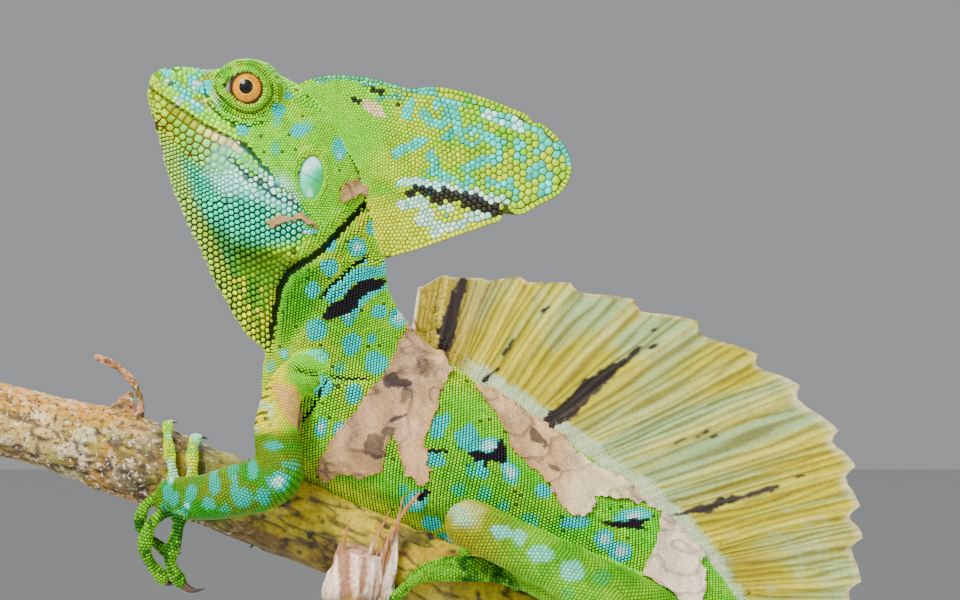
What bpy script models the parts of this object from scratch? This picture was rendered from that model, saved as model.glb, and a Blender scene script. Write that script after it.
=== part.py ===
"""A green basilisk, life size, gripping a crooked branch on a display stand.

The lizard faces -X with its left side towards -Y, and +Z is up. Sizes are in millimetres in a
modelling frame around the lizard, and mesh_object() and ellipsoid() move every point so that the
origin is the middle of the stand's underside, in metres.
"""

import math

import bmesh
import bpy
import numpy as np

MM = 0.001
GAP = 0.3
HALF_GAP = GAP / 2
FLOOR_Z = -300.0
STAND_X = 22.0
ORIGIN = np.array([STAND_X, 0.0, FLOOR_Z])

STAND_SIZE = (236.0, 132.0, 16.0)
STAND_BEVEL = 3.0
ROD_RADIUS = 4.0
ROD_FOOT_RADIUS = 10.0
ROD_FOOT_HEIGHT = 3.5
ROD_FOOT_BEVEL = 0.8
ROD_FRONT_X = -6.0
ROD_REAR_X = 62.0

BODY_SIDES = 18
HEAD_STEP = 5.0
TRUNK_STEP = 9.0
TAIL_SIDES = 9
LIMB_SIDES = 10
DIGIT_SIDES = 5
CLAW_SIDES = 4
SECTION_SQUARENESS = 0.88

# Upright sections of head, neck and trunk: top (x, z), bottom (x, z), then the half widths
# near the bottom, at mid height and near the top.
SECTIONS = {
    "snout_tip": (-89.5, 58.2, -89.8, 54.6, 0.9, 1.3, 1.1),
    "snout_front": (-88.6, 60.6, -89.3, 52.9, 2.4, 3.4, 3.0),
    "nostril": (-84.6, 62.4, -88.3, 48.6, 3.4, 5.3, 4.4),
    "muzzle": (-80.6, 63.0, -87.2, 44.6, 3.8, 6.4, 5.2),
    "muzzle_rear": (-73.4, 62.2, -85.1, 36.5, 4.2, 7.8, 6.6),
    "eye_front": (-68.0, 62.4, -82.4, 28.4, 4.6, 9.2, 8.4),
    "eye": (-61.6, 62.4, -79.1, 20.2, 5.0, 10.8, 10.0),
    "eye_rear": (-53.2, 60.2, -75.6, 12.4, 5.4, 12.6, 11.2),
    "cheek": (-43.7, 54.6, -71.8, 4.9, 6.0, 14.2, 11.0),
    "ear": (-35.1, 43.4, -67.5, -3.2, 6.4, 14.4, 9.4),
    "jowl_rear": (-29.2, 28.4, -63.2, -9.5, 6.8, 12.6, 7.6),
    "throat_fold": (-25.7, 13.0, -58.2, -14.4, 6.6, 9.6, 6.4),
    "neck": (-24.4, 2.7, -58.8, -19.6, 8.2, 10.4, 6.4),
    "shoulder_front": (-18.4, -7.6, -58.9, -27.0, 9.0, 11.6, 7.0),
    "shoulder": (-10.5, -14.3, -56.2, -37.8, 10.0, 14.0, 8.0),
    "chest": (-0.8, -21.5, -47.2, -48.6, 11.5, 16.0, 9.0),
    "ribs": (9.7, -27.8, -33.8, -56.2, 12.5, 17.5, 9.4),
    "belly_front": (21.6, -36.3, -17.6, -62.8, 13.5, 18.0, 9.4),
    "belly": (32.4, -43.8, -1.4, -69.8, 13.5, 17.5, 9.4),
    "belly_rear": (43.2, -51.8, 14.9, -77.8, 13.0, 16.5, 9.0),
    "loin": (54.0, -61.4, 30.6, -86.0, 12.0, 15.0, 8.5),
    "hip": (63.4, -72.1, 44.6, -94.2, 11.0, 13.0, 8.0),
    "vent": (72.4, -84.6, 58.0, -101.4, 9.0, 10.2, 7.0),
}
FRACTIONS = (0.15, 0.5, 0.85)
NECK_FROM = "throat_fold"
TORSO_FROM = "shoulder_front"

# Swellings of the head's and neck's surface: centre (x, y to either side, z), spread, height.
SWELLINGS = (
    ((-62.0, 8.5, 60.0), (9.5, 5.0, 5.5), 3.8),
    ((-73.5, 5.5, 62.0), (6.5, 2.6, 2.6), 1.1),
    ((-84.0, 3.9, 61.6), (3.0, 2.6, 2.4), 1.6),
    ((-50.0, 14.5, 30.0), (11.0, 8.0, 15.0), 1.3),
    ((-50.0, 9.0, 50.0), (5.0, 5.0, 5.0), -1.2),
    ((-79.0, 6.0, 46.0), (5.0, 5.0, 7.0), 0.7),
)
EYE = (-62.9, 7.8, 56.4)
EYE_RADIUS = 7.0
EYELID = (-62.6, 7.0, 56.2)
EYELID_RADII = (10.2, 6.6, 9.2)
LID_RADIUS = 5.5
LID_THICKNESS = 0.8
LID_Y = 12.7
NOSTRIL = (-83.2, 5.4, 63.0)
NOSTRIL_RADII = (1.5, 1.0, 0.8)
MOUTH_LINE = ((-85.8, 55.6), (-80.7, 51.9), (-77.2, 49.6), (-72.6, 46.4), (-67.2, 43.6), (-62.6, 39.8))
MOUTH_TIP = (-89.9, 57.2)
MOUTH_RADIUS = 0.5
MOUTH_RINGS = 17
EAR = (-45.4, 33.8)
EAR_RADII = (3.6, 2.4, 6.6)
EAR_DEPTH = 0.8

# Outline of the two lobes of the head crest, and the skull line that they stand on.
CREST_ROOT = ((-49.8, 55.0), (-44.0, 50.5), (-38.6, 43.5), (-33.4, 35.0), (-30.5, 24.0), (-29.0, 12.0))
CREST_FRONT_EDGE = (
    (-49.6, 58.0), (-46.0, 59.6), (-41.5, 60.6), (-36.0, 60.7), (-29.0, 59.8), (-18.4, 57.0),
)
CREST_REAR_EDGE = (
    (-18.1, 56.9), (-11.0, 57.5), (-2.0, 55.6), (8.6, 51.8), (17.0, 47.6), (22.6, 42.0), (24.8, 35.8),
    (22.6, 29.8), (16.0, 25.6), (6.5, 21.8), (-6.0, 17.4), (-17.0, 13.6), (-25.0, 11.4),
)
CREST_FRONT_SHARE = 0.36
CREST_ROOT_HALF = 2.6
CREST_EDGE_HALF = 0.45

# The rays of the back sail: where each stands on the back and where its tip is, as x, z, x, z.
SAIL_RAYS = (
    (-18.4, -8.1, -16.7, 3.8), (-12.7, -13.2, -8.9, 7.0), (-7.0, -17.0, 1.1, 6.3),
    (-2.4, -20.3, 11.3, 6.5), (4.3, -24.3, 24.8, 4.6), (13.0, -30.0, 42.1, 0.3),
    (18.8, -34.2, 59.4, -5.7), (27.0, -39.7, 75.3, -14.6), (33.2, -44.6, 86.7, -23.2),
    (44.0, -52.1, 97.2, -35.1), (51.3, -58.9, 101.8, -44.8),
    (58.7, -66.3, 102.9, -55.6), (62.2, -71.3, 103.7, -64.2), (65.6, -78.0, 103.1, -76.1),
    (69.4, -84.2, 101.3, -86.4), (72.4, -88.6, 96.7, -95.0), (74.8, -92.6, 88.4, -101.4),
)
SAIL_SUNK = 4.0
SAIL_NOTCHES = (0.6, 0.9, 1.0, 1.4, 2.0, 3.0, 3.6, 3.4, 3.4, 3.4, 3.4, 3.2, 3.2, 3.0, 2.8, 2.4, 0.0)
NOTCH_AT, WEB_AT = 0.2, 0.6
SAIL_PLEAT = 0.5
RAY_HALF = 0.95
WEB_HALF = 0.42
TIP_HALF = 0.3

# The tail's middle line, and its half height and half width by share of its length.
TAIL_LINE = (
    (65.2, 0.0, -93.0), (80.5, 0.0, -106.8), (98.5, 0.6, -121.0), (120.0, 2.5, -137.0),
    (150.0, 7.0, -156.5), (190.0, 17.0, -181.0), (240.0, 30.0, -208.0), (300.0, 40.0, -236.0),
    (360.0, 38.0, -259.0),
    (420.0, 22.0, -275.5), (470.0, -2.0, -282.0), (503.0, -24.0, -282.0),
)
TAIL_SHARES = (0.0, 0.04, 0.10, 0.25, 0.50, 0.75, 1.0)
TAIL_HALF_HEIGHTS = (10.9, 9.3, 7.9, 5.7, 3.7, 2.3, 0.9)
TAIL_HALF_WIDTHS = (9.8, 8.3, 6.8, 5.0, 3.4, 2.2, 0.8)
TAIL_PARTS = 5
TAIL_RINGS_PER_PART = 7
FIN_START, FIN_END = 27.0, 206.0
FIN_RAYS = 12
FIN_HEIGHTS = (7.0, 15.0, 20.0, 19.0, 14.0, 8.0, 3.0)
FIN_LEAN = 0.35
FIN_NOTCH = 0.16
FIN_SUNK = 2.2

# The branch's middle line in x and z, its radius from end to end, and what grows on it.
BRANCH_LINE = (
    (-152.0, -26.0), (-129.6, -32.1), (-102.6, -39.6), (-74.8, -49.8), (-40.5, -62.8), (-18.6, -71.4),
    (-0.3, -79.4), (21.6, -91.0), (43.2, -105.4), (64.8, -121.6), (86.4, -138.2), (100.0, -148.4),
)
BRANCH_RADII = (9.2, 10.8)
BRANCH_GROWS_OVER = 0.45
BRANCH_SIDES = 12
BRANCH_RINGS = 28
BARK_RELIEF = 0.45
BARK_SEED = 7
KNOT_AT, KNOT_SWELL, KNOT_LENGTH = -96.0, 1.3, 12.0
TWIG_LINE = (
    (-95.0, -1.5, -36.0), (-91.5, -2.0, -30.0), (-92.5, -2.5, -24.0), (-97.0, -3.0, -18.5),
    (-103.0, -3.5, -15.4),
)
TWIG_RADII = (2.2, 1.1, 0.95, 0.9, 1.0)
STUB_LINE = ((-97.0, 0.0, -35.0), (-96.0, 0.0, -29.5), (-94.6, 0.0, -25.8))
STUB_RADII = (6.4, 3.6, 1.2)
# A broken shoot in front of the branch, split into splinters at its upper end.
BROKEN_LINE = ((-38.0, -6.0, -98.0), (-35.6, -10.6, -88.0), (-33.4, -13.0, -77.0), (-31.4, -14.2, -67.0))
BROKEN_RADII = (3.4, 6.8, 7.4, 6.2)
SPLINTER_TIP = 0.5
SPLINTERS = (
    ((-34.0, -15.0, -70.0), (-34.8, -16.6, -58.6), 3.2),
    ((-30.4, -16.0, -70.0), (-30.0, -17.2, -61.4), 3.4),
    ((-27.0, -15.0, -70.0), (-23.4, -15.4, -54.8), 3.4),
    ((-28.4, -12.6, -68.0), (-19.4, -14.6, -51.6), 2.2),
)

COLOURS = {
    "head": (0.33, 0.52, 0.16),
    "neck": (0.36, 0.56, 0.12),
    "torso": (0.26, 0.52, 0.08),
    "tail": (0.25, 0.46, 0.12),
    "limb": (0.27, 0.48, 0.13),
    "crest": (0.50, 0.58, 0.05),
    "sail": (0.52, 0.50, 0.26),
    "eye": (0.85, 0.42, 0.03),
    "bark": (0.35, 0.28, 0.14),
    "base": (0.20, 0.12, 0.07),
    "steel": (0.60, 0.60, 0.62),
}


def material(name, colour, roughness=0.55, metallic=0.0):
    made = bpy.data.materials.get(name)
    if made is None:
        made = bpy.data.materials.new(name)
        made.use_nodes = True
        shader = made.node_tree.nodes["Principled BSDF"]
        shader.inputs["Base Color"].default_value = (*colour, 1.0)
        shader.inputs["Roughness"].default_value = roughness
        shader.inputs["Metallic"].default_value = metallic
    return made


def mesh_object(name, points, faces):
    """An object from points in the modelling frame, in millimetres."""
    placed = (np.asarray(points, float) - ORIGIN) * MM
    mesh = bpy.data.meshes.new(name)
    mesh.from_pydata([tuple(p) for p in placed], [], [tuple(f) for f in faces])
    mesh.update()
    made = bpy.data.objects.new(name, mesh)
    bpy.context.scene.collection.objects.link(made)
    return made


def finish(obj, slot, roughness=0.55, metallic=0.0):
    obj.data.materials.clear()
    obj.data.materials.append(material(slot, COLOURS[slot], roughness, metallic))
    obj.data.shade_smooth()
    obj.data.set_sharp_from_angle(angle=math.radians(50))
    return obj


def curve_through(points, count, shares=None):
    """A smooth curve through the points, sampled evenly by length or at given shares of it."""
    known = np.asarray(points, float)
    steps = np.linalg.norm(np.diff(known, axis=0), axis=1)
    along = np.concatenate([[0.0], np.cumsum(steps)])
    at = along[-1] * (np.linspace(0.0, 1.0, count) if shares is None else np.asarray(shares, float))
    return hermite(along, known, at)


def hermite(along, known, at):
    """Values at given places of a smooth curve whose slope at each known point is its neighbours'."""
    known = np.asarray(known, float)
    slopes = np.gradient(known, along, axis=0)
    index = np.clip(np.searchsorted(along, at, side="right") - 1, 0, len(along) - 2)
    width = (along[index + 1] - along[index])[:, None]
    t = ((at - along[index]) / width[:, 0])[:, None]
    return (
        (2 * t**3 - 3 * t**2 + 1) * known[index]
        + (t**3 - 2 * t**2 + t) * width * slopes[index]
        + (3 * t**2 - 2 * t**3) * known[index + 1]
        + (t**3 - t**2) * width * slopes[index + 1]
    )


def loft(name, rings):
    """A closed mesh through rings of equally many points, with flat ends."""
    sides = len(rings[0])
    points = np.concatenate(rings)
    faces = []
    for r in range(len(rings) - 1):
        for k in range(sides):
            a, b = r * sides + k, r * sides + (k + 1) % sides
            faces.append((a, b, b + sides, a + sides))
    faces.append(tuple(range(sides))[::-1])
    faces.append(tuple(range(len(points) - sides, len(points))))
    made = mesh_object(name, points, faces)
    face_outwards(made)
    return made


def face_outwards(obj):
    shape = bmesh.new()
    shape.from_mesh(obj.data)
    bmesh.ops.triangulate(shape, faces=shape.faces)
    bmesh.ops.recalc_face_normals(shape, faces=shape.faces)
    if shape.calc_volume(signed=True) < 0:
        bmesh.ops.reverse_faces(shape, faces=shape.faces)
    shape.to_mesh(obj.data)
    shape.free()


def half_width(fraction, widths):
    """The half width at a height fraction, on the parabola through the three stated widths."""
    low, mid, high = FRACTIONS
    return (
        widths[0] * (fraction - mid) * (fraction - high) / ((low - mid) * (low - high))
        + widths[1] * (fraction - low) * (fraction - high) / ((mid - low) * (mid - high))
        + widths[2] * (fraction - low) * (fraction - mid) / ((high - low) * (high - mid))
    )


def swollen(ring, middle):
    """Pushes ring points away from the ring's middle where the head swells."""
    away = ring - middle
    away /= np.linalg.norm(away, axis=1)[:, None]
    push = np.zeros(len(ring))
    for centre, spread, height in SWELLINGS:
        offset = (ring * [1, 0, 1] + np.abs(ring) * [0, 1, 0] - centre) / spread
        push += height * np.exp(-(offset**2).sum(axis=1))
    return ring + away * push[:, None]


def section_ring(section, grow=0.0, sides=BODY_SIDES):
    top, bottom = np.array([section[0], 0, section[1]]), np.array([section[2], 0, section[3]])
    up = (top - bottom) / np.linalg.norm(top - bottom)
    top, bottom = top + up * grow, bottom - up * grow
    turn = np.linspace(0, 2 * math.pi, sides, endpoint=False)
    fraction = (1 - np.cos(turn)) / 2
    side = np.sign(np.sin(turn)) * np.abs(np.sin(turn)) ** SECTION_SQUARENESS
    wide = (half_width(fraction, section[4:7]) + grow) * side
    ring = bottom + fraction[:, None] * (top - bottom) + wide[:, None] * np.array([0, 1.0, 0])
    return swollen(ring, (top + bottom) / 2)


def body_sections(first, last, step):
    """Sections from one named one to another, about step apart."""
    names = list(SECTIONS)
    table = np.array(list(SECTIONS.values()))
    middle = (table[:, 0:2] + table[:, 2:4]) / 2
    along = np.concatenate([[0.0], np.cumsum(np.linalg.norm(np.diff(middle, axis=0), axis=1))])
    start, end = along[names.index(first)], along[names.index(last)]
    count = max(2, round((end - start) / step) + 1)
    return hermite(along, table, np.linspace(start, end, count))


def across(section):
    """The unit vector square to a section's plane, towards the tail."""
    up = np.array([section[0] - section[2], 0, section[1] - section[3]])
    return np.cross(up, (0, 1, 0)) / -np.linalg.norm(up)


def body_part(name, first, last, step, grow=0.0, trim=(True, True)):
    """A length of the body whose flat ends stand half a gap back from the sections they end at."""
    sections = body_sections(first, last, step)
    rings = [section_ring(s, grow) for s in sections]
    if trim[0]:
        rings[0] = rings[0] + across(sections[0]) * (HALF_GAP - grow)
    if trim[1]:
        rings[-1] = rings[-1] - across(sections[-1]) * (HALF_GAP - grow)
    return loft(name, rings)


def frames(path, up=(0, 0, 1)):
    """Two unit vectors square to the path at each point, carried along it from one near to up."""
    tangents = np.gradient(np.asarray(path, float), axis=0)
    tangents /= np.linalg.norm(tangents, axis=1)[:, None]
    upward = []
    last = np.asarray(up, float)
    for tangent in tangents:
        last = last - tangent * (last @ tangent)
        last = last / np.linalg.norm(last)
        upward.append(last)
    upward = np.array(upward)
    return upward, np.cross(tangents, upward)


def tube_rings(path, high, wide, sides, up=(0, 0, 1)):
    upward, sideways = frames(path, up)
    turn = np.linspace(0, 2 * math.pi, sides, endpoint=False)
    return [
        p + np.outer(np.cos(turn) * h, u) + np.outer(np.sin(turn) * w, s)
        for p, u, s, h, w in zip(path, upward, sideways, high, wide)
    ]


def limb(name, points, radii, grow=0.0, rings=6, sides=LIMB_SIDES, up=(0, 1, 0), flat=1.0):
    """A tapered limb with rounded ends, through the points, its radii spread evenly along it."""
    path = curve_through(points, rings)
    radius = curve_through(np.array(radii)[:, None], rings)[:, 0] + grow
    ends = np.gradient(path, axis=0)
    first, last = (ends[i] / np.linalg.norm(ends[i]) for i in (0, -1))
    dome = ((0.98, 0.22), (0.75, 0.66))
    head = [(path[0] - first * radius[0] * out, radius[0] * wide) for out, wide in dome]
    foot = [(path[-1] + last * radius[-1] * out, radius[-1] * wide) for out, wide in reversed(dome)]
    whole = [p for p, _ in head] + list(path) + [p for p, _ in foot]
    thick = [r for _, r in head] + list(radius) + [r for _, r in foot]
    upward, sideways = frames(path, up)
    upward = np.concatenate([upward[:1], upward[:1], upward, upward[-1:], upward[-1:]])
    sideways = np.concatenate([sideways[:1], sideways[:1], sideways, sideways[-1:], sideways[-1:]])
    turn = np.linspace(0, 2 * math.pi, sides, endpoint=False)
    circles = [
        p + r * (np.outer(np.cos(turn) * flat, u) + np.outer(np.sin(turn), s))
        for p, r, u, s in zip(whole, thick, upward, sideways)
    ]
    return loft(name, circles)


def ellipsoid(name, centre, radii, segments=16, rings=10):
    bpy.ops.mesh.primitive_uv_sphere_add(segments=segments, ring_count=rings)
    made = bpy.context.active_object
    made.name = name
    points = np.array([v.co for v in made.data.vertices]) * np.array(radii) + np.array(centre)
    placed = (points - ORIGIN) * MM
    for vertex, point in zip(made.data.vertices, placed):
        vertex.co = point
    return made


def apply_boolean(obj, operation, others, solver="MANIFOLD"):
    """Joins or cuts obj with closed mesh objects, which are then removed."""
    tools = bpy.data.collections.new("tools")
    bpy.context.scene.collection.children.link(tools)
    for other in others:
        for home in list(other.users_collection):
            home.objects.unlink(other)
        tools.objects.link(other)
    step = obj.modifiers.new("join", "BOOLEAN")
    step.operation = operation
    step.operand_type = "COLLECTION"
    step.collection = tools
    step.solver = solver
    bpy.context.view_layer.update()
    graph = bpy.context.evaluated_depsgraph_get()
    joined = bpy.data.meshes.new_from_object(obj.evaluated_get(graph))
    obj.modifiers.clear()
    obj.data = joined
    for other in list(tools.objects):
        bpy.data.objects.remove(other)
    bpy.data.collections.remove(tools)
    keep_largest(obj)
    return obj


def keep_largest(obj):
    """Drops every closed surface but the largest."""
    shape = bmesh.new()
    shape.from_mesh(obj.data)
    bmesh.ops.remove_doubles(shape, verts=shape.verts, dist=0.000002)
    bmesh.ops.triangulate(shape, faces=shape.faces)
    unseen = set(shape.faces)
    islands = []
    while unseen:
        stack = [unseen.pop()]
        island = []
        while stack:
            face = stack.pop()
            island.append(face)
            for edge in face.edges:
                for other in edge.link_faces:
                    if other in unseen:
                        unseen.remove(other)
                        stack.append(other)
        islands.append(island)
    islands.sort(key=lambda faces: -abs(enclosed(faces)))
    for island in islands[1:]:
        bmesh.ops.delete(shape, geom=island, context="FACES")
    bmesh.ops.delete(shape, geom=[v for v in shape.verts if not v.link_faces], context="VERTS")
    shape.to_mesh(obj.data)
    shape.free()


def enclosed(faces):
    return sum(f.verts[0].co.cross(f.verts[1].co).dot(f.verts[2].co) for f in faces) / 6


def join(obj, *others):
    return apply_boolean(obj, "UNION", others)


def cut(obj, *others):
    return apply_boolean(obj, "DIFFERENCE", others)


def vane(name, root, edge, rows, half_thickness, sway=None):
    """A thin plate between a root curve and an edge curve, split alike on both of its faces.

    half_thickness(column, share) gives half the plate's thickness, and sway(column, share) moves
    its middle sideways, where share runs from 0 at the root to 1 at the edge."""
    columns = len(root)
    shares = np.linspace(0, 1, rows)
    points = []
    for side in (-1, 1):
        for c in range(columns):
            for share in shares:
                p = root[c] + (edge[c] - root[c]) * share
                y = side * half_thickness(c, share) + (sway(c, share) if sway else 0.0)
                points.append((p[0], p[1] + y, p[2]))
    index = np.arange(2 * columns * rows).reshape(2, columns, rows)
    faces = []
    for c in range(columns - 1):
        for r in range(rows - 1):
            near = (index[0, c, r], index[0, c + 1, r], index[0, c + 1, r + 1], index[0, c, r + 1])
            far = (index[1, c, r], index[1, c + 1, r], index[1, c + 1, r + 1], index[1, c, r + 1])
            faces += [(near[0], near[1], near[2]), (near[0], near[2], near[3])]
            faces += [(far[2], far[1], far[0]), (far[3], far[2], far[0])]
    rim = [(c, 0) for c in range(columns)] + [(columns - 1, r) for r in range(1, rows)]
    rim += [(c, rows - 1) for c in range(columns - 2, -1, -1)] + [(0, r) for r in range(rows - 2, 0, -1)]
    for (c, r), (d, s) in zip(rim, rim[1:] + rim[:1]):
        near, ahead, behind, over = index[0, c, r], index[0, d, s], index[1, c, r], index[1, d, s]
        faces += [(ahead, near, behind), (ahead, behind, over)]
    made = mesh_object(name, points, faces)
    face_outwards(made)
    return made


def in_plane(points, y=0.0):
    return np.array([(x, y, z) for x, z in points])


def side_of_head(x, z):
    """How far the head's side stands from the middle plane at a place of the side view."""
    surface = np.concatenate([
        section_ring(s, sides=64)[1:32] for s in body_sections("snout_tip", "throat_fold", 1.0)
    ])
    near = np.argmin((surface[:, 0] - x) ** 2 + (surface[:, 2] - z) ** 2)
    return surface[near, 1]


def mouth_cutter():
    """A thin tube along the line of the mouth, from one corner round the snout to the other."""
    side = [(x, side_of_head(x, z), z) for x, z in MOUTH_LINE]
    tip = [(MOUTH_TIP[0], 0.0, MOUTH_TIP[1])]
    line = [(x, -y, z) for x, y, z in side[::-1]] + tip + side
    path = curve_through(line, MOUTH_RINGS)
    thick = [MOUTH_RADIUS] * MOUTH_RINGS
    return loft("mouth", tube_rings(path, thick, thick, 4))


def ring_round_eye(name, side):
    bpy.ops.mesh.primitive_torus_add(
        major_radius=LID_RADIUS * MM, minor_radius=LID_THICKNESS * MM, major_segments=14, minor_segments=4,
        rotation=(math.pi / 2, 0, 0), location=(np.array([EYE[0], side * LID_Y, EYE[2]]) - ORIGIN) * MM,
    )
    made = bpy.context.active_object
    made.name = name
    bpy.ops.object.transform_apply(location=True, rotation=True, scale=True)
    return made


def mirrored(point, side):
    return (point[0], side * point[1], point[2])


def head():
    made = body_part("head", "snout_tip", NECK_FROM, HEAD_STEP, trim=(False, True))
    lumps = []
    for side in (-1, 1):
        lumps.append(ellipsoid("eyelid", mirrored(EYELID, side), EYELID_RADII, 14, 8))
        lumps.append(ring_round_eye("lid", side))
    join(made, *lumps)
    cuts = [mouth_cutter()]
    for side in (-1, 1):
        cuts.append(ellipsoid("socket", mirrored(EYE, side), (EYE_RADIUS + GAP,) * 3, 14, 8))
        cuts.append(ellipsoid("nostril_hole", mirrored(NOSTRIL, side), NOSTRIL_RADII, 6, 4))
        ear_y = side_of_head(*EAR) + EAR_RADII[1] - EAR_DEPTH
        cuts.append(ellipsoid("ear_drum", (EAR[0], side * ear_y, EAR[1]), EAR_RADII, 10, 6))
    cut(made, *cuts)
    return finish(made, "head")


def eyes():
    for name, side in (("eye_left", -1), ("eye_right", 1)):
        made = ellipsoid(name, mirrored(EYE, side), (EYE_RADIUS,) * 3, 14, 8)
        finish(made, "eye", 0.1)


def head_grown():
    return body_part("head_grown", "snout_tip", NECK_FROM, HEAD_STEP, GAP)


def neck_grown():
    return body_part("neck_grown", NECK_FROM, TORSO_FROM, 4.0, GAP)


def torso_grown():
    return body_part("torso_grown", TORSO_FROM, "vent", TRUNK_STEP, GAP)


def crest_thickness(column, share):
    return CREST_ROOT_HALF + (CREST_EDGE_HALF - CREST_ROOT_HALF) * min(1.0, share * 1.15) ** 0.7


def crests():
    root = in_plane(CREST_ROOT)
    share = CREST_FRONT_SHARE
    front_root = curve_through(root, 0, np.linspace(0, share, 7))
    rear_root = curve_through(root, 0, np.linspace(share, 1, 16))
    front_edge = curve_through(in_plane(CREST_FRONT_EDGE), 7)
    rear_edge = curve_through(in_plane(CREST_REAR_EDGE), 16)
    along = (rear_edge[0] - rear_root[0]) / np.linalg.norm(rear_edge[0] - rear_root[0])
    aside = np.array([-along[2], 0, along[0]]) * HALF_GAP
    front_root[-1], front_edge[-1] = front_root[-1] + aside, front_edge[-1] + aside
    rear_root[0], rear_edge[0] = rear_root[0] - aside, rear_edge[0] - aside
    front = vane("crest_front", front_root, front_edge, 4, crest_thickness)
    cut(front, head_grown())
    finish(front, "crest")
    rear = vane("crest_rear", rear_root, rear_edge, 5, crest_thickness)
    cut(rear, head_grown(), neck_grown())
    finish(rear, "crest")


def rayed(name, roots, tips, notches, rows, pleat=0.0):
    """A finned plate of raised rays. Behind each tip the thin web drops back by that ray's notch,
    then runs out to the next tip."""
    root_line, edge_line = [], []
    for r in range(len(tips)):
        root_line.append(roots[r])
        edge_line.append(tips[r])
        if r == len(tips) - 1:
            break
        for at, share in ((NOTCH_AT, 1.0), (WEB_AT, 0.45)):
            low = roots[r] + (roots[r + 1] - roots[r]) * at
            high = tips[r] + (tips[r + 1] - tips[r]) * at
            inward = (low - high) / np.linalg.norm(low - high)
            root_line.append(low)
            edge_line.append(high + inward * notches[r] * share)

    def half(column, share):
        full = RAY_HALF if column % 3 == 0 else WEB_HALF
        return full + (TIP_HALF - full) * share**2

    def sway(column, share):
        return pleat * (1.0, -1.0, 0.3)[column % 3] * math.sin(math.pi * min(1.0, share * 0.9 + 0.1))

    return vane(name, root_line, edge_line, rows, half, sway)


def sail():
    rays = np.array(SAIL_RAYS)
    roots, tips = in_plane(rays[:, 0:2]), in_plane(rays[:, 2:4])
    outward = tips - roots
    outward /= np.linalg.norm(outward, axis=1)[:, None]
    made = rayed("sail", roots - outward * SAIL_SUNK, tips, SAIL_NOTCHES, 4, SAIL_PLEAT)
    cut(made, neck_grown(), torso_grown(), tail_grown())
    finish(made, "sail", 0.7)


def tail_path(count):
    return curve_through(TAIL_LINE, count)


def tail_sizes(shares):
    high = hermite(np.array(TAIL_SHARES), np.array(TAIL_HALF_HEIGHTS)[:, None], np.asarray(shares))[:, 0]
    wide = hermite(np.array(TAIL_SHARES), np.array(TAIL_HALF_WIDTHS)[:, None], np.asarray(shares))[:, 0]
    return high, wide


def tail_rings(grow=0.0):
    count = TAIL_PARTS * TAIL_RINGS_PER_PART + 1
    path = tail_path(count)
    high, wide = tail_sizes(np.linspace(0, 1, count))
    return path, tube_rings(path, high + grow, wide + grow, TAIL_SIDES)


def tail_grown():
    return loft("tail_grown", tail_rings(GAP)[1][: 3 * TAIL_RINGS_PER_PART])


def tail():
    path, rings = tail_rings()
    along = np.gradient(path, axis=0)
    along /= np.linalg.norm(along, axis=1)[:, None]
    for part in range(TAIL_PARTS):
        first, last = part * TAIL_RINGS_PER_PART, (part + 1) * TAIL_RINGS_PER_PART
        own = [r.copy() for r in rings[first : last + 1]]
        own[0] = own[0] + along[first] * HALF_GAP
        if part < TAIL_PARTS - 1:
            own[-1] = own[-1] - along[last] * HALF_GAP
        made = loft(f"tail_{part + 1}", own)
        if part == 0:
            cut(made, branch_body(GAP), torso_grown())
        finish(made, "tail")


def tail_fin():
    count = 81
    path = tail_path(count)
    lengths = np.concatenate([[0.0], np.cumsum(np.linalg.norm(np.diff(path, axis=0), axis=1))])
    upward, _ = frames(path)
    index = np.clip(np.searchsorted(lengths, np.linspace(FIN_START, FIN_END, FIN_RAYS)), 0, count - 1)
    tangents = path[index + 1] - path[index]
    tangents /= np.linalg.norm(tangents, axis=1)[:, None]
    high, _ = tail_sizes(lengths[index] / lengths[-1])
    heights = np.interp(np.linspace(0, 1, FIN_RAYS), np.linspace(0, 1, len(FIN_HEIGHTS)), FIN_HEIGHTS)
    root = path[index] + upward[index] * (high - FIN_SUNK)[:, None]
    edge = root + (upward[index] + tangents * FIN_LEAN) * (heights + FIN_SUNK)[:, None]
    made = rayed("tail_fin", root, edge, heights * FIN_NOTCH, 3)
    cut(made, tail_grown(), torso_grown())
    finish(made, "sail", 0.7)


def branch_points(shares):
    return curve_through(in_plane(BRANCH_LINE), 0, shares)


def branch_radius(x):
    """The branch's plain radius at a place along X, with the swelling at its knot."""
    start, end = BRANCH_LINE[0][0], BRANCH_LINE[-1][0]
    grown = min(1.0, (x - start) / (BRANCH_GROWS_OVER * (end - start)))
    plain = BRANCH_RADII[0] + (BRANCH_RADII[1] - BRANCH_RADII[0]) * grown
    return plain + KNOT_SWELL * math.exp(-(((x - KNOT_AT) / KNOT_LENGTH) ** 2))


def branch_body(grow=0.0):
    """The branch with its uneven bark, thicker by grow."""
    random = np.random.default_rng(BARK_SEED)
    path = branch_points(np.linspace(0, 1, BRANCH_RINGS))
    relief = random.uniform(-BARK_RELIEF, BARK_RELIEF, (BRANCH_RINGS, BRANCH_SIDES))
    upward, sideways = frames(path)
    turn = np.linspace(0, 2 * math.pi, BRANCH_SIDES, endpoint=False)
    rings = []
    for p, u, s, bumps in zip(path, upward, sideways, relief):
        radius = branch_radius(p[0]) + bumps + grow
        rings.append(p + np.outer(np.cos(turn) * radius, u) + np.outer(np.sin(turn) * radius, s))
    return loft("branch_body", rings)


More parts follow.
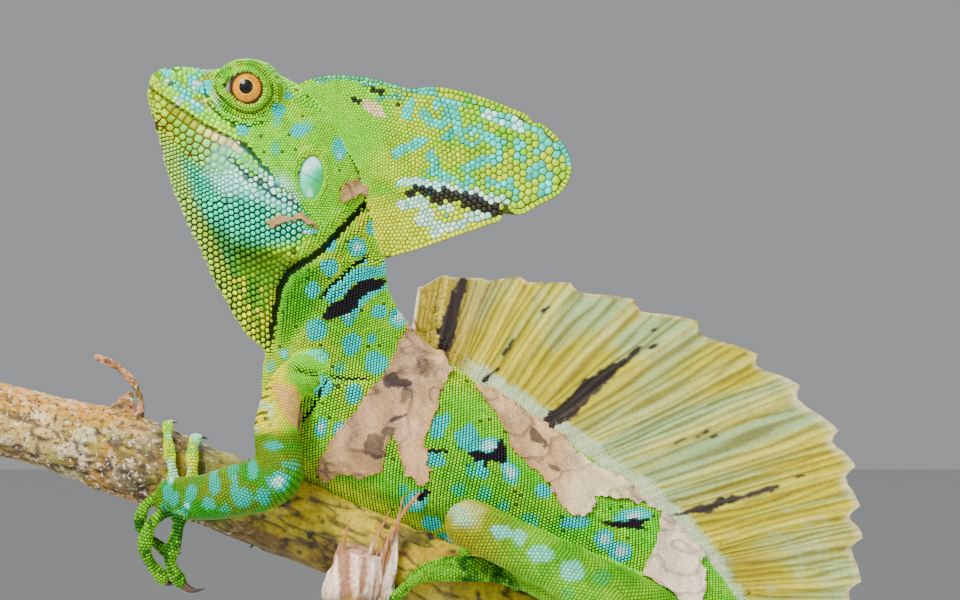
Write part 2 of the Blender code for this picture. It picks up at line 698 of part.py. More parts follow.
def around_branch(x, degrees, out=0.0):
    """A point off the branch's surface at a place along X. 0 degrees is its top, 90 its near side."""
    line = np.array(BRANCH_LINE)
    z = np.interp(x, line[:, 0], line[:, 1])
    slope = np.interp(x + 4, line[:, 0], line[:, 1]) - np.interp(x - 4, line[:, 0], line[:, 1])
    tangent = np.array([8.0, 0, slope])
    tangent /= np.linalg.norm(tangent)
    upward = np.array([-tangent[2], 0, tangent[0]])
    angle = math.radians(degrees)
    away = upward * math.cos(angle) + np.array([0, -1.0, 0]) * math.sin(angle)
    return np.array([x, 0, z]) + away * (branch_radius(x) + BARK_RELIEF + out)


def perch():
    made = branch_body()
    made.name = "perch_branch"
    twig = limb("twig", TWIG_LINE, TWIG_RADII, rings=9, sides=6, up=(0, 1, 0))
    stub = limb("stub", STUB_LINE, STUB_RADII, rings=4, sides=8, up=(0, 1, 0))
    broken = limb("broken", BROKEN_LINE, BROKEN_RADII, rings=6, sides=9, flat=0.6)
    splinters = [
        limb("splinter", (low, high), (radius, SPLINTER_TIP), rings=3, sides=5)
        for low, high, radius in SPLINTERS
    ]
    join(made, twig, stub, broken, *splinters)
    cut(made, torso_grown())
    finish(made, "bark", 0.85)


# Each limb: the points of its upper and lower length from the trunk out, and their radii.
ARM_LEFT = (
    ((-44.0, -7.0, -18.0), (-51.0, -12.4, -22.5), (-54.3, -17.6, -32.5), (-54.0, -21.4, -46.4)),
    ((-54.4, -21.6, -47.8), (-65.0, -20.6, -50.8), (-75.4, -17.8, -52.8)),
)
ARM_RIGHT = (
    ((-38.0, 8.0, -26.0), (-39.0, 15.0, -32.0), (-36.0, 21.0, -42.0), (-28.0, 24.0, -51.0)),
    ((-28.2, 24.2, -51.6), (-36.0, 22.4, -55.8), (-44.0, 17.8, -59.0)),
)
ARM_RADII = ((5.6, 5.2, 5.8, 6.8), (7.3, 7.2, 6.0))
LEG_LEFT = (
    ((53.0, -7.0, -88.0), (37.0, -17.0, -80.0), (16.0, -24.0, -68.6), (-2.4, -27.3, -58.8)),
    ((-3.0, -27.9, -59.4), (19.0, -31.8, -70.6), (43.0, -34.0, -88.5)),
)
LEG_RIGHT = (
    ((53.0, 7.0, -88.0), (40.0, 17.0, -82.0), (26.0, 25.0, -74.5), (12.0, 29.0, -69.0)),
    ((11.6, 29.4, -69.6), (31.0, 31.4, -82.0), (54.0, 32.0, -100.0)),
)
LEG_RADII = ((8.8, 8.6, 7.4, 6.2), (6.5, 6.4, 4.4))


def limbs():
    for side, arm, leg in (("left", ARM_LEFT, LEG_LEFT), ("right", ARM_RIGHT, LEG_RIGHT)):
        upper = limb(f"arm_{side}_upper", arm[0], ARM_RADII[0])
        cut(upper, torso_grown(), neck_grown())
        finish(upper, "limb")
        lower = limb(f"arm_{side}_lower", arm[1], ARM_RADII[1])
        cut(lower, limb("grown", arm[0], ARM_RADII[0], GAP), torso_grown(), branch_body(GAP))
        finish(lower, "limb")
        thigh = limb(f"leg_{side}_thigh", leg[0], LEG_RADII[0])
        cut(thigh, torso_grown(), tail_grown())
        finish(thigh, "limb")
        shin = limb(f"leg_{side}_shin", leg[1], LEG_RADII[1])
        cut(shin, limb("grown", leg[0], LEG_RADII[0], GAP), torso_grown())
        finish(shin, "limb")


DIGIT_RINGS = 6
JOINT_SWELL = 0.22
CLAW_TAPER = (0.78, 0.72, 0.42, 0.1)
CLAW_FLATNESS = 0.8
CLAW_SUNK = 0.25
CLAW_HOOK = 0.45


def digit(line, radii, claw_length, claw_bend):
    """A toe with swollen joints and a hooked claw, as two closed pieces that overlap."""
    path = curve_through(line, DIGIT_RINGS)
    shares = np.linspace(0, 1, DIGIT_RINGS)
    joints = JOINT_SWELL * np.cos(shares * 4 * math.pi)
    radius = radii[0] + (radii[1] - radii[0]) * shares + joints
    toe = loft("toe", closed_ends(path, radius, DIGIT_SIDES))
    ahead = path[-1] - path[-2]
    ahead /= np.linalg.norm(ahead)
    bend = np.asarray(claw_bend, float)
    bend = bend - ahead * (bend @ ahead)
    bend /= np.linalg.norm(bend)
    reach = np.linspace(-CLAW_SUNK, 1, len(CLAW_TAPER))
    claw_path = np.array([
        path[-1] + claw_length * (ahead * t + bend * CLAW_HOOK * max(0, t) ** 2) for t in reach
    ])
    claw_high = radii[1] * np.array(CLAW_TAPER)
    claw_wide = claw_high * CLAW_FLATNESS
    claw = loft("claw", tube_rings(claw_path, claw_high, claw_wide, CLAW_SIDES, up=bend + 0.01))
    return [toe, claw]


def closed_ends(path, radius, sides):
    """Rings of a round tube whose two ends close in quickly."""
    ahead = np.gradient(path, axis=0)
    ahead /= np.linalg.norm(ahead, axis=1)[:, None]
    first, last = path[0] - ahead[0] * radius[0] * 0.6, path[-1] + ahead[-1] * radius[-1] * 0.6
    whole = np.concatenate([[first], path, [last]])
    thick = np.concatenate([[radius[0] * 0.6], radius, [radius[-1] * 0.6]])
    reference = (0.13, 0.97, 0.21)
    return tube_rings(whole, thick, thick, sides, up=reference)


# Left hand: the wrist and knuckles, then each finger's line, radius, claw length and the way that
# its claw hooks.
HAND_LEFT = ((-76.0, -17.6, -52.8), (-79.4, -16.6, -52.8), (-82.6, -15.6, -53.0))
HAND_LEFT_RADII = (6.2, 6.0, 5.2)
HAND_FLATNESS = 0.62
FINGERS_LEFT = (
    (
        ((-77.0, -15.4, -49.5), (-76.9, -13.8, -44.6), (-77.0, -9.6, -39.4), (-77.0, -4.2, -37.8)),
        1.8, 4.8, (0.7, 0.5, -0.9),
    ),
    (
        ((-81.6, -15.0, -49.5), (-82.6, -13.4, -43.6), (-83.8, -8.8, -36.4), (-84.5, -3.4, -34.2)),
        1.6, 4.6, (0.7, 0.6, -0.9),
    ),
    (
        ((-83.6, -14.6, -51.6), (-89.2, -14.6, -54.6), (-91.0, -13.6, -59.8), (-84.4, -11.4, -67.2)),
        1.7, 5.0, (1.0, 0.2, 0.6),
    ),
    (
        ((-82.6, -16.2, -55.0), (-88.2, -17.2, -60.6), (-89.4, -16.4, -67.0), (-85.0, -14.4, -74.4)),
        1.9, 4.6, (1.0, 0.3, 0.3),
    ),
    (
        ((-79.8, -17.0, -56.8), (-81.2, -17.8, -63.6), (-82.6, -17.4, -70.2), (-81.6, -16.4, -75.2)),
        2.0, 7.0, (1.0, 0.1, 0.5),
    ),
)
FINGER_TAPER = 0.9
# The other feet: ankle to knuckles, then for each toe where it first lies on the branch (x and
# degrees), how many degrees it wraps on from there, and its radius.
TOE_TAPER = 0.72
TOE_CLAW = 4.4
TOE_STEP = 1.6
TOE_ARCH = 2.4
TOE_FLESH = 0.1
HIND_TOE, HIND_TOE_SET = 4, 0.75
FORE_TOE_SET = 0.15
TOE_SPREAD = 0.2
HAND_RIGHT = ((-44.5, 17.4, -59.4), (-48.5, 16.6, -60.2), (-52.0, 15.8, -60.6))
TOES_HAND_RIGHT = (
    (-51.0, -56.0, 30.0, 1.8), (-56.0, -54.0, 30.0, 1.7), (-62.0, -72.0, 24.0, 1.8),
    (-60.0, -98.0, -24.0, 1.8), (-54.0, -112.0, -30.0, 1.7),
)
FOOT_LEFT = ((43.4, -34.4, -89.4), (28.0, -29.6, -80.6), (13.0, -22.0, -73.8))
TOES_FOOT_LEFT = (
    (6.0, 58.0, -16.0, 2.0), (-5.0, 62.0, -18.0, 2.1), (-14.0, 80.0, 22.0, 2.2),
    (-17.0, 106.0, 40.0, 2.3), (18.0, 106.0, 24.0, 2.0),
)
FOOT_RIGHT = ((54.4, 32.2, -100.8), (43.0, 27.4, -97.0), (31.0, 20.6, -91.6))
TOES_FOOT_RIGHT = (
    (20.0, -58.0, 20.0, 2.0), (10.0, -62.0, 20.0, 2.1), (0.0, -78.0, -22.0, 2.2),
    (-5.0, -104.0, -34.0, 2.3), (30.0, -106.0, -24.0, 2.0),
)


def hand_left():
    palm = limb("hand_left", HAND_LEFT, HAND_LEFT_RADII, rings=4, sides=10, flat=HAND_FLATNESS)
    pieces = []
    for line, radius, claw, claw_bend in FINGERS_LEFT:
        pieces += digit(line, (radius, radius * FINGER_TAPER), claw, claw_bend)
    join(palm, *pieces)
    cut(palm, limb("grown", ARM_LEFT[1], ARM_RADII[1], GAP), branch_body(GAP))
    finish(palm, "limb")


def gripping_foot(name, knuckles, sole_radii, toes, *neighbours):
    """A foot whose toes reach down to the branch and wrap round it."""
    sole = limb(name, knuckles, sole_radii, rings=4, sides=8)
    ball = np.array(knuckles[-1])
    back = np.array(knuckles[-2])
    pieces = []
    for number, (x, degrees, wrap, radius) in enumerate(toes):
        back_by = HIND_TOE_SET if number == HIND_TOE else FORE_TOE_SET
        down_by = (number - 2) * TOE_SPREAD * sole_radii[-1]
        root = ball + (back - ball) * back_by - np.array([0, 0, down_by])
        touch = around_branch(x, degrees, radius + TOE_FLESH)
        middle = (root + touch) / 2 + np.array([0, 0, TOE_ARCH])
        wraps = [
            around_branch(x - TOE_STEP * k, degrees + wrap * k / 2, radius + TOE_FLESH)
            for k in (0, 1, 2)
        ]
        line = [root, middle, *wraps]
        inward = around_branch(x, degrees + wrap, -radius) - wraps[-1]
        pieces += digit(line, (radius, radius * TOE_TAPER), TOE_CLAW, inward)
    join(sole, *pieces)
    for points, radii in neighbours:
        cut(sole, limb("grown", points, radii, GAP))
    cut(sole, branch_body(GAP), torso_grown())
    finish(sole, "limb")


def feet():
    gripping_foot("hand_right", HAND_RIGHT, (5.2, 5.0, 4.4), TOES_HAND_RIGHT, (ARM_RIGHT[1], ARM_RADII[1]))
    gripping_foot("foot_left", FOOT_LEFT, (4.6, 4.4, 4.2), TOES_FOOT_LEFT, *zip(LEG_LEFT, LEG_RADII))
    gripping_foot("foot_right", FOOT_RIGHT, (4.6, 4.4, 4.2), TOES_FOOT_RIGHT, *zip(LEG_RIGHT, LEG_RADII))


def turned(name, profile, x, y=0.0, sides=20):
    """A solid turned about an upright axis, from (radius, z) pairs listed bottom to top."""
    turn = np.linspace(0, 2 * math.pi, sides, endpoint=False)
    rings = [
        np.stack([x + r * np.cos(turn), y + r * np.sin(turn), np.full(sides, z)], axis=1)
        for r, z in profile
    ]
    return loft(name, rings)


def stand():
    bpy.ops.mesh.primitive_cube_add(size=1.0, location=(0, 0, STAND_SIZE[2] / 2 * MM))
    base = bpy.context.active_object
    base.name = "stand_base"
    base.scale = [s * MM for s in STAND_SIZE]
    bpy.ops.object.transform_apply(location=True, rotation=False, scale=True)
    rounding = base.modifiers.new("rounded edges", "BEVEL")
    rounding.width = STAND_BEVEL * MM
    rounding.segments = 2
    finish(base, "base", 0.35)
    top = FLOOR_Z + STAND_SIZE[2] + GAP
    for name, x in (("stand_rod_front", ROD_FRONT_X), ("stand_rod_rear", ROD_REAR_X)):
        reach = np.interp(x, *np.array(BRANCH_LINE).T)
        foot = top + ROD_FOOT_HEIGHT
        profile = [
            (ROD_FOOT_RADIUS, top), (ROD_FOOT_RADIUS, foot - ROD_FOOT_BEVEL),
            (ROD_FOOT_RADIUS - ROD_FOOT_BEVEL, foot), (ROD_RADIUS, foot), (ROD_RADIUS, reach),
        ]
        rod = turned(name, profile, x)
        cut(rod, branch_body(GAP))
        finish(rod, "steel", 0.3, 1.0)


def torso():
    made = body_part("torso", TORSO_FROM, "vent", TRUNK_STEP)
    cut(made, branch_body(GAP))
    finish(made, "torso")


def neck():
    finish(body_part("neck", NECK_FROM, TORSO_FROM, 4.0), "neck")


def main():
    for obj in list(bpy.data.objects):
        bpy.data.objects.remove(obj)
    head()
    eyes()
    crests()
    neck()
    torso()
    sail()
    tail()
    tail_fin()
    limbs()
    hand_left()
    feet()
    perch()
    stand()


main()
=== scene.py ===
"""A green crested lizard, life size, gripping a crooked branch on a small display stand.

Shapes are worked out in millimetres in a modelling frame around the lizard, which faces -X with
its left side towards -Y. metres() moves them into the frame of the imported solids.
"""

import math

import bpy
import numpy as np
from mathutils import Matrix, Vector
from mathutils.bvhtree import BVHTree
from mathutils.geometry import delaunay_2d_cdt
from mathutils.kdtree import KDTree


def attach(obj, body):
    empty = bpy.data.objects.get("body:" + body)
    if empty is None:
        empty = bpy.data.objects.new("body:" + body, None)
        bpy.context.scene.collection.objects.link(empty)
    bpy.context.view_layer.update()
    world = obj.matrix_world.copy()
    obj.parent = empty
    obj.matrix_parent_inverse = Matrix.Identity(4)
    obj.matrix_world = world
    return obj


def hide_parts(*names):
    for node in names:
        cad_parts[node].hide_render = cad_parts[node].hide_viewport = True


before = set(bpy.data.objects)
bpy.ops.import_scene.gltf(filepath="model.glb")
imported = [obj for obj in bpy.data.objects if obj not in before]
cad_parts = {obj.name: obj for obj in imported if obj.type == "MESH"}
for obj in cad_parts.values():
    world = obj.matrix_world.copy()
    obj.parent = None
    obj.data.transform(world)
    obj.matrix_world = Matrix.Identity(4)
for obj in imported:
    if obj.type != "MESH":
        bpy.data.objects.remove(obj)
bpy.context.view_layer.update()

MM = 0.001
ORIGIN = np.array([22.0, 0.0, -300.0])
SIGHT = 0.27
SIGHT_X, SIGHT_Z = 480.0, 300.0

# Upright sections of head, neck and trunk: top (x, z), bottom (x, z), then the half widths
# near the bottom, at mid height and near the top.
SECTIONS = {
    "snout_tip": (-89.5, 58.2, -89.8, 54.6, 0.9, 1.3, 1.1),
    "snout_front": (-88.6, 60.6, -89.3, 52.9, 2.4, 3.4, 3.0),
    "nostril": (-84.6, 62.4, -88.3, 48.6, 3.4, 5.3, 4.4),
    "muzzle": (-80.6, 63.0, -87.2, 44.6, 3.8, 6.4, 5.2),
    "muzzle_rear": (-73.4, 62.2, -85.1, 36.5, 4.2, 7.8, 6.6),
    "eye_front": (-68.0, 62.4, -82.4, 28.4, 4.6, 9.2, 8.4),
    "eye": (-61.6, 62.4, -79.1, 20.2, 5.0, 10.8, 10.0),
    "eye_rear": (-53.2, 60.2, -75.6, 12.4, 5.4, 12.6, 11.2),
    "cheek": (-43.7, 54.6, -71.8, 4.9, 6.0, 14.2, 11.0),
    "ear": (-35.1, 43.4, -67.5, -3.2, 6.4, 14.4, 9.4),
    "jowl_rear": (-29.2, 28.4, -63.2, -9.5, 6.8, 12.6, 7.6),
    "throat_fold": (-25.7, 13.0, -58.2, -14.4, 6.6, 9.6, 6.4),
    "neck": (-24.4, 2.7, -58.8, -19.6, 8.2, 10.4, 6.4),
    "shoulder_front": (-18.4, -7.6, -58.9, -27.0, 9.0, 11.6, 7.0),
    "shoulder": (-10.5, -14.3, -56.2, -37.8, 10.0, 14.0, 8.0),
    "chest": (-0.8, -21.5, -47.2, -48.6, 11.5, 16.0, 9.0),
    "ribs": (9.7, -27.8, -33.8, -56.2, 12.5, 17.5, 9.4),
    "belly_front": (21.6, -36.3, -17.6, -62.8, 13.5, 18.0, 9.4),
    "belly": (32.4, -43.8, -1.4, -69.8, 13.5, 17.5, 9.4),
    "belly_rear": (43.2, -51.8, 14.9, -77.8, 13.0, 16.5, 9.0),
    "loin": (54.0, -61.4, 30.6, -86.0, 12.0, 15.0, 8.5),
    "hip": (63.4, -72.1, 44.6, -94.2, 11.0, 13.0, 8.0),
    "vent": (72.4, -84.6, 58.0, -101.4, 9.0, 10.2, 7.0),
}
FRACTIONS = (0.15, 0.5, 0.85)
SQUARENESS = 0.88
SWELLINGS = (
    ((-62.0, 8.5, 60.0), (9.5, 5.0, 5.5), 3.8),
    ((-73.5, 5.5, 62.0), (6.5, 2.6, 2.6), 1.1),
    ((-84.0, 3.9, 61.6), (3.0, 2.6, 2.4), 1.6),
    ((-50.0, 14.5, 30.0), (11.0, 8.0, 15.0), 1.3),
    ((-50.0, 9.0, 50.0), (5.0, 5.0, 5.0), -1.2),
    ((-79.0, 6.0, 46.0), (5.0, 5.0, 7.0), 0.7),
)
COAT_DEPTH = 0.28
BODY_STEP = 0.9
BODY_SIDES = 110

EYELID = (-62.6, 7.0, 56.2)
EYELID_RADII = (10.0, 6.5, 8.9)

# The tail's middle line, and its half height and half width by share of its length.
TAIL_LINE = (
    (65.2, 0.0, -93.0), (80.5, 0.0, -106.8), (98.5, 0.6, -121.0), (120.0, 2.5, -137.0),
    (150.0, 7.0, -156.5), (190.0, 17.0, -181.0), (240.0, 30.0, -208.0), (300.0, 40.0, -236.0),
    (360.0, 38.0, -259.0), (420.0, 22.0, -275.5), (470.0, -2.0, -282.0), (503.0, -24.0, -282.0),
)
TAIL_SHARES = (0.0, 0.04, 0.10, 0.25, 0.50, 0.75, 1.0)
TAIL_HALF_HEIGHTS = (10.9, 9.3, 7.9, 5.7, 3.7, 2.3, 0.95)
TAIL_HALF_WIDTHS = (9.8, 8.3, 6.8, 5.0, 3.4, 2.2, 0.9)

# The arms run on into the palms; each leg is a thigh, a shin and a long foot.
ARM_LEFT = (
    (-44.0, -7.0, -18.0), (-51.0, -12.4, -22.5), (-54.3, -17.6, -32.5), (-54.3, -21.4, -47.0),
    (-65.0, -20.6, -50.8), (-75.4, -17.8, -52.8), (-79.4, -16.6, -52.8), (-82.6, -15.6, -53.0),
)
ARM_RIGHT = (
    (-38.0, 8.0, -26.0), (-39.0, 15.0, -32.0), (-36.0, 21.0, -42.0), (-28.2, 24.2, -51.2),
    (-36.0, 22.4, -55.8), (-44.0, 17.8, -59.0), (-48.5, 16.6, -60.2), (-52.0, 15.8, -60.6),
)
ARM_LEFT_HIGH = (5.6, 5.2, 5.8, 7.1, 7.2, 5.2, 4.0, 3.4)
ARM_LEFT_WIDE = (5.6, 5.2, 5.8, 7.1, 7.2, 6.2, 6.2, 5.4)
ARM_RIGHT_RADII = (5.6, 5.2, 5.8, 7.1, 7.2, 6.0, 5.0, 4.4)
THIGH_LEFT = ((53.0, -7.0, -88.0), (37.0, -17.0, -80.0), (16.0, -24.0, -68.6), (-2.4, -27.3, -58.8))
SHIN_LEFT = ((-3.0, -27.9, -59.4), (19.0, -31.8, -70.6), (43.0, -34.0, -88.5))
SOLE_LEFT = ((43.4, -34.4, -89.4), (28.0, -29.6, -80.6), (13.0, -22.0, -73.8))
THIGH_RIGHT = ((53.0, 7.0, -88.0), (40.0, 17.0, -82.0), (26.0, 25.0, -74.5), (12.0, 29.0, -69.0))
SHIN_RIGHT = ((11.6, 29.4, -69.6), (31.0, 31.4, -82.0), (54.0, 32.0, -100.0))
SOLE_RIGHT = ((54.4, 32.2, -100.8), (43.0, 27.4, -97.0), (31.0, 20.6, -91.6))
THIGH_RADII, SHIN_RADII, SOLE_RADII = (8.8, 8.6, 7.4, 6.2), (6.5, 6.4, 4.4), (4.6, 4.4, 4.2)

# Left hand: each finger's line, radius, claw length and the way its claw hooks.
FINGERS_LEFT = (
    (((-77.0, -15.4, -49.5), (-76.9, -13.8, -44.6), (-77.0, -9.6, -39.4), (-76.4, -5.6, -37.4)),
     1.8, 5.2, (1.0, -0.3, -0.8)),
    (((-81.6, -15.0, -49.5), (-82.6, -13.4, -43.6), (-83.8, -8.8, -36.4), (-84.0, -5.0, -33.8)),
     1.6, 5.0, (1.0, -0.3, -0.8)),
    (((-83.6, -14.6, -51.6), (-89.2, -14.6, -54.6), (-91.0, -13.6, -59.8), (-84.4, -11.4, -67.2)),
     1.7, 5.0, (1.0, 0.2, 0.6)),
    (((-82.6, -16.2, -55.0), (-88.2, -17.2, -60.6), (-89.4, -16.4, -67.0), (-85.0, -14.4, -74.4)),
     1.9, 4.6, (1.0, 0.3, 0.3)),
    (((-79.8, -17.0, -56.8), (-81.2, -17.8, -63.6), (-82.6, -17.4, -70.2), (-80.2, -16.4, -75.0)),
     2.0, 8.0, (1.0, 0.1, 0.5)),
)
# Toes of the other feet: where each first lies on the branch (x and degrees), how many degrees
# it wraps on, and its radius.
TOES_HAND_RIGHT = (
    (-51.0, -56.0, 30.0, 1.8), (-56.0, -54.0, 30.0, 1.7), (-62.0, -72.0, 24.0, 1.8),
    (-60.0, -98.0, -24.0, 1.8), (-54.0, -112.0, -30.0, 1.7),
)
TOES_FOOT_LEFT = (
    (6.0, 58.0, -16.0, 2.0), (-5.0, 62.0, -18.0, 2.1), (-14.0, 80.0, 22.0, 2.2),
    (-17.0, 106.0, 40.0, 2.3), (18.0, 106.0, 24.0, 2.0),
)
TOES_FOOT_RIGHT = (
    (20.0, -58.0, 20.0, 2.0), (10.0, -62.0, 20.0, 2.1), (0.0, -78.0, -22.0, 2.2),
    (-5.0, -104.0, -34.0, 2.3), (30.0, -106.0, -24.0, 2.0),
)
TOE_TAPER, FINGER_TAPER = 0.72, 0.9
TOE_CLAW = 4.4

BRANCH_LINE = (
    (-152.0, -26.0), (-129.6, -32.1), (-102.6, -39.6), (-74.8, -49.8), (-40.5, -62.8), (-18.6, -71.4),
    (-0.3, -79.4), (21.6, -91.0), (43.2, -105.4), (64.8, -121.6), (86.4, -138.2), (100.0, -148.4),
)
BRANCH_RADII = (9.2, 10.8)
BRANCH_GROWS_OVER = 0.45
BARK_RELIEF = 0.45
KNOT_AT, KNOT_SWELL, KNOT_LENGTH = -96.0, 1.3, 12.0


def metres(points):
    return (np.asarray(points, float) - ORIGIN) * MM


def sighted(points):
    """Sighting coordinates of points from the left side: to the tail and down, 0.27 mm a step."""
    points = np.asarray(points, float)
    return np.stack([points[:, 0] / SIGHT + SIGHT_X, SIGHT_Z - points[:, 2] / SIGHT], axis=1)


def from_sight(pairs):
    """Sighted pairs as x and z in millimetres."""
    pairs = np.asarray(pairs, float)
    return np.stack([(pairs[:, 0] - SIGHT_X) * SIGHT, (SIGHT_Z - pairs[:, 1]) * SIGHT], axis=1)


def tone(red, green, blue):
    """A colour as the eye reads it, 0 to 255, made linear."""
    c = np.array([red, green, blue]) / 255.0
    return np.where(c <= 0.04045, c / 12.92, ((c + 0.055) / 1.055) ** 2.4)


def smooth(low, high, values):
    t = np.clip((np.asarray(values, float) - low) / (high - low), 0.0, 1.0)
    return t * t * (3.0 - 2.0 * t)


def mixed(a, b, share):
    share = np.asarray(share, float)
    return a + (b - a) * (share[..., None] if np.ndim(share) else share)


def grain(points, size, seed=0):
    """Smooth noise from -1 to 1 whose lumps are about size across."""
    q = np.atleast_2d(np.asarray(points, float)) / size + seed * 17.31
    if q.shape[1] == 2:
        q = np.concatenate([q, np.full((len(q), 1), 0.37 + seed)], axis=1)
    base = np.floor(q).astype(np.int64)
    part = q - base
    part = part * part * (3.0 - 2.0 * part)
    total = np.zeros(len(q))
    for dx in (0, 1):
        for dy in (0, 1):
            for dz in (0, 1):
                mark = (base[:, 0] + dx) * 73856093 ^ (base[:, 1]
                                                       + dy) * 19349663 ^ (base[:, 2] + dz) * 83492791
                mark = ((mark ^ (mark >> 13)) * 1274126177) & 0x7FFFFFFF
                mark = (mark ^ (mark >> 11)) & 0xFFFF
                weight = (
                    (part[:, 0] if dx else 1 - part[:, 0])
                    * (part[:, 1] if dy else 1 - part[:, 1])
                    * (part[:, 2] if dz else 1 - part[:, 2])
                )
                total += weight * (mark / 32767.5 - 1.0)
    return total


def rough(points, size, layers=3, seed=0):
    points = np.asarray(points, float)
    return sum(grain(points, size / 2**k, seed + 7 * k) / 1.9**k for k in range(layers))


def curve_through(points, count, shares=None):
    """A smooth curve through the points, sampled evenly by length or at given shares of it."""
    known = np.asarray(points, float)
    steps = np.linalg.norm(np.diff(known, axis=0), axis=1)
    along = np.concatenate([[0.0], np.cumsum(steps)])
    at = along[-1] * (np.linspace(0.0, 1.0, count) if shares is None else np.asarray(shares, float))
    return hermite(along, known, at)


def hermite(along, known, at):
    """Values at given places of a smooth curve whose slope at each known point is its neighbours'."""
    known = np.asarray(known, float)
    slopes = np.gradient(known, along, axis=0)
    index = np.clip(np.searchsorted(along, at, side="right") - 1, 0, len(along) - 2)
    width = (along[index + 1] - along[index])[:, None]
    t = ((at - along[index]) / width[:, 0])[:, None]
    return (
        (2 * t**3 - 3 * t**2 + 1) * known[index]
        + (t**3 - 2 * t**2 + t) * width * slopes[index]
        + (3 * t**2 - 2 * t**3) * known[index + 1]
        + (t**3 - t**2) * width * slopes[index + 1]
    )


def half_width(fraction, widths):
    low, mid, high = FRACTIONS
    return (
        widths[0] * (fraction - mid) * (fraction - high) / ((low - mid) * (low - high))
        + widths[1] * (fraction - low) * (fraction - high) / ((mid - low) * (mid - high))
        + widths[2] * (fraction - low) * (fraction - mid) / ((high - low) * (high - mid))
    )


def section_ring(section, sides, grow=0.0):
    top, bottom = np.array([section[0], 0, section[1]]), np.array([section[2], 0, section[3]])
    up = (top - bottom) / np.linalg.norm(top - bottom)
    top, bottom = top + up * grow, bottom - up * grow
    turn = np.linspace(0, 2 * math.pi, sides, endpoint=False)
    fraction = (1 - np.cos(turn)) / 2
    side = np.sign(np.sin(turn)) * np.abs(np.sin(turn)) ** SQUARENESS
    wide = (half_width(fraction, section[4:7]) + grow) * side
    ring = bottom + fraction[:, None] * (top - bottom) + wide[:, None] * np.array([0, 1.0, 0])
    away = ring - (top + bottom) / 2
    away /= np.linalg.norm(away, axis=1)[:, None]
    push = np.zeros(len(ring))
    for centre, spread, height in SWELLINGS:
        offset = (ring * [1, 0, 1] + np.abs(ring) * [0, 1, 0] - centre) / spread
        push += height * np.exp(-(offset**2).sum(axis=1))
    return ring + away * push[:, None]


def running_length(points):
    """How far along a line each of its points lies."""
    return np.concatenate([[0.0], np.cumsum(np.linalg.norm(np.diff(points, axis=0), axis=1))])


def body_sections(step):
    table = np.array(list(SECTIONS.values()))
    middle = (table[:, 0:2] + table[:, 2:4]) / 2
    along = running_length(middle)
    return hermite(along, table, np.linspace(0.0, along[-1], round(along[-1] / step) + 1))


def frames(path, up):
    """Two unit vectors square to the path at each point, carried along it from one near to up."""
    tangents = np.gradient(np.asarray(path, float), axis=0)
    tangents /= np.linalg.norm(tangents, axis=1)[:, None]
    upward, last = [], np.asarray(up, float)
    for tangent in tangents:
        last = last - tangent * (last @ tangent)
        last = last / np.linalg.norm(last)
        upward.append(last)
    upward = np.array(upward)
    return upward, np.cross(tangents, upward)


class Tube:
    """A tapered length of flesh or wood with rounded ends, unrolled as a length and a turn."""

    def __init__(self, points, high, wide=None, up=(0, 1, 0), step=0.6, round_ends=True, swell=None):
        known = np.asarray(points, float)
        length = np.linalg.norm(np.diff(known, axis=0), axis=1).sum()
        count = max(6, round(length / step))
        path = curve_through(known, count)
        radii = np.array([high, high if wide is None else wide], float).T
        radii = curve_through_radii(known, radii, count)
        if swell is not None:
            radii = radii + swell(np.linspace(0, 1, count))[:, None]
        upward, sideways = frames(path, up)
        along = running_length(path)
        if round_ends:
            path, radii, upward, sideways, along = self.rounded(path, radii, upward, sideways, along)
        self.path, self.radii, self.upward, self.sideways = path, radii, upward, sideways
        self.along = along - along[0]
        self.length = self.along[-1]

    @staticmethod
    def rounded(path, radii, upward, sideways, along):
        angles = np.radians([84, 72, 60, 48, 36, 24, 12])
        parts = []
        for end, way in ((0, -1), (-1, 1)):
            ahead = path[end] - path[end - way if end == -1 else 1]
            ahead = ahead / np.linalg.norm(ahead)
            reach = radii[end].mean()
            order = angles if way < 0 else angles[::-1]
            parts.append((
                path[end] + np.outer(np.sin(order) * reach, ahead),
                np.outer(np.cos(order), radii[end]),
                np.repeat(upward[end][None], len(order), axis=0),
                np.repeat(sideways[end][None], len(order), axis=0),
                along[end] + way * reach * order,
            ))
        whole = (path, radii, upward, sideways, along)
        return [np.concatenate([a, m, b]) for a, m, b in zip(parts[0], whole, parts[1])]

    def at(self, along, turn):
        """Points on the surface at lengths along it and turns round it from its up side."""
        index = [np.interp(along, self.along, np.arange(len(self.along)))]
        low = np.clip(np.floor(index[0]).astype(int), 0, len(self.along) - 2)
        part = (index[0] - low)[..., None]
        path = self.path[low] * (1 - part) + self.path[low + 1] * part
        radii = self.radii[low] * (1 - part) + self.radii[low + 1] * part
        up = self.upward[low] * (1 - part) + self.upward[low + 1] * part
        side = self.sideways[low] * (1 - part) + self.sideways[low + 1] * part
        return path + up * (np.cos(turn) * radii[..., 0])[...,
                                                          None] + side * (np.sin(turn)
                                                              * radii[..., 1])[..., None]

    def rings(self, sides, grow=0.0):
        turn = np.linspace(0, 2 * math.pi, sides, endpoint=False)
        return np.array([
            p + np.outer(np.cos(turn) * max(0.05, r[0] + grow), u)
            + np.outer(np.sin(turn) * max(0.05, r[1] + grow), s)
            for p, r, u, s in zip(self.path, self.radii, self.upward, self.sideways)
        ])


def curve_through_radii(points, radii, count):
    steps = np.linalg.norm(np.diff(points, axis=0), axis=1)
    along = np.concatenate([[0.0], np.cumsum(steps)])
    if len(radii) != len(points):
        along = np.linspace(0, along[-1], len(radii))
    return hermite(along, radii, np.linspace(0, along[-1], count))


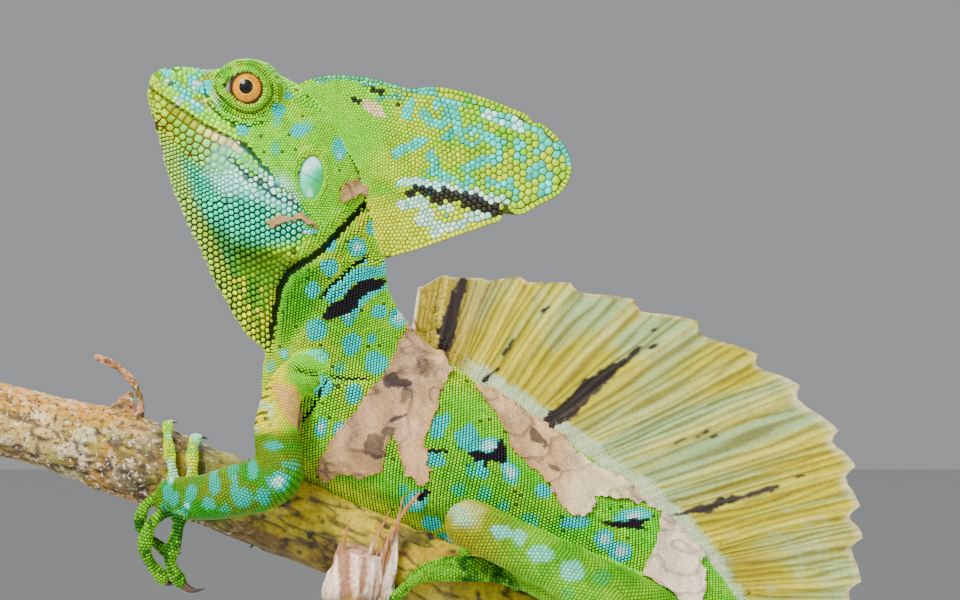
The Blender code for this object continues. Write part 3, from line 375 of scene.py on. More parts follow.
def branch_radius(x):
    start, end = BRANCH_LINE[0][0], BRANCH_LINE[-1][0]
    grown = np.minimum(1.0, (x - start) / (BRANCH_GROWS_OVER * (end - start)))
    plain = BRANCH_RADII[0] + (BRANCH_RADII[1] - BRANCH_RADII[0]) * grown
    return plain + KNOT_SWELL * np.exp(-(((x - KNOT_AT) / KNOT_LENGTH) ** 2))


def around_branch(x, degrees, out=0.0):
    """A point off the branch's surface at a place along X. 0 degrees is its top, 90 its near side."""
    line = np.array(BRANCH_LINE)
    z = np.interp(x, line[:, 0], line[:, 1])
    slope = np.interp(x + 4, line[:, 0], line[:, 1]) - np.interp(x - 4, line[:, 0], line[:, 1])
    tangent = np.array([8.0, 0, slope])
    tangent /= np.linalg.norm(tangent)
    upward = np.array([-tangent[2], 0, tangent[0]])
    angle = math.radians(degrees)
    away = upward * math.cos(angle) + np.array([0, -1.0, 0]) * math.sin(angle)
    return np.array([x, 0, z]) + away * (branch_radius(x) + BARK_RELIEF + out)


# Meshes from arrays.


def array_mesh(name, points, quads=None, tris=None, others=()):
    """An object from points in millimetres, with four-sided and three-sided faces as arrays."""
    quads = np.zeros((0, 4), int) if quads is None else np.asarray(quads)
    tris = np.zeros((0, 3), int) if tris is None else np.asarray(tris)
    corners = np.concatenate([quads.ravel(), tris.ravel(), *[np.asarray(o) for o in others]])
    starts = np.concatenate([
        np.arange(len(quads)) * 4,
        len(quads) * 4 + np.arange(len(tris)) * 3,
        len(quads) * 4 + len(tris) * 3 + np.cumsum([0] + [len(o) for o in others])[: len(others)],
    ])
    mesh = bpy.data.meshes.new(name)
    mesh.vertices.add(len(points))
    mesh.vertices.foreach_set("co", metres(points).ravel())
    mesh.loops.add(len(corners))
    mesh.loops.foreach_set("vertex_index", corners.astype(np.int32))
    mesh.polygons.add(len(starts))
    mesh.polygons.foreach_set("loop_start", starts.astype(np.int32))
    mesh.update(calc_edges=True)
    made = bpy.data.objects.new(name, mesh)
    bpy.context.scene.collection.objects.link(made)
    return made


def loft_parts(rings):
    """Points, four-sided faces and the two end faces of a closed tube through rings."""
    count, sides = rings.shape[:2]
    index = np.arange(count * sides).reshape(count, sides)
    ahead = np.roll(index, -1, axis=1)
    quads = np.stack([index[:-1], ahead[:-1], ahead[1:], index[1:]], axis=-1).reshape(-1, 4)
    return rings.reshape(-1, 3), quads, [index[0][::-1], index[-1]]


def gathered(name, lofts):
    """One mesh of several closed tubes, each given as its rings."""
    points, quads, ends, shift = [], [], [], 0
    for rings in lofts:
        p, q, caps = loft_parts(np.asarray(rings))
        points.append(p)
        quads.append(q + shift)
        ends += [cap + shift for cap in caps]
        shift += len(p)
    return array_mesh(name, np.concatenate(points), np.concatenate(quads), others=ends)


def with_modifier(obj, kind, **values):
    step = obj.modifiers.new(kind.lower(), kind)
    for key, value in values.items():
        setattr(step, key, value)
    bpy.context.view_layer.objects.active = obj
    bpy.ops.object.modifier_apply(modifier=step.name)
    return obj


def places(obj):
    flat = np.empty(len(obj.data.vertices) * 3)
    obj.data.vertices.foreach_get("co", flat)
    return flat.reshape(-1, 3) / MM + ORIGIN


def move_to(obj, points):
    obj.data.vertices.foreach_set("co", metres(points).ravel())
    obj.data.update()


def facings(obj):
    flat = np.empty(len(obj.data.vertices) * 3)
    obj.data.vertices.foreach_get("normal", flat)
    return flat.reshape(-1, 3)


def set_tint(obj, colours, vivid=1.55):
    """Stores a colour for each point, made a little livelier, which the materials read."""
    grey = (np.asarray(colours) @ (0.2126, 0.7152, 0.0722))[:, None]
    colours = grey + (colours - grey) * vivid
    layer = obj.data.color_attributes.new("tint", "FLOAT_COLOR", "POINT")
    rgba = np.concatenate([np.clip(colours, 0, 1), np.ones((len(colours), 1))], axis=1)
    layer.data.foreach_set("color", rgba.ravel())


def ball_rings(centre, radii, rings=24, sides=36):
    turn = np.linspace(0, 2 * math.pi, sides, endpoint=False)
    levels = np.linspace(-math.pi / 2 * 0.97, math.pi / 2 * 0.97, rings)
    return np.array([
        np.stack([
            centre[0] + radii[0] * math.cos(a) * np.cos(turn),
            np.full(sides, centre[1] + radii[1] * math.sin(a)),
            centre[2] + radii[2] * math.cos(a) * np.sin(turn),
        ], axis=1)
        for a in levels
    ])


def inside(pairs, polygon):
    """Whether each pair lies inside a polygon."""
    polygon = np.asarray(polygon, float)
    x, y = pairs[:, 0], pairs[:, 1]
    found = np.zeros(len(pairs), bool)
    for (ax, ay), (bx, by) in zip(polygon, np.roll(polygon, -1, axis=0)):
        crosses = (ay > y) != (by > y)
        with np.errstate(divide="ignore", invalid="ignore"):
            found ^= crosses & (x < (bx - ax) * (y - ay) / (by - ay) + ax)
    return found


def from_line(pairs, line):
    """Distance of pairs from a line of points, the share of its length there, and which side."""
    line = np.asarray(line, float)
    steps = np.linalg.norm(np.diff(line, axis=0), axis=1)
    along = np.concatenate([[0.0], np.cumsum(steps)])
    best = np.full(len(pairs), 1e9)
    share = np.zeros(len(pairs))
    side = np.zeros(len(pairs))
    for k in range(len(steps)):
        step = line[k + 1] - line[k]
        off = pairs - line[k]
        t = np.clip((off @ step) / (step @ step), 0, 1)
        gap = off - t[:, None] * step
        distance = np.linalg.norm(gap, axis=1)
        nearer = distance < best
        best = np.where(nearer, distance, best)
        share = np.where(nearer, (along[k] + t * steps[k]) / along[-1], share)
        cross = step[0] * off[:, 1] - step[1] * off[:, 0]
        side = np.where(nearer, np.sign(cross), side)
    return best, share, side


def from_outline(pairs, polygon):
    """Distance outside a closed outline, less than nothing inside it."""
    closed = np.concatenate([polygon, polygon[:1]])
    distance, _, _ = from_line(pairs, closed)
    return np.where(inside(pairs, polygon), -distance, distance)


# The lizard's own lines, sighted from its left side.

EYE_OPENING = (
    (226, 87.5), (230, 83.3), (235, 79.6), (240, 77.0), (245, 75.6), (250, 75.8), (255, 77.4),
    (259.5, 80.6), (263, 85), (264.8, 90.5), (264, 96), (261, 101), (256, 104.6), (250, 105.4),
    (244, 103.6), (238, 99.6), (232, 94.6),
)
LID_FOLD = ((246, 91.5), (33.0, 28.5))
MOUTH = ((147.2, 84.5), (149, 87), (166, 100), (186, 112), (206, 126), (228, 137), (240, 142))
EAR_PLACE, EAR_SIZE, EAR_TURN = (312.2, 178.0), (12.6, 22.5), 4.0
NOSTRIL_PLACE = (176.5, 69.0)
# Creases of the skin: their line, depth and half width in millimetres.
CREASES = (
    (
        (
            (409, 181), (388, 189), (372, 198), (348, 224), (324, 250), (308, 262), (290, 274),
            (281, 288), (277, 304), (273, 330), (266, 356),
        ),
        1.5, 1.5,
    ),
    (((372, 254), (352, 268), (332, 286), (318, 304)), 0.8, 1.1),
    (((292, 366), (318, 374), (345, 378), (380, 378)), 0.6, 1.1),
    (((240, 142), (252, 152), (264, 166), (276, 178)), 0.8, 0.9),
    (((232, 158), (250, 178), (274, 196), (300, 206)), 0.45, 1.0),
    (((252, 172), (272, 186), (296, 196)), 0.35, 0.7), (((406, 292), (398, 308), (392, 322)), 0.5, 0.8),
    (
        ((214, 87), (219, 76), (230, 68), (244, 64.4), (259, 68), (270, 78), (277, 92), (275, 105)),
        0.45, 0.6,
    ),
    (((216, 90), (222, 104), (232, 114), (247, 119), (264, 117), (274, 107)), 0.4, 0.6),
    (((206, 92), (214, 108), (230, 122), (250, 127), (268, 124)), 0.3, 0.7),
    (((222, 96), (228, 106), (239, 113), (252, 114.5), (264, 110), (272, 101)), 0.5, 0.42),
    (((330, 376), (322, 392), (312, 410), (298, 424)), 0.7, 1.2),
)
HOLLOWS = (((271, 258), (30, 14), 1.5), ((300, 236), (16, 10), -0.7), ((352, 316), (46, 30), -0.9))


def flesh():
    """One closed skin over head, trunk, tail, limbs and digits."""
    body = np.array([section_ring(s, BODY_SIDES, -COAT_DEPTH) for s in body_sections(BODY_STEP)])
    lofts = [body, TAIL.rings(40, -COAT_DEPTH)]
    for side in (-1, 1):
        centre = (EYELID[0], side * EYELID[1], EYELID[2])
        lofts.append(ball_rings(centre, [r - COAT_DEPTH / 2 for r in EYELID_RADII]))
    for _, tube in LIMBS:
        lofts.append(tube.rings(30, -COAT_DEPTH))
    for tube, _ in DIGITS:
        lofts.append(tube.rings(16, -COAT_DEPTH * 0.4))
    skin = gathered("skin", lofts)
    with_modifier(skin, "REMESH", mode="VOXEL", voxel_size=SKIN_VOXEL * MM)
    with_modifier(skin, "SMOOTH", factor=0.5, iterations=3)
    sculpt(skin)
    return skin


SKIN_VOXEL = 0.89


def on_ear(flat):
    """Sighted places measured along and across the ear drum, its edge at 1."""
    turn = math.radians(EAR_TURN)
    off = flat - EAR_PLACE
    return (
        (off[:, 0] * math.cos(turn) + off[:, 1] * math.sin(turn)) / EAR_SIZE[0],
        (off[:, 1] * math.cos(turn) - off[:, 0] * math.sin(turn)) / EAR_SIZE[1],
    )


def sculpt(skin):
    """Presses in the eye openings, creases, hollows, ears and nostrils of both sides."""
    points = places(skin)
    normals = facings(skin)
    flat = sighted(points)
    push = np.zeros(len(points))
    trunk = (points[:, 0] > -95) & (points[:, 0] < 75) & (np.abs(points[:, 1]) < 18.5)
    sides = np.clip(np.abs(normals[:, 1]) * 1.6, 0, 1) * trunk
    for line, depth, width in CREASES:
        distance, share, _ = from_line(flat, line)
        fade = smooth(0.0, 0.12, share) * smooth(1.0, 0.85, share)
        near = (distance * SIGHT) / width
        push -= depth * np.exp(-(near**2)) * fade * sides
        push += depth * 0.45 * np.exp(-((near - 2.1) ** 2)) * fade * sides
    gape, share, _ = from_line(flat, MOUTH)
    push -= 0.75 * np.exp(-((gape * SIGHT / 0.42) ** 2)) * smooth(1.0, 0.93,
        share) * (points[:, 0] < -62)
    for (cx, cy), (rx, ry), depth in HOLLOWS:
        away = ((flat[:, 0] - cx) / rx) ** 2 + ((flat[:, 1] - cy) / ry) ** 2
        push -= depth * np.exp(-away * 1.4) * sides
    ex, ey = on_ear(flat)
    ear = np.sqrt(ex**2 + ey**2)
    push -= 1.0 * smooth(1.12, 0.85, ear) * sides
    push += 0.55 * np.exp(-(((ear - 1.22) / 0.16) ** 2)) * sides
    near_nostril = np.linalg.norm((flat - NOSTRIL_PLACE) / (5.5, 3.2), axis=1)
    push -= 0.9 * np.exp(-(near_nostril**2)) * (points[:, 0] < -78) * (np.abs(points[:, 1]) > 2)
    push += 0.12 * rough(points, 7.0, 2, 5)
    close = (np.linalg.norm(flat - LID_FOLD[0], axis=1) < 52) & (np.abs(points[:, 1]) > 5)
    gap = np.full(len(points), 99.0)
    gap[close] = from_outline(flat[close], EYE_OPENING) * SIGHT
    rim = np.exp(-(((gap - 0.75) / 0.55) ** 2)) * 0.55
    folds = np.where((gap > 1.6) & (gap < 5.2), 0.16 * np.cos((gap - 2.3) * 2 * math.pi / 1.25), 0.0)
    push += np.where(close, rim + folds, 0.0)
    moved = points + normals * push[:, None]
    pressed = smooth(0.35, -0.5, gap) * close
    moved[:, 1] = np.where(
        pressed > 0, moved[:, 1] - np.sign(points[:, 1]) * 3.6 * pressed, moved[:, 1]
    )
    move_to(skin, moved)


# The flank: head, neck and trunk laid out flat.


class Flank:
    """One side of head, neck and trunk laid out flat, close to how it looks from the side."""

    SIDES = 120

    def __init__(self):
        sections = body_sections(0.6)
        half = self.SIDES // 2
        self.grid = np.array([section_ring(s, self.SIDES) for s in sections])[:, : half + 1]
        steps = np.linalg.norm(np.diff(self.grid, axis=1), axis=2)
        arc = np.concatenate([np.zeros((len(steps), 1)), np.cumsum(steps, axis=1)], axis=1)
        up = self.grid[:, -1][:, [0, 2]] - self.grid[:, 0][:, [0, 2]]
        self.up = up / np.linalg.norm(up, axis=1)[:, None]
        self.middle = (sections[:, 0:2] + sections[:, 2:4]) / 2
        self.arc = arc - arc[:, half // 2 : half // 2 + 1]
        self.ahead = np.stack([self.up[:, 1], -self.up[:, 0]], axis=1)

    def locate(self, flat):
        """Where flat places lie: the place along, the place round, and whether they are on it."""
        found = [self.locate_some(flat[k : k + 15000]) for k in range(0, len(flat), 15000)]
        return [np.concatenate(f) for f in zip(*found)]

    def locate_some(self, flat):
        past = flat @ self.ahead.T - (self.middle * self.ahead).sum(axis=1)
        high = flat @ self.up.T - (self.middle * self.up).sum(axis=1)
        margin = 0.4
        fits = (past[:, :-1] >= 0) & (past[:, 1:] < 0)
        on = fits & (high[:, :-1] > self.arc[:-1, 0] - margin) & (high[:, :-1] < self.arc[:-1, -1]
            + margin)
        valid = on.any(axis=1)
        low = np.where(valid, on.argmax(axis=1), fits.argmax(axis=1))
        rows = np.arange(len(flat))
        a, b = past[rows, low], past[rows, low + 1]
        part = np.clip(a / np.maximum(1e-9, a - b), 0, 1)
        height = high[rows, low] * (1 - part) + high[rows, low + 1] * part
        table = self.arc[low] * (1 - part[:, None]) + self.arc[low + 1] * part[:, None]
        step = np.clip((table < height[:, None]).sum(axis=1) - 1, 0, table.shape[1] - 2)
        t0, t1 = table[rows, step], table[rows, step + 1]
        across = step + np.clip((height - t0) / np.maximum(1e-9, t1 - t0), 0, 1)
        ends = np.stack([table[:, 0], table[:, -1], height], axis=1)
        return low + part, across, valid, ends

    def surface(self, along, across):
        i = np.clip(along.astype(int), 0, len(self.grid) - 2)
        j = np.clip(across.astype(int), 0, self.grid.shape[1] - 2)
        s, t = (along - i)[..., None], (across - j)[..., None]
        g = self.grid
        return (
            g[i, j] * (1 - s) * (1 - t) + g[i + 1, j] * s * (1 - t)
            + g[i, j + 1] * (1 - s) * t + g[i + 1, j + 1] * s * t
        )

    def flat_box(self):
        flat = self.middle[:, None] + self.up[:, None] * self.arc[:, :, None]
        return flat.reshape(-1, 2).min(axis=0), flat.reshape(-1, 2).max(axis=0)


def hex_lattice(low, high, pitch, angle, stretch=1.0):
    """Places of a honeycomb over a box, its rows turned by an angle, then stretched sideways."""
    low, high = np.asarray(low, float), np.asarray(high, float)
    centre, reach = (low + high) / 2, np.linalg.norm(high - low) / 2 + pitch
    count = int(reach / pitch) + 2
    i, j = np.meshgrid(np.arange(-count, count + 1),
                       np.arange(-int(count * 1.16), int(count * 1.16) + 1))
    x = (i + 0.5 * (j % 2)) * pitch
    y = j * pitch * 0.866
    a = math.radians(angle)
    turned = np.stack([x * math.cos(a) - y * math.sin(a), x * math.sin(a) + y * math.cos(a)], axis=-1)
    spots = turned.reshape(-1, 2) * (stretch, 1 / stretch) + centre
    keep = ((spots >= low - pitch) & (spots <= high + pitch)).all(axis=1)
    return spots[keep]


# Where the scales differ: the area's outline as sighted, how far apart its scales stand, the
# angle of their rows, how irregular they are, and how high they stand.
SCALE_AREAS = (
    (
        "jaw",
        ((138, 92), (152, 96), (206, 134), (228, 148), (232, 176), (200, 168), (164, 132), (142, 116)),
        2.1, -32, 0.20, 0.34,
    ),
    (
        "jaw_rear", ((228, 146), (244, 144), (268, 166), (280, 186), (258, 196), (232, 176)), 1.6, -36,
        0.16, 0.34,
    ),
    (
        "crown",
        (
            (205, 20), (205, 76), (214, 78), (226, 66), (244, 60), (262, 62), (282, 86), (300, 96),
            (330, 100), (330, 20),
        ),
        1.15, -20, 0.28, 0.30,
    ),
    (
        "snout",
        (
            (130, 20), (205, 20), (205, 80), (214, 96), (224, 120), (206, 124), (186, 110), (150, 88),
            (130, 90),
        ),
        1.5, -30, 0.42, 0.28,
    ),
    (
        "throat_top",
        ((100, 110), (142, 112), (164, 132), (200, 168), (232, 178), (225, 205), (100, 205)), 1.25, -33,
        0.10, 0.34,
    ),
    (
        "throat",
        (
            (100, 205), (225, 205), (232, 176), (258, 196), (280, 186), (300, 204), (308, 240),
            (290, 270), (276, 290), (270, 356), (100, 372),
        ),
        1.72, -33, 0.06, 0.40,
    ),
    (
        "cheek",
        (
            (205, 76), (214, 78), (224, 120), (206, 124), (228, 137), (244, 144), (268, 166),
            (300, 204), (340, 236), (380, 180), (330, 100), (300, 96), (282, 86), (262, 62), (226, 66),
        ),
        0.84, -58, 0.10, 0.24,
    ),
    (
        "nape",
        (
            (330, 20), (330, 100), (380, 180), (340, 236), (300, 204), (308, 240), (290, 272),
            (420, 250), (520, 150),
        ),
        0.88, -46, 0.10, 0.27,
    ),
    (
        "neck", ((290, 270), (276, 290), (262, 372), (330, 384), (400, 380), (450, 250)), 0.84, -36,
        0.06, 0.28,
    ),
)
TRUNK_AREA = ("trunk", None, 0.93, -39, 0.05, 0.31)
LIP_ROWS = (
    (-0.85, 1.5, 0.26), (-2.15, 1.7, 0.28), (-3.5, 1.5, 0.26), (1.55, 2.1, 0.34), (4.1, 2.3, 0.36),
)


def lip_seeds():
    """Rows of lip scales along the mouth. Steps below the line are more than nothing."""
    line = from_sight(MOUTH[1:] + ((252, 153), (262, 164)))
    length = np.linalg.norm(np.diff(line, axis=0), axis=1).sum()
    seeds, heights = [], []
    for number, (off, pitch, height) in enumerate(LIP_ROWS):
        count = int((length - 1.0) / pitch)
        shares = (np.arange(count) + 0.5 * (number % 2) + 0.3) * pitch / length
        shares = shares[shares < (0.98 if off > 0 else 0.9)]
        path = curve_through(line, 0, shares)
        ahead = curve_through(line, 0,
                              np.minimum(1, shares + 0.01)) - curve_through(line, 0, shares - 0.01)
        ahead /= np.linalg.norm(ahead, axis=1)[:, None]
        down = np.stack([ahead[:, 1], -ahead[:, 0]], axis=1)
        narrow = 0.55 + 0.45 * smooth(0.0, 0.35, shares)[:, None]
        seeds.append(path + down * off * narrow)
        heights.append(np.full(len(path), height))
    return np.concatenate(seeds), np.concatenate(heights)


def flank_seeds(flank):
    """Where scales stand on the laid-out flank, how high they are and how far apart."""
    rng = np.random.default_rng(11)
    mouth = from_sight(MOUTH[1:])
    seeds, heights = lip_seeds()
    pitches = np.full(len(seeds), 1.9)
    low, high = flank.flat_box()
    for name, polygon, pitch, angle, loose, height in (*SCALE_AREAS, TRUNK_AREA):
        if polygon is not None:
            corners = from_sight(polygon)
            box = np.maximum(corners.min(axis=0), low), np.minimum(corners.max(axis=0), high)
        else:
            box = low, high
        spots = hex_lattice(*box, pitch, angle, 1.14 if name in ("neck", "trunk", "nape") else 1.0)
        if polygon is not None:
            spots = spots[inside(spots, corners)]
        else:
            rest = np.ones(len(spots), bool)
            for other in SCALE_AREAS:
                rest &= ~inside(spots, from_sight(other[1]))
            spots = spots[rest]
        bend = np.stack([grain(spots, 9.0, 3), grain(spots, 9.0, 4)], axis=1) * 0.22 * pitch
        spots = spots + bend + rng.normal(0, loose * pitch * 0.5, spots.shape)
        away, share, side = from_line(spots, mouth)
        lip = np.where(side < 0, 5.3, 4.1) * (0.55 + 0.45 * smooth(0.0, 0.35, share))
        spots = spots[~((away < lip) & (share < 0.995))]
        if len(seeds):
            tree = KDTree(len(seeds))
            for k, s in enumerate(seeds):
                tree.insert((*s, 0.0), k)
            tree.balance()
            far = np.array([tree.find((*s, 0.0))[2] for s in spots]) > 0.62 * pitch
            spots = spots[far]
        seeds = np.concatenate([seeds, spots])
        heights = np.concatenate([heights, np.full(len(spots), height)])
        pitches = np.concatenate([pitches, np.full(len(spots), pitch)])
    return seeds, heights, pitches


def off_the_mouth(corners, seeds):
    """Cell corners pushed back to their own side of the mouth's line."""
    line = from_sight(MOUTH)
    flat = corners.reshape(-1, 2)
    own = np.repeat(seeds, corners.shape[1], axis=0)
    close = np.linalg.norm(flat - (-75.0, 50.0), axis=1) < 26
    distance, share, side = from_line(flat[close], line)
    _, _, own_side = from_line(own[close], line)
    index = np.clip((share * (len(line) - 1)).astype(int), 0, len(line) - 2)
    ahead = line[index + 1] - line[index]
    ahead /= np.linalg.norm(ahead, axis=1)[:, None]
    across = np.stack([-ahead[:, 1], ahead[:, 0]], axis=1)
    short = MOUTH_GAP - distance * side * own_side
    moved = flat.copy()
    moved[close] += across * (own_side * np.clip(short, 0, 2) * (share < 0.97))[:, None]
    return moved.reshape(corners.shape)


MOUTH_GAP = 0.26


def cells(seeds):
    """The honeycomb cell round each seed: groups of (seed numbers, corners), by corner count."""
    result = delaunay_2d_cdt([Vector(s) for s in seeds], [], [], 0, 1e-7)
    points = np.array([tuple(v) for v in result[0]])
    origin = np.array([ids[0] if ids else -1 for ids in result[3]])
    tris = np.array(result[2])
    a, b, c = points[tris[:, 0]], points[tris[:, 1]], points[tris[:, 2]]
    d = 2 * (a[:, 0] * (b[:, 1] - c[:, 1]) + b[:, 0] * (c[:, 1] - a[:, 1]) + c[:, 0]
             * (a[:, 1] - b[:, 1]))
    d = np.where(np.abs(d) < 1e-12, 1e-12, d)
    sa, sb, sc = (a**2).sum(axis=1), (b**2).sum(axis=1), (c**2).sum(axis=1)
    centres = np.stack([
        (sa * (b[:, 1] - c[:, 1]) + sb * (c[:, 1] - a[:, 1]) + sc * (a[:, 1] - b[:, 1])) / d,
        (sa * (c[:, 0] - b[:, 0]) + sb * (a[:, 0] - c[:, 0]) + sc * (b[:, 0] - a[:, 0])) / d,
    ], axis=1)
    owner = tris.ravel()
    corner = centres[np.repeat(np.arange(len(tris)), 3)]
    off = corner - points[owner]
    order = np.lexsort((np.arctan2(off[:, 1], off[:, 0]), owner))
    owner, corner, off = owner[order], corner[order], off[order]
    counts = np.bincount(owner, minlength=len(points))
    starts = np.concatenate([[0], np.cumsum(counts)[:-1]])
    reach = np.zeros(len(points))
    np.maximum.at(reach, owner, np.linalg.norm(off, axis=1))
    groups = []
    for k in range(4, 10):
        chosen = np.nonzero((counts == k) & (origin >= 0))[0]
        if len(chosen) == 0:
            continue
        index = starts[chosen][:, None] + np.arange(k)
        groups.append((origin[chosen], corner[index], reach[chosen]))
    return groups


# The coat of scales.


GAP_SHADE = 0.22


class Coat:
    """Gathers scales, each a low dome of two rings and a middle, and makes them one mesh."""

    def __init__(self, name):
        self.name = name
        self.points, self.quads, self.tris, self.tints, self.maps = [], [], [], [], []
        self.roots, self.gaps = [], []
        self.count = 0
        self.triangles = 0
        self.band = (0.0, 1.0)

    def on_map(self, root):
        """A root's place within the band of the map that this length of skin has."""
        low, high = self.band
        return root * [0.99, (high - low) * 0.98] + [0.005, low + (high - low) * 0.01]

    def add(
        self, centre, corners, normal, height, tint, root, fill=0.9, sink=0.3, crown=0.66, lift=0.0,
        gap=None,
        rim=0.5,
    ):
        """Scales of equal corner counts: centres (n, 3), corners (n, k, 3), and so on."""
        n, k = corners.shape[:2]
        if n == 0:
            return
        height = np.broadcast_to(np.asarray(height, float), (n,))[:, None, None]
        lift = np.broadcast_to(np.asarray(lift, float), (n,))[:, None, None]
        fill = np.broadcast_to(np.asarray(fill, float), (n,))[:, None, None]
        up = normal[:, None, :]
        middle = centre[:, None, :]
        spread = corners - middle
        spread = spread - (spread * up).sum(axis=2, keepdims=True) * up * 0.5
        outer = middle + spread * fill + up * (lift - sink)
        inner = middle + spread * fill * crown + up * (height * 0.78 + lift)
        apex = middle + up * (height + lift)
        block = np.concatenate([outer, inner, apex], axis=1)
        size = 2 * k + 1
        first = self.count + np.arange(n)[:, None] * size
        ring = np.arange(k)
        ahead = (ring + 1) % k
        quads = np.stack([ring, ahead, ahead + k, ring + k], axis=1)
        tris = np.stack([ring + k, ahead + k, np.full(k, 2 * k)], axis=1)
        self.quads.append((first[:, :, None] + quads[None]).reshape(-1, 4))
        self.tris.append((first[:, :, None] + tris[None]).reshape(-1, 3))
        self.points.append(block.reshape(-1, 3))
        # The outer ring takes the rim colour, mostly darker than the scale, partly painted shade where the
        # dome falls to its gap; the top is a little lighter, a painted highlight.
        edge = tint * rim if np.isscalar(rim) else rim
        block = np.concatenate([
            np.repeat(edge[:, None], k, axis=1), np.repeat(tint[:, None], k, axis=1),
            tint[:, None] * 1.05,
        ], axis=1)
        self.tints.append(block.reshape(-1, 3))
        turn = 2 * math.pi * ring / k
        patch = np.concatenate([
            np.stack([np.cos(turn), np.sin(turn)], axis=1),
            np.stack([np.cos(turn), np.sin(turn)], axis=1) * crown, [[0.0, 0.0]],
        ]) * 0.0015
        self.maps.append((root[:, None, :] + patch[None]).reshape(-1, 2))
        self.roots.append(centre)
        self.gaps.append(tint * GAP_SHADE if gap is None else gap)
        self.count += n * size
        self.triangles += n * 3 * k

    def piece(self, look, slot, vivid=1.55):
        points = np.concatenate(self.points)
        quads, tris = np.concatenate(self.quads), np.concatenate(self.tris)
        obj = array_mesh(self.name, points, quads, tris)
        set_tint(obj, np.concatenate(self.tints), vivid)
        layer = obj.data.uv_layers.new(name="OFBake")
        corners = np.concatenate([quads.ravel(), tris.ravel()])
        layer.data.foreach_set("uv", np.concatenate(self.maps)[corners].ravel())
        obj.data.shade_smooth()
        return dressed(obj, look, slot)


def dressed(obj, look, slot, *nodes):
    obj.data.materials.clear()
    obj.data.materials.append(look)
    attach(obj, "root")
    if nodes:
        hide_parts(*nodes)
    return obj


class Ground:
    """The finished skin, asked for the nearest place on it."""

    def __init__(self, skin):
        points = places(skin)
        faces = [tuple(p.vertices) for p in skin.data.polygons]
        self.tree = BVHTree.FromPolygons([Vector(p) for p in points], faces)

    def nearest(self, points):
        found = [self.tree.find_nearest(Vector(p)) for p in points]
        return np.array([tuple(f[0]) for f in found]), np.array([tuple(f[1]) for f in found])

    def from_side(self, x, z, side):
        """Where lines level with Y first meet the skin from one side."""
        return self.cast([(a, side * 40.0, b) for a, b in zip(x, z)], (0.0, -side, 0.0))

    def cast(self, starts, way):
        way = Vector(way)
        count = len(starts)
        place, facing, hit = np.zeros((count, 3)), np.zeros((count, 3)), np.zeros(count, bool)
        for k, start in enumerate(starts):
            found = self.tree.ray_cast(Vector(start), way)
            if found[0] is not None:
                place[k], facing[k], hit[k] = found[0], found[1], True
        return place, facing, hit


# Colours and markings.

TURQUOISE, TURQUOISE_DEEP, ICE = tone(92, 204, 200), tone(40, 160, 150), tone(214, 242, 238)
BLACK, BROWN = tone(24, 20, 26), tone(92, 62, 34)
LIME, LEAF, GRASS = tone(184, 214, 0), tone(146, 204, 0), tone(94, 178, 14)
HEAD_GREEN, HEAD_LIME = tone(156, 214, 84), tone(190, 226, 76)
MINT, PALE_MINT, CREAM = tone(124, 214, 180), tone(206, 238, 226), tone(236, 224, 180)
YELLOW, OLIVE, BELLY = tone(222, 218, 14), tone(118, 118, 34), tone(186, 204, 120)
TAN, PINK, TAN_DARK = tone(184, 138, 86), tone(202, 156, 122), tone(54, 38, 34)

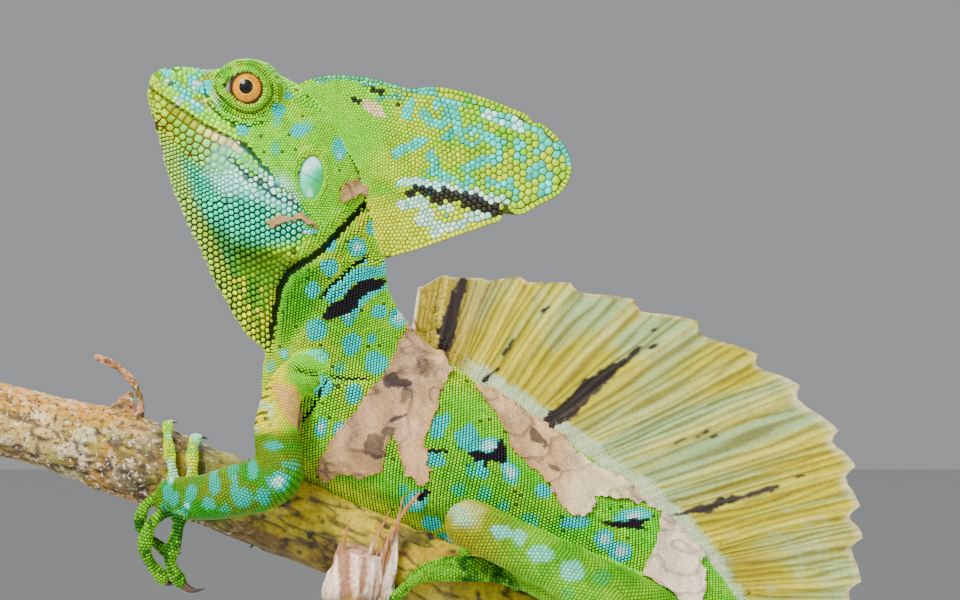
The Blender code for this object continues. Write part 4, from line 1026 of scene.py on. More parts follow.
# Spots as sighted: place, half sizes, turn in degrees, and kind: t turquoise, w with a white
# heart, f faint.
FLANK_SPOTS = (
    (373, 228, 6, 7, 0, "t"), (357, 248, 8, 9, 20, "w"), (330, 268, 7, 8, -20, "t"),
    (314, 290, 6, 8, 10, "t"), (318, 330, 10, 10, 0, "t"), (347, 314, 6, 12, -25, "w"),
    (353, 344, 8, 10, 20, "t"), (372, 339, 4, 4, 0, "t"), (398, 318, 9, 10, 30, "w"),
    (380, 312, 7, 6, 0, "t"), (376, 362, 11, 11, 0, "t"), (316, 357, 16, 6, -12, "t"),
    (341, 368, 5, 5, 0, "f"), (324, 386, 9, 10, 0, "t"), (355, 393, 6, 10, 15, "t"),
    (298, 390, 6, 7, 0, "t"), (285, 354, 4, 4, 0, "w"), (286, 372, 4, 4, 0, "t"),
    (271, 366, 4, 5, 0, "f"), (322, 426, 5, 9, 12, "w"), (342, 428, 8, 6, -25, "w"),
    (402, 292, 6, 6, 0, "t"), (388, 266, 6, 4, 0, "t"), (362, 262, 5, 3, 0, "w"),
    (440, 424, 7, 13, 28, "t"), (468, 437, 11, 12, -20, "t"), (489, 445, 12, 8, -10, "w"),
    (434, 458, 11, 6, 8, "t"), (404, 488, 5, 5, 0, "f"), (416, 499, 11, 9, -20, "w"),
    (432, 522, 9, 6, 10, "t"), (449, 542, 13, 7, 28, "w"), (482, 469, 5, 8, -12, "t"),
    (510, 470, 7, 11, -28, "w"), (471, 470, 4, 6, 0, "f"), (542, 489, 7, 6, 20, "t"),
    (459, 487, 7, 6, 20, "f"), (484, 491, 6, 7, 0, "f"), (504, 503, 5, 5, 0, "f"),
    (530, 518, 9, 6, 20, "f"), (574, 520, 14, 5, -6, "t"), (633, 515, 18, 6, -4, "w"),
    (603, 537, 9, 9, 0, "w"), (619, 549, 11, 9, 0, "w"), (289, 96, 4, 4, 0, "t"),
    (279, 111, 6, 6, -30, "t"), (299, 132, 6.5, 6, 0, "t"), (308, 127, 5, 6, 0, "f"),
    (278, 124, 4, 3, 0, "f"), (246, 131, 5, 6, 0, "t"), (277, 150, 4, 7, 0, "f"),
    (338, 96, 6, 6, 0, "t"), (354, 98, 4, 3, 0, "t"), (346, 115, 4, 4, 0, "f"),
    (361, 116, 5, 5, 0, "t"), (366, 138, 5, 8, -15, "t"), (340, 148, 6, 9, 0, "t"),
    (340, 156, 4, 4, 0, "w"), (378, 136, 4, 4, 0, "t"), (393, 134, 5, 4, 0, "f"),
    (360, 165, 3, 4, 0, "w"), (391, 174, 7, 6, 0, "t"), (382, 196, 8, 6, 0, "t"),
    (410, 181, 9, 5, -20, "w"), (410, 208, 9, 8, 0, "w"), (380, 220, 4, 3, 0, "f"),
    (390, 222, 3, 3, 0, "w"), (332, 246, 4, 6, 30, "t"), (310, 233, 8, 2.6, -8, "w"),
    (214, 86, 8, 3.4, 32, "t"), (168, 72, 4, 5, 0, "t"), (200, 72, 5, 4, 0, "f"),
    (196, 83, 9, 3.6, 40, "w"), (186, 95, 6, 3, 35, "w"), (196, 105, 10, 3.6, 36, "w"),
    (206, 69, 6, 3, 20, "f"), (206, 90, 8, 4, 20, "t"), (177, 84, 4, 5, 0, "f"),
)
DARK_SHAPES = (
    (
        (386, 279), (372, 279), (360, 282), (350, 289), (344, 299), (330, 306), (323, 316), (326, 322),
        (338, 318), (350, 313), (357, 308), (360, 299), (372, 291), (384, 286),
    ),
    ((404, 293), (407, 294), (400, 309), (396, 308)), ((424, 447), (449, 448), (449, 451), (426, 451)),
    (
        (500, 436), (507, 448), (505, 462), (498, 461), (490, 457), (486, 470), (483, 458), (476, 460),
        (468, 452), (478, 449), (489, 452), (497, 446),
    ),
    ((596, 519), (622, 520), (634, 518), (652, 517), (640, 524), (646, 529), (630, 527), (612, 526)),
    ((416, 494), (428, 486), (431, 491), (420, 500)),
)
RIM_SHAPES = (
    (
        (390, 268), (368, 266), (350, 271), (334, 284), (324, 298), (332, 304), (344, 296), (352, 286),
        (362, 280), (384, 277),
    ),
    ((392, 284), (374, 296), (362, 308), (356, 318), (340, 322), (352, 308), (364, 296), (376, 288)),
)
SHED_SHAPES = (
    (
        (418, 286), (404, 330), (385, 374), (362, 402), (340, 430), (318, 462), (322, 486), (346, 470),
        (362, 476), (400, 466), (424, 484), (432, 478), (426, 440), (440, 402), (440, 392), (452, 372),
        (440, 352), (424, 330),
    ),
    (
        (470, 384), (484, 402), (500, 420), (512, 452), (540, 476), (556, 500), (573, 517), (590, 514),
        (596, 498), (640, 504), (668, 516), (640, 490), (600, 470), (560, 436), (520, 408), (492, 390),
    ),
    (
        (660, 512), (676, 514), (700, 552), (704, 590), (690, 640), (600, 640), (612, 600), (640, 570),
        (656, 540),
    ),
    ((286, 384), (298, 388), (304, 420), (300, 444), (288, 420)),
    ((338, 186), (350, 180), (366, 172), (372, 178), (366, 196), (352, 200), (340, 204)),
    ((360, 98), (372, 100), (386, 108), (384, 117), (372, 114), (364, 106)),
    (
        (268, 222), (284, 216), (300, 214), (310, 219), (320, 228), (316, 231), (304, 221), (286, 222),
        (272, 229),
    ),
    ((436, 560), (500, 552), (486, 640), (420, 640)),
)
SHED_SLIT = ((384, 470), (388, 446), (394, 434), (400, 448), (406, 474))
SHED_DARK = (
    (391, 380, 9, 8, 10, 1.0), (404, 383, 9, 4, -5, 1.0), (427, 368, 11, 7, 40, 0.55),
    (396, 418, 9, 3, -20, 1.0), (376, 445, 9, 11, 15, 0.8), (389, 430, 7, 5, 0, 0.8),
    (536, 438, 12, 5, 40, 0.9), (404, 397, 3.5, 9, 10, 0.6), (552, 468, 7, 2.4, 20, 0.8),
    (668, 528, 5, 10, 30, 0.4), (444, 352, 4, 9, -20, 0.7),
)


def spot_strengths(flat, spots, seed, wobble=0.2):
    strengths = {}
    edge = rough(flat, 7.0, 2, seed) * wobble
    for x, y, rx, ry, turn, kind in spots:
        a = math.radians(turn)
        dx, dy = flat[:, 0] - x, flat[:, 1] - y
        ex = (dx * math.cos(a) + dy * math.sin(a)) / (rx + 1.2)
        ey = (dy * math.cos(a) - dx * math.sin(a)) / (ry + 1.2)
        away = np.sqrt(ex**2 + ey**2) + edge
        strengths[kind] = np.maximum(strengths.get(kind, 0.0), smooth(1.12, 0.88, away))
        if kind == "w":
            strengths["heart"] = np.maximum(strengths.get("heart", 0.0), smooth(0.75, 0.2, away))
    return strengths


def layered(colour, *coats):
    """A colour with coats of paint over it, each a colour and how strongly it covers."""
    for paint, strength in coats:
        colour = mixed(colour, paint, strength)
    return colour


def area(flat, polygon, soft=6.0):
    return smooth(soft, -soft, from_outline(flat, np.asarray(polygon, float)))


def far_side(flat, side):
    """The far side has the same markings, a little shifted."""
    return flat + np.where(side[:, None] > 0, 1.0, 0.0) * np.array([9.0, 6.0])


THROAT = (
    (140, 110), (170, 128), (200, 158), (232, 172), (262, 184), (300, 200), (312, 222), (300, 244),
    (262, 250), (236, 262), (244, 300), (240, 330), (150, 340), (80, 200),
)
CHEEK_ICE = (
    (228, 140), (246, 146), (264, 164), (290, 176), (300, 198), (290, 214), (262, 200), (230, 196),
    (206, 176), (214, 158),
)
JAW = ((140, 92), (170, 106), (206, 132), (232, 146), (240, 168), (220, 178), (186, 160), (150, 120))
NAPE_GOLD = ((372, 196), (420, 188), (452, 214), (436, 262), (392, 240), (360, 232), (352, 214))
# Under the jaw, a hollow darkened with painted shade.
HOLLOW_SHADE = ((236, 248), (262, 252), (300, 258), (308, 262), (290, 276), (262, 276), (244, 268))
FOLD_GOLD = ((276, 270), (290, 276), (280, 300), (276, 340), (266, 360), (258, 330), (268, 296))


def flank_paint(points, side):
    """Colours of scales on head, neck and trunk, how far they lie outside the loose skin, that
    skin's colour and the gaps' colour. The scale colours carry painted shade in the hollow under
    the jaw, on the lower throat and low on the trunk."""
    flat = far_side(sighted(points), side)
    patch = rough(flat, 30.0, 3, 21)
    fine = rough(flat, 9.0, 2, 22)
    rng = np.random.default_rng(len(points))
    per = rng.normal(0, 1, len(points))
    trunk = mixed(LEAF, LIME, smooth(-0.5, 0.7, patch + 0.25 * per * 0.5))
    trunk = mixed(trunk, GRASS, smooth(430, 640, flat[:, 1] + 0.15 * flat[:, 0]) * 0.55)
    head = mixed(HEAD_GREEN, HEAD_LIME, smooth(-0.4, 0.8, patch + 0.6 * fine))
    behind = smooth(-30, 40,
                    from_line_side(flat, ((420, 120), (370, 190), (320, 250), (276, 300), (262, 370))))
    colour = mixed(head, trunk, behind)
    nape_share = smooth(300, 400, flat[:, 0]) * smooth(260, 120, flat[:, 1])
    colour = mixed(colour, LIME * 0.95, nape_share * 0.7)
    throat = area(flat, THROAT, 8)
    colour = layered(
        colour,
        (mixed(MINT * 0.85, MINT, smooth(-0.6, 0.6, fine)), throat),
        (PALE_MINT, area(flat, CHEEK_ICE, 10) * smooth(-0.7, 0.5, patch + fine) * 0.85),
    )
    jaw = area(flat, JAW, 6)
    colour = mixed(colour,
                   mixed(tone(132, 190, 104), tone(150, 200, 150), smooth(160, 235, flat[:, 0])), jaw)
    lip_distance, lip_share, lip_side = from_line(flat, MOUTH)
    below = (lip_side > 0) & (lip_distance < 11) & (lip_share > 0.02)
    mottle = smooth(-0.15, 0.5, rough(flat, 6.0, 2, 31))
    lip_cream = smooth(0.45, 0.95, lip_share) * below
    colour = layered(
        colour,
        (mixed(tone(150, 190, 110), BROWN * 1.5, mottle * 0.7), below * 0.75),
        (mixed(CREAM, tone(222, 190, 140), mottle), lip_cream * 0.9),
    )
    above = (lip_side < 0) & (lip_distance < 5.5) & (lip_share > 0.02)
    colour = mixed(colour, HEAD_LIME * 0.95, above * 0.6)
    snout = smooth(226, 204, flat[:, 0]) * (flat[:, 1] < 110) * (lip_side < 0)
    patches = rough(flat, 11.0, 2, 41)
    colour = layered(
        colour,
        (mixed(PALE_MINT, TURQUOISE, smooth(-0.5, 0.5, fine)),
         snout * smooth(0.15, 0.35, patches) * 0.8),
        (tone(150, 110, 44), snout * smooth(-0.25, -0.5, patches) * 0.7),
        (YELLOW * 0.8, area(flat, FOLD_GOLD, 6) * smooth(-0.5, 0.3, fine + 0.3 * per) * 0.85),
        # dark olive in the hollow under the jaw: painted shade
        (OLIVE * 0.55, area(flat, HOLLOW_SHADE, 6) * 0.85),
        (YELLOW, area(flat, NAPE_GOLD, 8) * smooth(-0.5, 0.4, patch + fine) * 0.9),
    )
    shaded = area(flat,
                  ((196, 214), (236, 236), (268, 246), (300, 262), (268, 300), (262, 352), (240, 330),
                   (210, 262)), 10)
    colour = mixed(colour, tone(76, 108, 16), shaded * 0.75)
    # Painted shade low on the trunk, above the branch.
    belly = area(flat, ((318, 474), (352, 482), (420, 500), (470, 512), (470, 540), (318, 520)), 6)
    colour = mixed(colour, tone(88, 104, 6), belly * 0.5)
    colour = colour * (1 + 0.16 * smooth(520, 570, flat[:, 0]))[:, None]
    low_throat = area(flat, ((210, 280), (262, 280), (262, 360), (200, 360)), 8)
    colour = mixed(colour, YELLOW, low_throat * (rough(flat, 10.0, 1, 51) + 0.35 * per > 0.42))
    front_neck = area(flat, ((276, 280), (300, 268), (330, 262), (320, 300), (300, 330), (272, 366)), 8)
    colour = mixed(colour, GRASS * 0.6, front_neck * 0.7)
    belly = smooth(0.0, 1.0, (low_edge(points) - 2.0) / 5.0)
    colour = mixed(BELLY, colour, np.maximum(belly, 0.25))
    colour = colour * (1.0 + 0.10 * per + 0.10 * fine)[:, None]
    speck = (rng.random(len(points)) < 0.012) & (throat < 0.5)
    colour = mixed(colour, BLACK, speck * 0.85)
    rims = np.max([area(flat, shape, 3.0) for shape in RIM_SHAPES], axis=0)
    colour = mixed(colour, TURQUOISE, smooth(0.3, 0.7, rims + 0.25 * fine))
    spots = spot_strengths(flat, FLANK_SPOTS, 61)
    turquoise = np.clip(spots["t"] + spots["w"], 0, 1)
    blue = mixed(TURQUOISE, TURQUOISE_DEEP, smooth(0.1, 0.8, -patch + 0.3 * per) * 0.5)
    colour = mixed(colour, blue, turquoise)
    colour = mixed(colour, mixed(blue, colour, 0.45), spots["f"] * (1 - turquoise))
    colour = mixed(colour, ICE, spots["heart"] * 0.9)
    dark = np.max([area(flat, shape, 2.0) for shape in DARK_SHAPES], axis=0)
    colour = mixed(colour, BLACK, smooth(0.35, 0.65, dark + 0.2 * fine))
    edge = rough(flat, 6.0, 2, 71) * 3.0
    shed_distance = np.min([from_outline(flat, np.array(s, float)) for s in SHED_SHAPES], axis=0) + edge
    shed_distance = np.maximum(shed_distance,
                               -from_outline(flat, np.array(SHED_SLIT, float)) + 0.4 * edge)
    shed = shed_distance < 0
    folds = rough(flat * [1.0, 0.35], 5.0, 2, 81)
    tan = mixed(TAN, PINK, smooth(-0.4, 0.5, patch)) * (1.0 + 0.12 * folds + 0.05 * per)[:, None]
    tan = mixed(tan, tone(226, 206, 172), smooth(-1.5, -4.5, shed_distance) * 0.25)
    marks = np.zeros(len(points))
    for x, y, rx, ry, turn, depth in SHED_DARK:
        a = math.radians(turn)
        dx, dy = flat[:, 0] - x, flat[:, 1] - y
        away = np.hypot((dx * math.cos(a) + dy * math.sin(a)) / rx,
                        (dy * math.cos(a) - dx * math.sin(a)) / ry)
        marks = np.maximum(marks, smooth(1.15, 0.92, away + 0.55 * rough(flat, 6.0, 3, 91)) * depth)
    tan = layered(
        tan,
        (tone(142, 110, 70), smooth(420, 392, flat[:, 0]) * 0.5),
        (tone(244, 230, 190), smooth(555, 585, flat[:, 0]) * 0.6),
        (tone(250, 228, 200), smooth(630, 670, flat[:, 0]) * 0.9),
        (TAN_DARK, marks * 0.95),
    )
    soft = np.clip(1 - behind - throat - low_throat, 0, 1)
    gap = colour * (0.04 + 0.3 * soft)[:, None]
    gap = layered(
        gap,
        (tone(74, 48, 20), jaw * 0.85),
        (tone(110, 165, 165), area(flat, CHEEK_ICE, 8) * 0.8),
        (tone(120, 90, 60), shed),
    )
    return np.clip(colour, 0, 1), shed_distance, np.clip(tan, 0, 1), np.clip(gap, 0, 1)


def from_line_side(flat, line):
    distance, _, side = from_line(flat, line)
    return -distance * side


def low_edge(points):
    """Height of points over the body's underside, in millimetres, near enough."""
    table = np.array(list(SECTIONS.values()))
    line = table[:, 2:4]
    distance, _, _ = from_line(points[:, [0, 2]], line)
    return distance


ARM_SPOTS = (
    (282, 478, 10, 9, 0, "w"), (278, 443, 10, 3.4, 8, "t"), (257, 467, 4, 8, -8, "t"),
    (237, 467, 4, 8, 0, "f"), (219, 480, 4.6, 13, -6, "t"), (239, 482, 3.6, 9, 0, "t"),
    (247, 494, 8, 8, 0, "t"), (267, 492, 6, 7, 0, "t"), (214, 500, 6, 6, 0, "t"),
    (195, 491, 4, 8, 12, "t"), (179, 497, 3, 8, 15, "t"), (172, 491, 3.4, 7, 0, "t"),
    (167, 509, 4, 7, 0, "t"), (157, 513, 3, 6, 0, "t"), (183, 513, 8, 5, -40, "t"),
    (191, 502, 3, 4, 0, "w"), (175, 478, 2.6, 4, 20, "w"), (230, 504, 5, 4, 0, "f"),
    (294, 462, 7, 4, 0, "f"),
)
LEG_SPOTS = (
    (501, 526, 9, 6, 10, "w"), (519, 532, 6, 6, 0, "t"), (540, 547, 11, 8, 10, "t"),
    (570, 564, 12, 9, 15, "t"), (600, 572, 10, 6, 10, "f"), (566, 586, 6, 7, 0, "f"),
    (462, 512, 12, 7, 30, "f"),
)


def arm_paint(points, along, turn, near):
    flat = sighted(points)
    per = np.random.default_rng(len(points) + 3).normal(0, 1, len(points))
    patch = rough(flat, 16.0, 2, 101)
    colour = mixed(tone(88, 126, 18), tone(106, 124, 28), smooth(-0.3, 0.6, patch))
    colour = mixed(colour, tone(74, 136, 22), smooth(0.1, 0.9, -patch))
    upper = smooth(436, 424, flat[:, 1]) * (points[:, 1] < 0)
    bands = mixed(YELLOW * 0.9, LEAF, smooth(282, 296, flat[:, 0]))
    lines = smooth(0.35, 0.75, np.sin((flat[:, 1] + 0.35 * flat[:, 0]) * 2 * math.pi / 7.5))
    bands = layered(
        bands,
        (tone(24, 30, 12), lines * smooth(282, 268, flat[:, 0]) * 0.9),
        (ICE, smooth(0.1, 0.4, rough(flat, 8.0, 2, 105)) * smooth(286, 272, flat[:, 0]) * 0.5),
    )
    tan = smooth(3, -3,
                 from_outline(flat,
                              np.array(((274, 382), (298, 384), (304, 400), (302, 426), (292, 424),
                                        (280, 400)), float)))
    bands = mixed(bands, mixed(TAN, CREAM, 0.4), tan)
    colour = mixed(colour, bands, upper)
    colour = colour * (1 + 0.09 * per)[:, None]
    if near:
        spots = spot_strengths(flat, ARM_SPOTS, 111, 0.25)
    else:
        spots = {k: v for k, v in spot_strengths(flat + [-60.0, -38.0], ARM_SPOTS, 112, 0.25).items()}
    colour = layered(
        colour,
        (TURQUOISE * 0.72, np.clip(spots["t"] + spots["w"], 0, 1) * 0.7),
        (TURQUOISE * 0.8, spots["f"] * 0.4),
        (ICE, spots["heart"] * 0.9),
    )
    return np.clip(colour, 0, 1)


def leg_paint(points, along, turn, near):
    flat = sighted(points)
    per = np.random.default_rng(len(points) + 5).normal(0, 1, len(points))
    patch = rough(flat, 20.0, 2, 121)
    colour = mixed(tone(112, 164, 44), tone(140, 186, 62), smooth(-0.4, 0.6, patch))
    knee = smooth(540, 460, flat[:, 0])
    colour = layered(
        colour,
        (tone(136, 132, 66), knee * 0.9),
        (tone(204, 206, 166),
         area(flat, ((446, 506), (466, 494), (486, 504), (478, 522), (456, 522)), 8) * 0.6),
    )
    spots = spot_strengths(flat if near else flat + [-30.0, -20.0], LEG_SPOTS, 131, 0.25)
    colour = layered(
        colour,
        (mixed(TURQUOISE, PALE_MINT, 0.4), np.clip(spots["t"] + spots["w"], 0, 1) * 0.7),
        (TURQUOISE, spots["f"] * 0.25),
    )
    return np.clip(colour * (1 + 0.09 * per)[:, None], 0, 1)


def tail_paint(points, along, turn, near):
    per = np.random.default_rng(len(points) + 7).normal(0, 1, len(points))
    patch = rough(points, 12.0, 2, 141)
    share = along / TAIL.length
    colour = mixed(LEAF * 0.85, GRASS, smooth(0.0, 0.35, share))
    colour = mixed(colour, tone(134, 134, 62), smooth(0.35, 0.95, share))
    wave = np.sin(along / 9.5 + 0.9 * patch)
    bands = smooth(0.15, 0.75, wave) * smooth(0.03, 0.15, share)
    colour = mixed(colour, tone(58, 50, 30), bands * 0.8)
    spots = smooth(0.45, 0.62, rough(points, 9.0, 2, 151)) * smooth(0.35, 0.1, share)
    colour = mixed(colour, TURQUOISE, spots * 0.85)
    return np.clip(colour * (1 + 0.1 * per)[:, None], 0, 1)


def digit_paint(bright):
    def paint(points, along, turn, near):
        per = np.random.default_rng(len(points) + 9).normal(0, 1, len(points))
        # The darker greens, for the fingers hanging below the branch and for all toes, are partly painted
        # shade.
        light, dark = (tone(206, 214, 66),
                       tone(150, 190, 60)) if bright else (tone(120, 164, 30), tone(48, 84, 16))
        patch = rough(points, 4.0, 2, 161)
        colour = mixed(dark, light, smooth(-0.6, 0.6, patch + 0.2 * per))
        if bright:
            colour = mixed(colour, mixed(PALE_MINT, TURQUOISE, 0.4),
                           smooth(0.2, 0.5, rough(points, 5.0, 2, 171)) * 0.7)
        return np.clip(colour * (1 + 0.12 * per)[:, None], 0, 1)
    return paint


# Limbs, digits and tail as tubes.

DIGIT_JOINTS = 0.24


def digit_swell(shares):
    return DIGIT_JOINTS * np.cos(shares * 4 * math.pi)


def digit_tube(line, radii):
    return Tube(line, radii, up=(0.13, 0.97, 0.21), step=0.5, swell=digit_swell)


def toe_lines(knuckles, radii, toes):
    """The lines of toes that reach down from the ball of a foot and wrap round the branch."""
    ball, back = np.array(knuckles[-1]), np.array(knuckles[-2])
    for number, (x, degrees, wrap, radius) in enumerate(toes):
        root = ball + (back - ball) * (0.75 if number == 4 else 0.15)
        root = root - np.array([0, 0, (number - 2) * 0.2 * radii[-1]])
        touch = around_branch(x, degrees, radius + 0.1)
        middle = (root + touch) / 2 + np.array([0, 0, 2.4])
        wraps = [around_branch(x - 1.6 * k, degrees + wrap * k / 2, radius + 0.1) for k in (0, 1, 2)]
        hook = around_branch(x, degrees + wrap, -radius) - wraps[-1]
        yield [root, middle, *wraps], radius, hook


def all_digits():
    """Each digit's tube with its claw: where the claw starts, its way, hook, length and radius."""
    made = []
    for number, (line, radius, claw, hook) in enumerate(FINGERS_LEFT):
        tube = digit_tube(line, (radius, radius * FINGER_TAPER))
        made.append((tube, claw_place(line, claw, hook, radius * FINGER_TAPER), number < 2))
    feet = (
        (ARM_RIGHT[-2:], (5.2, 4.4), TOES_HAND_RIGHT), (SOLE_LEFT, SOLE_RADII, TOES_FOOT_LEFT),
        (SOLE_RIGHT, SOLE_RADII, TOES_FOOT_RIGHT),
    )
    for knuckles, radii, toes in feet:
        for line, radius, hook in toe_lines(knuckles, radii, toes):
            tube = digit_tube(line, (radius, radius * TOE_TAPER))
            made.append((tube, claw_place(line, TOE_CLAW, hook, radius * TOE_TAPER), False))
    return made


def claw_place(line, length, hook, radius):
    path = curve_through(line, 12)
    ahead = path[-1] - path[-2]
    ahead /= np.linalg.norm(ahead)
    hook = np.asarray(hook, float)
    hook = hook - ahead * (hook @ ahead)
    return path[-1], ahead, hook / np.linalg.norm(hook), length, radius


TAIL = Tube(
    TAIL_LINE, hermite(np.array(TAIL_SHARES), np.array(TAIL_HALF_HEIGHTS)[:, None],
                       np.linspace(0, 1, 40))[:, 0],
    hermite(np.array(TAIL_SHARES), np.array(TAIL_HALF_WIDTHS)[:, None], np.linspace(0, 1, 40))[:, 0],
    up=(0, 0, 1), step=1.0,
)
LIMBS = (
    ("arm_left", Tube(ARM_LEFT, ARM_LEFT_HIGH, ARM_LEFT_WIDE)),
    ("arm_right", Tube(ARM_RIGHT, ARM_RIGHT_RADII)),
    ("thigh_left", Tube(THIGH_LEFT, THIGH_RADII)),
    ("shin_left", Tube(SHIN_LEFT, SHIN_RADII)),
    ("sole_left", Tube(SOLE_LEFT, SOLE_RADII)),
    ("thigh_right", Tube(THIGH_RIGHT, THIGH_RADII)),
    ("shin_right", Tube(SHIN_RIGHT, SHIN_RADII)),
    ("sole_right", Tube(SOLE_RIGHT, SOLE_RADII)),
)
ALL_DIGITS = all_digits()
DIGITS = [(tube, claw) for tube, claw, _ in ALL_DIGITS]


def tube_coat(coat, tube, pitch, paint, ground, height, near=True, fill=0.9, reach=0.9, stretch=1.0,
              rim=0.5, shade=0.22):
    """Rows of six-cornered scales round a tube, set on the skin."""
    row = pitch * 0.87 * stretch
    typical = np.percentile(tube.radii.mean(axis=1), 60)
    alongs, turns, shapes = [], [], []
    for number in range(int(tube.length / row)):
        along = (number + 0.5) * row
        radius = np.interp(along, tube.along, tube.radii.mean(axis=1))
        if radius < 0.3 * typical:
            continue
        usual = max(6, round(2 * math.pi * typical / pitch))
        count = usual if 0.7 < radius / typical < 1.35 else max(5, round(2 * math.pi * radius / pitch))
        width = 2 * math.pi / count
        wide = width * radius
        long1 = row / 2 + wide**2 / (8 * row)
        long2 = max(0.1 * row, row / 2 - wide**2 / (8 * row))
        shape = np.array([
            (long1, 0), (long2, width / 2), (-long2, width / 2),
            (-long1, 0), (-long2, -width / 2), (long2, -width / 2),
        ])
        alongs.append(np.full(count, along))
        turns.append((np.arange(count) + 0.5 * (number % 2)) * width)
        shapes.append(np.repeat(shape[None], count, axis=0))
    along, turn, shape = np.concatenate(alongs), np.concatenate(turns), np.concatenate(shapes)
    centre = tube.at(along, turn)
    corners = tube.at(along[:, None] + shape[:, :, 0], turn[:, None] + shape[:, :, 1])
    place, facing = ground.nearest(centre)
    gap = ((centre - place) * facing).sum(axis=1)
    away = np.linalg.norm(centre - place, axis=1)
    keep = (away < reach) & (gap > -0.55)
    centre, corners, place, facing = centre[keep], corners[keep], place[keep], facing[keep]
    along, turn = along[keep], turn[keep]
    corners = corners + (place - centre)[:, None, :]
    tint = paint(place, along, turn, near)
    root = np.stack([along / tube.length, (turn / (2 * math.pi)) % 1.0], axis=1)
    coat.add(place, corners, facing, height, tint, coat.on_map(root), fill=fill, rim=rim,
             gap=tint * shade)


# The coat of head, neck and trunk.


# How far scales of the flank may settle onto the skin, out and in, at the brow and elsewhere, in
# millimetres, and how far from the lids' middle the brow reaches, as sighted.
SETTLE_OUT, SETTLE_IN, BROW_REACH = (4.2, 2.4), (-4.0, -1.9), 46
BROW_PITCH, BROW_ROOM = 0.9, 0.72


def flank_coats(ground, flank):
    """The scales of both sides, in pieces from the snout to the vent."""
    seeds, heights, pitches = flank_seeds(flank)
    along, across, valid, ends = flank.locate(seeds)
    seeds, heights, pitches = seeds[valid], heights[valid], pitches[valid]
    along, across, ends = along[valid], across[valid], ends[valid]
    up = flank.up[np.clip(along.astype(int), 0, len(flank.up) - 1)]
    ghosts = []
    for end in (0, 1):
        off = ends[:, end] - ends[:, 2]
        near = np.abs(off) < 2.2 * pitches
        ghosts.append(seeds[near] + up[near] * (2 * off[near])[:, None])
    whole = np.concatenate([seeds, *ghosts])
    real = len(seeds)
    coats = {}
    last = len(flank.grid) - 1
    for ids, corners, reach in cells(whole):
        fine = ids < real
        ids, corners, reach = ids[fine], corners[fine], reach[fine]
        fine = reach < 1.5 * pitches[ids]
        ids, corners = ids[fine], corners[fine]
        if len(ids) == 0:
            continue
        k = corners.shape[1]
        corners = off_the_mouth(corners, seeds[ids])
        middle = flank.surface(along[ids], across[ids])
        ca, cb, _, _ = flank.locate(corners.reshape(-1, 2))
        around = flank.surface(ca, cb).reshape(-1, k, 3)
        for side in (-1, 1):
            flip = np.array([1.0, side, 1.0])
            centre, rim = middle * flip, around * flip
            if side > 0:
                rim = rim[:, ::-1]
            place, facing = ground.nearest(centre)
            away = np.linalg.norm(centre - place, axis=1)
            depth = ((centre - place) * facing).sum(axis=1)
            flat = sighted(place)
            brow = np.linalg.norm(flat - LID_FOLD[0], axis=1) < BROW_REACH
            keep = (away < np.where(brow, *SETTLE_OUT)) & (depth > np.where(brow,
                *SETTLE_IN)) & ~bare(place, flat)
            off = place - centre
            rim = rim + off[:, None, :]
            spread = rim - place[:, None, :]
            far = np.linalg.norm(spread, axis=2).max(axis=1) / pitches[ids]
            keep &= far < 2.6
            rim = place[:, None, :] + spread * np.minimum(1,
                                                          1.15 / np.maximum(far, 1e-6))[:, None, None]
            colour, shed_distance, _, gap = flank_paint(place, np.full(len(ids), side))
            keep &= shed_distance > -4.5
            root = np.stack([along[ids] / last,
                             across[ids] / (flank.grid.shape[1] - 1) * 0.5 + (side > 0) * 0.5], axis=1)
            bucket = np.searchsorted(FLANK_CUTS, along[ids] / last, side="right") - 1
            fill = np.where(pitches[ids] > 1.85, 0.965, 0.88)
            for number, word in enumerate(FLANK_WORDS):
                some = (bucket == number) & keep
                if not some.any():
                    continue
                name = f"scales_{word}_{'left' if side < 0 else 'right'}"
                coat = coats.setdefault(name, Coat(name))
                coat.add(
                    place[some], rim[some], facing[some], heights[ids[some]], colour[some],
                    coat.on_map(root[some]),
                    fill=fill[some], sink=0.42, lift=0.07, gap=gap[some],
                    rim=colour[some] * 0.3 + gap[some] * 0.55,
                )
    return list(coats.values())


FLANK_CUTS = (0.0, 0.30, 0.42, 0.55, 0.70, 0.84)
FLANK_WORDS = ("snout", "cheek", "throat", "shoulder", "flank", "hip")


def snout_tip_coat(ground):
    """The few scales that look straight ahead, round the tip of both jaws."""
    coat = Coat("scales_snout_tip")
    seeds = hex_lattice((-5.5, 50.0), (5.5, 63.5), 1.35, 15)
    seeds = seeds + np.random.default_rng(23).normal(0, 0.14, seeds.shape)
    for ids, corners, reach in cells(seeds):
        fine = reach < 1.3
        ids, corners = ids[fine], corners[fine]
        if len(ids) == 0:
            continue
        place, facing, hit = ground.cast(
            [(-130.0, y, z) for y, z in seeds[ids]], (1.0, 0.0, 0.0),
        )
        flat = sighted(place)
        gape, _, _ = from_line(flat, MOUTH)
        hit &= (facing[:, 0] < -0.62) & (gape > 2.2) & (place[:, 0] < -80)
        ids, corners, place, facing, flat = ids[hit], corners[hit], place[hit], facing[hit], flat[hit]
        off = corners - seeds[ids][:, None, :]
        level = -(facing[:, None, 1] * off[:, :, 0] + facing[:, None, 2]
                  * off[:, :, 1]) / facing[:, None, 0]
        rim = np.stack([place[:, None, 0] + np.clip(level, -1, 1), corners[:, :, 0],
                        corners[:, :, 1]], axis=2)
        colour, _, _, gap = flank_paint(place, np.full(len(ids), -1))
        root = (seeds[ids] - (-6, 49)) / 16
        coat.add(place, rim[:, ::-1], facing, 0.26, colour, coat.on_map(root), gap=gap, sink=0.42)
    return coat


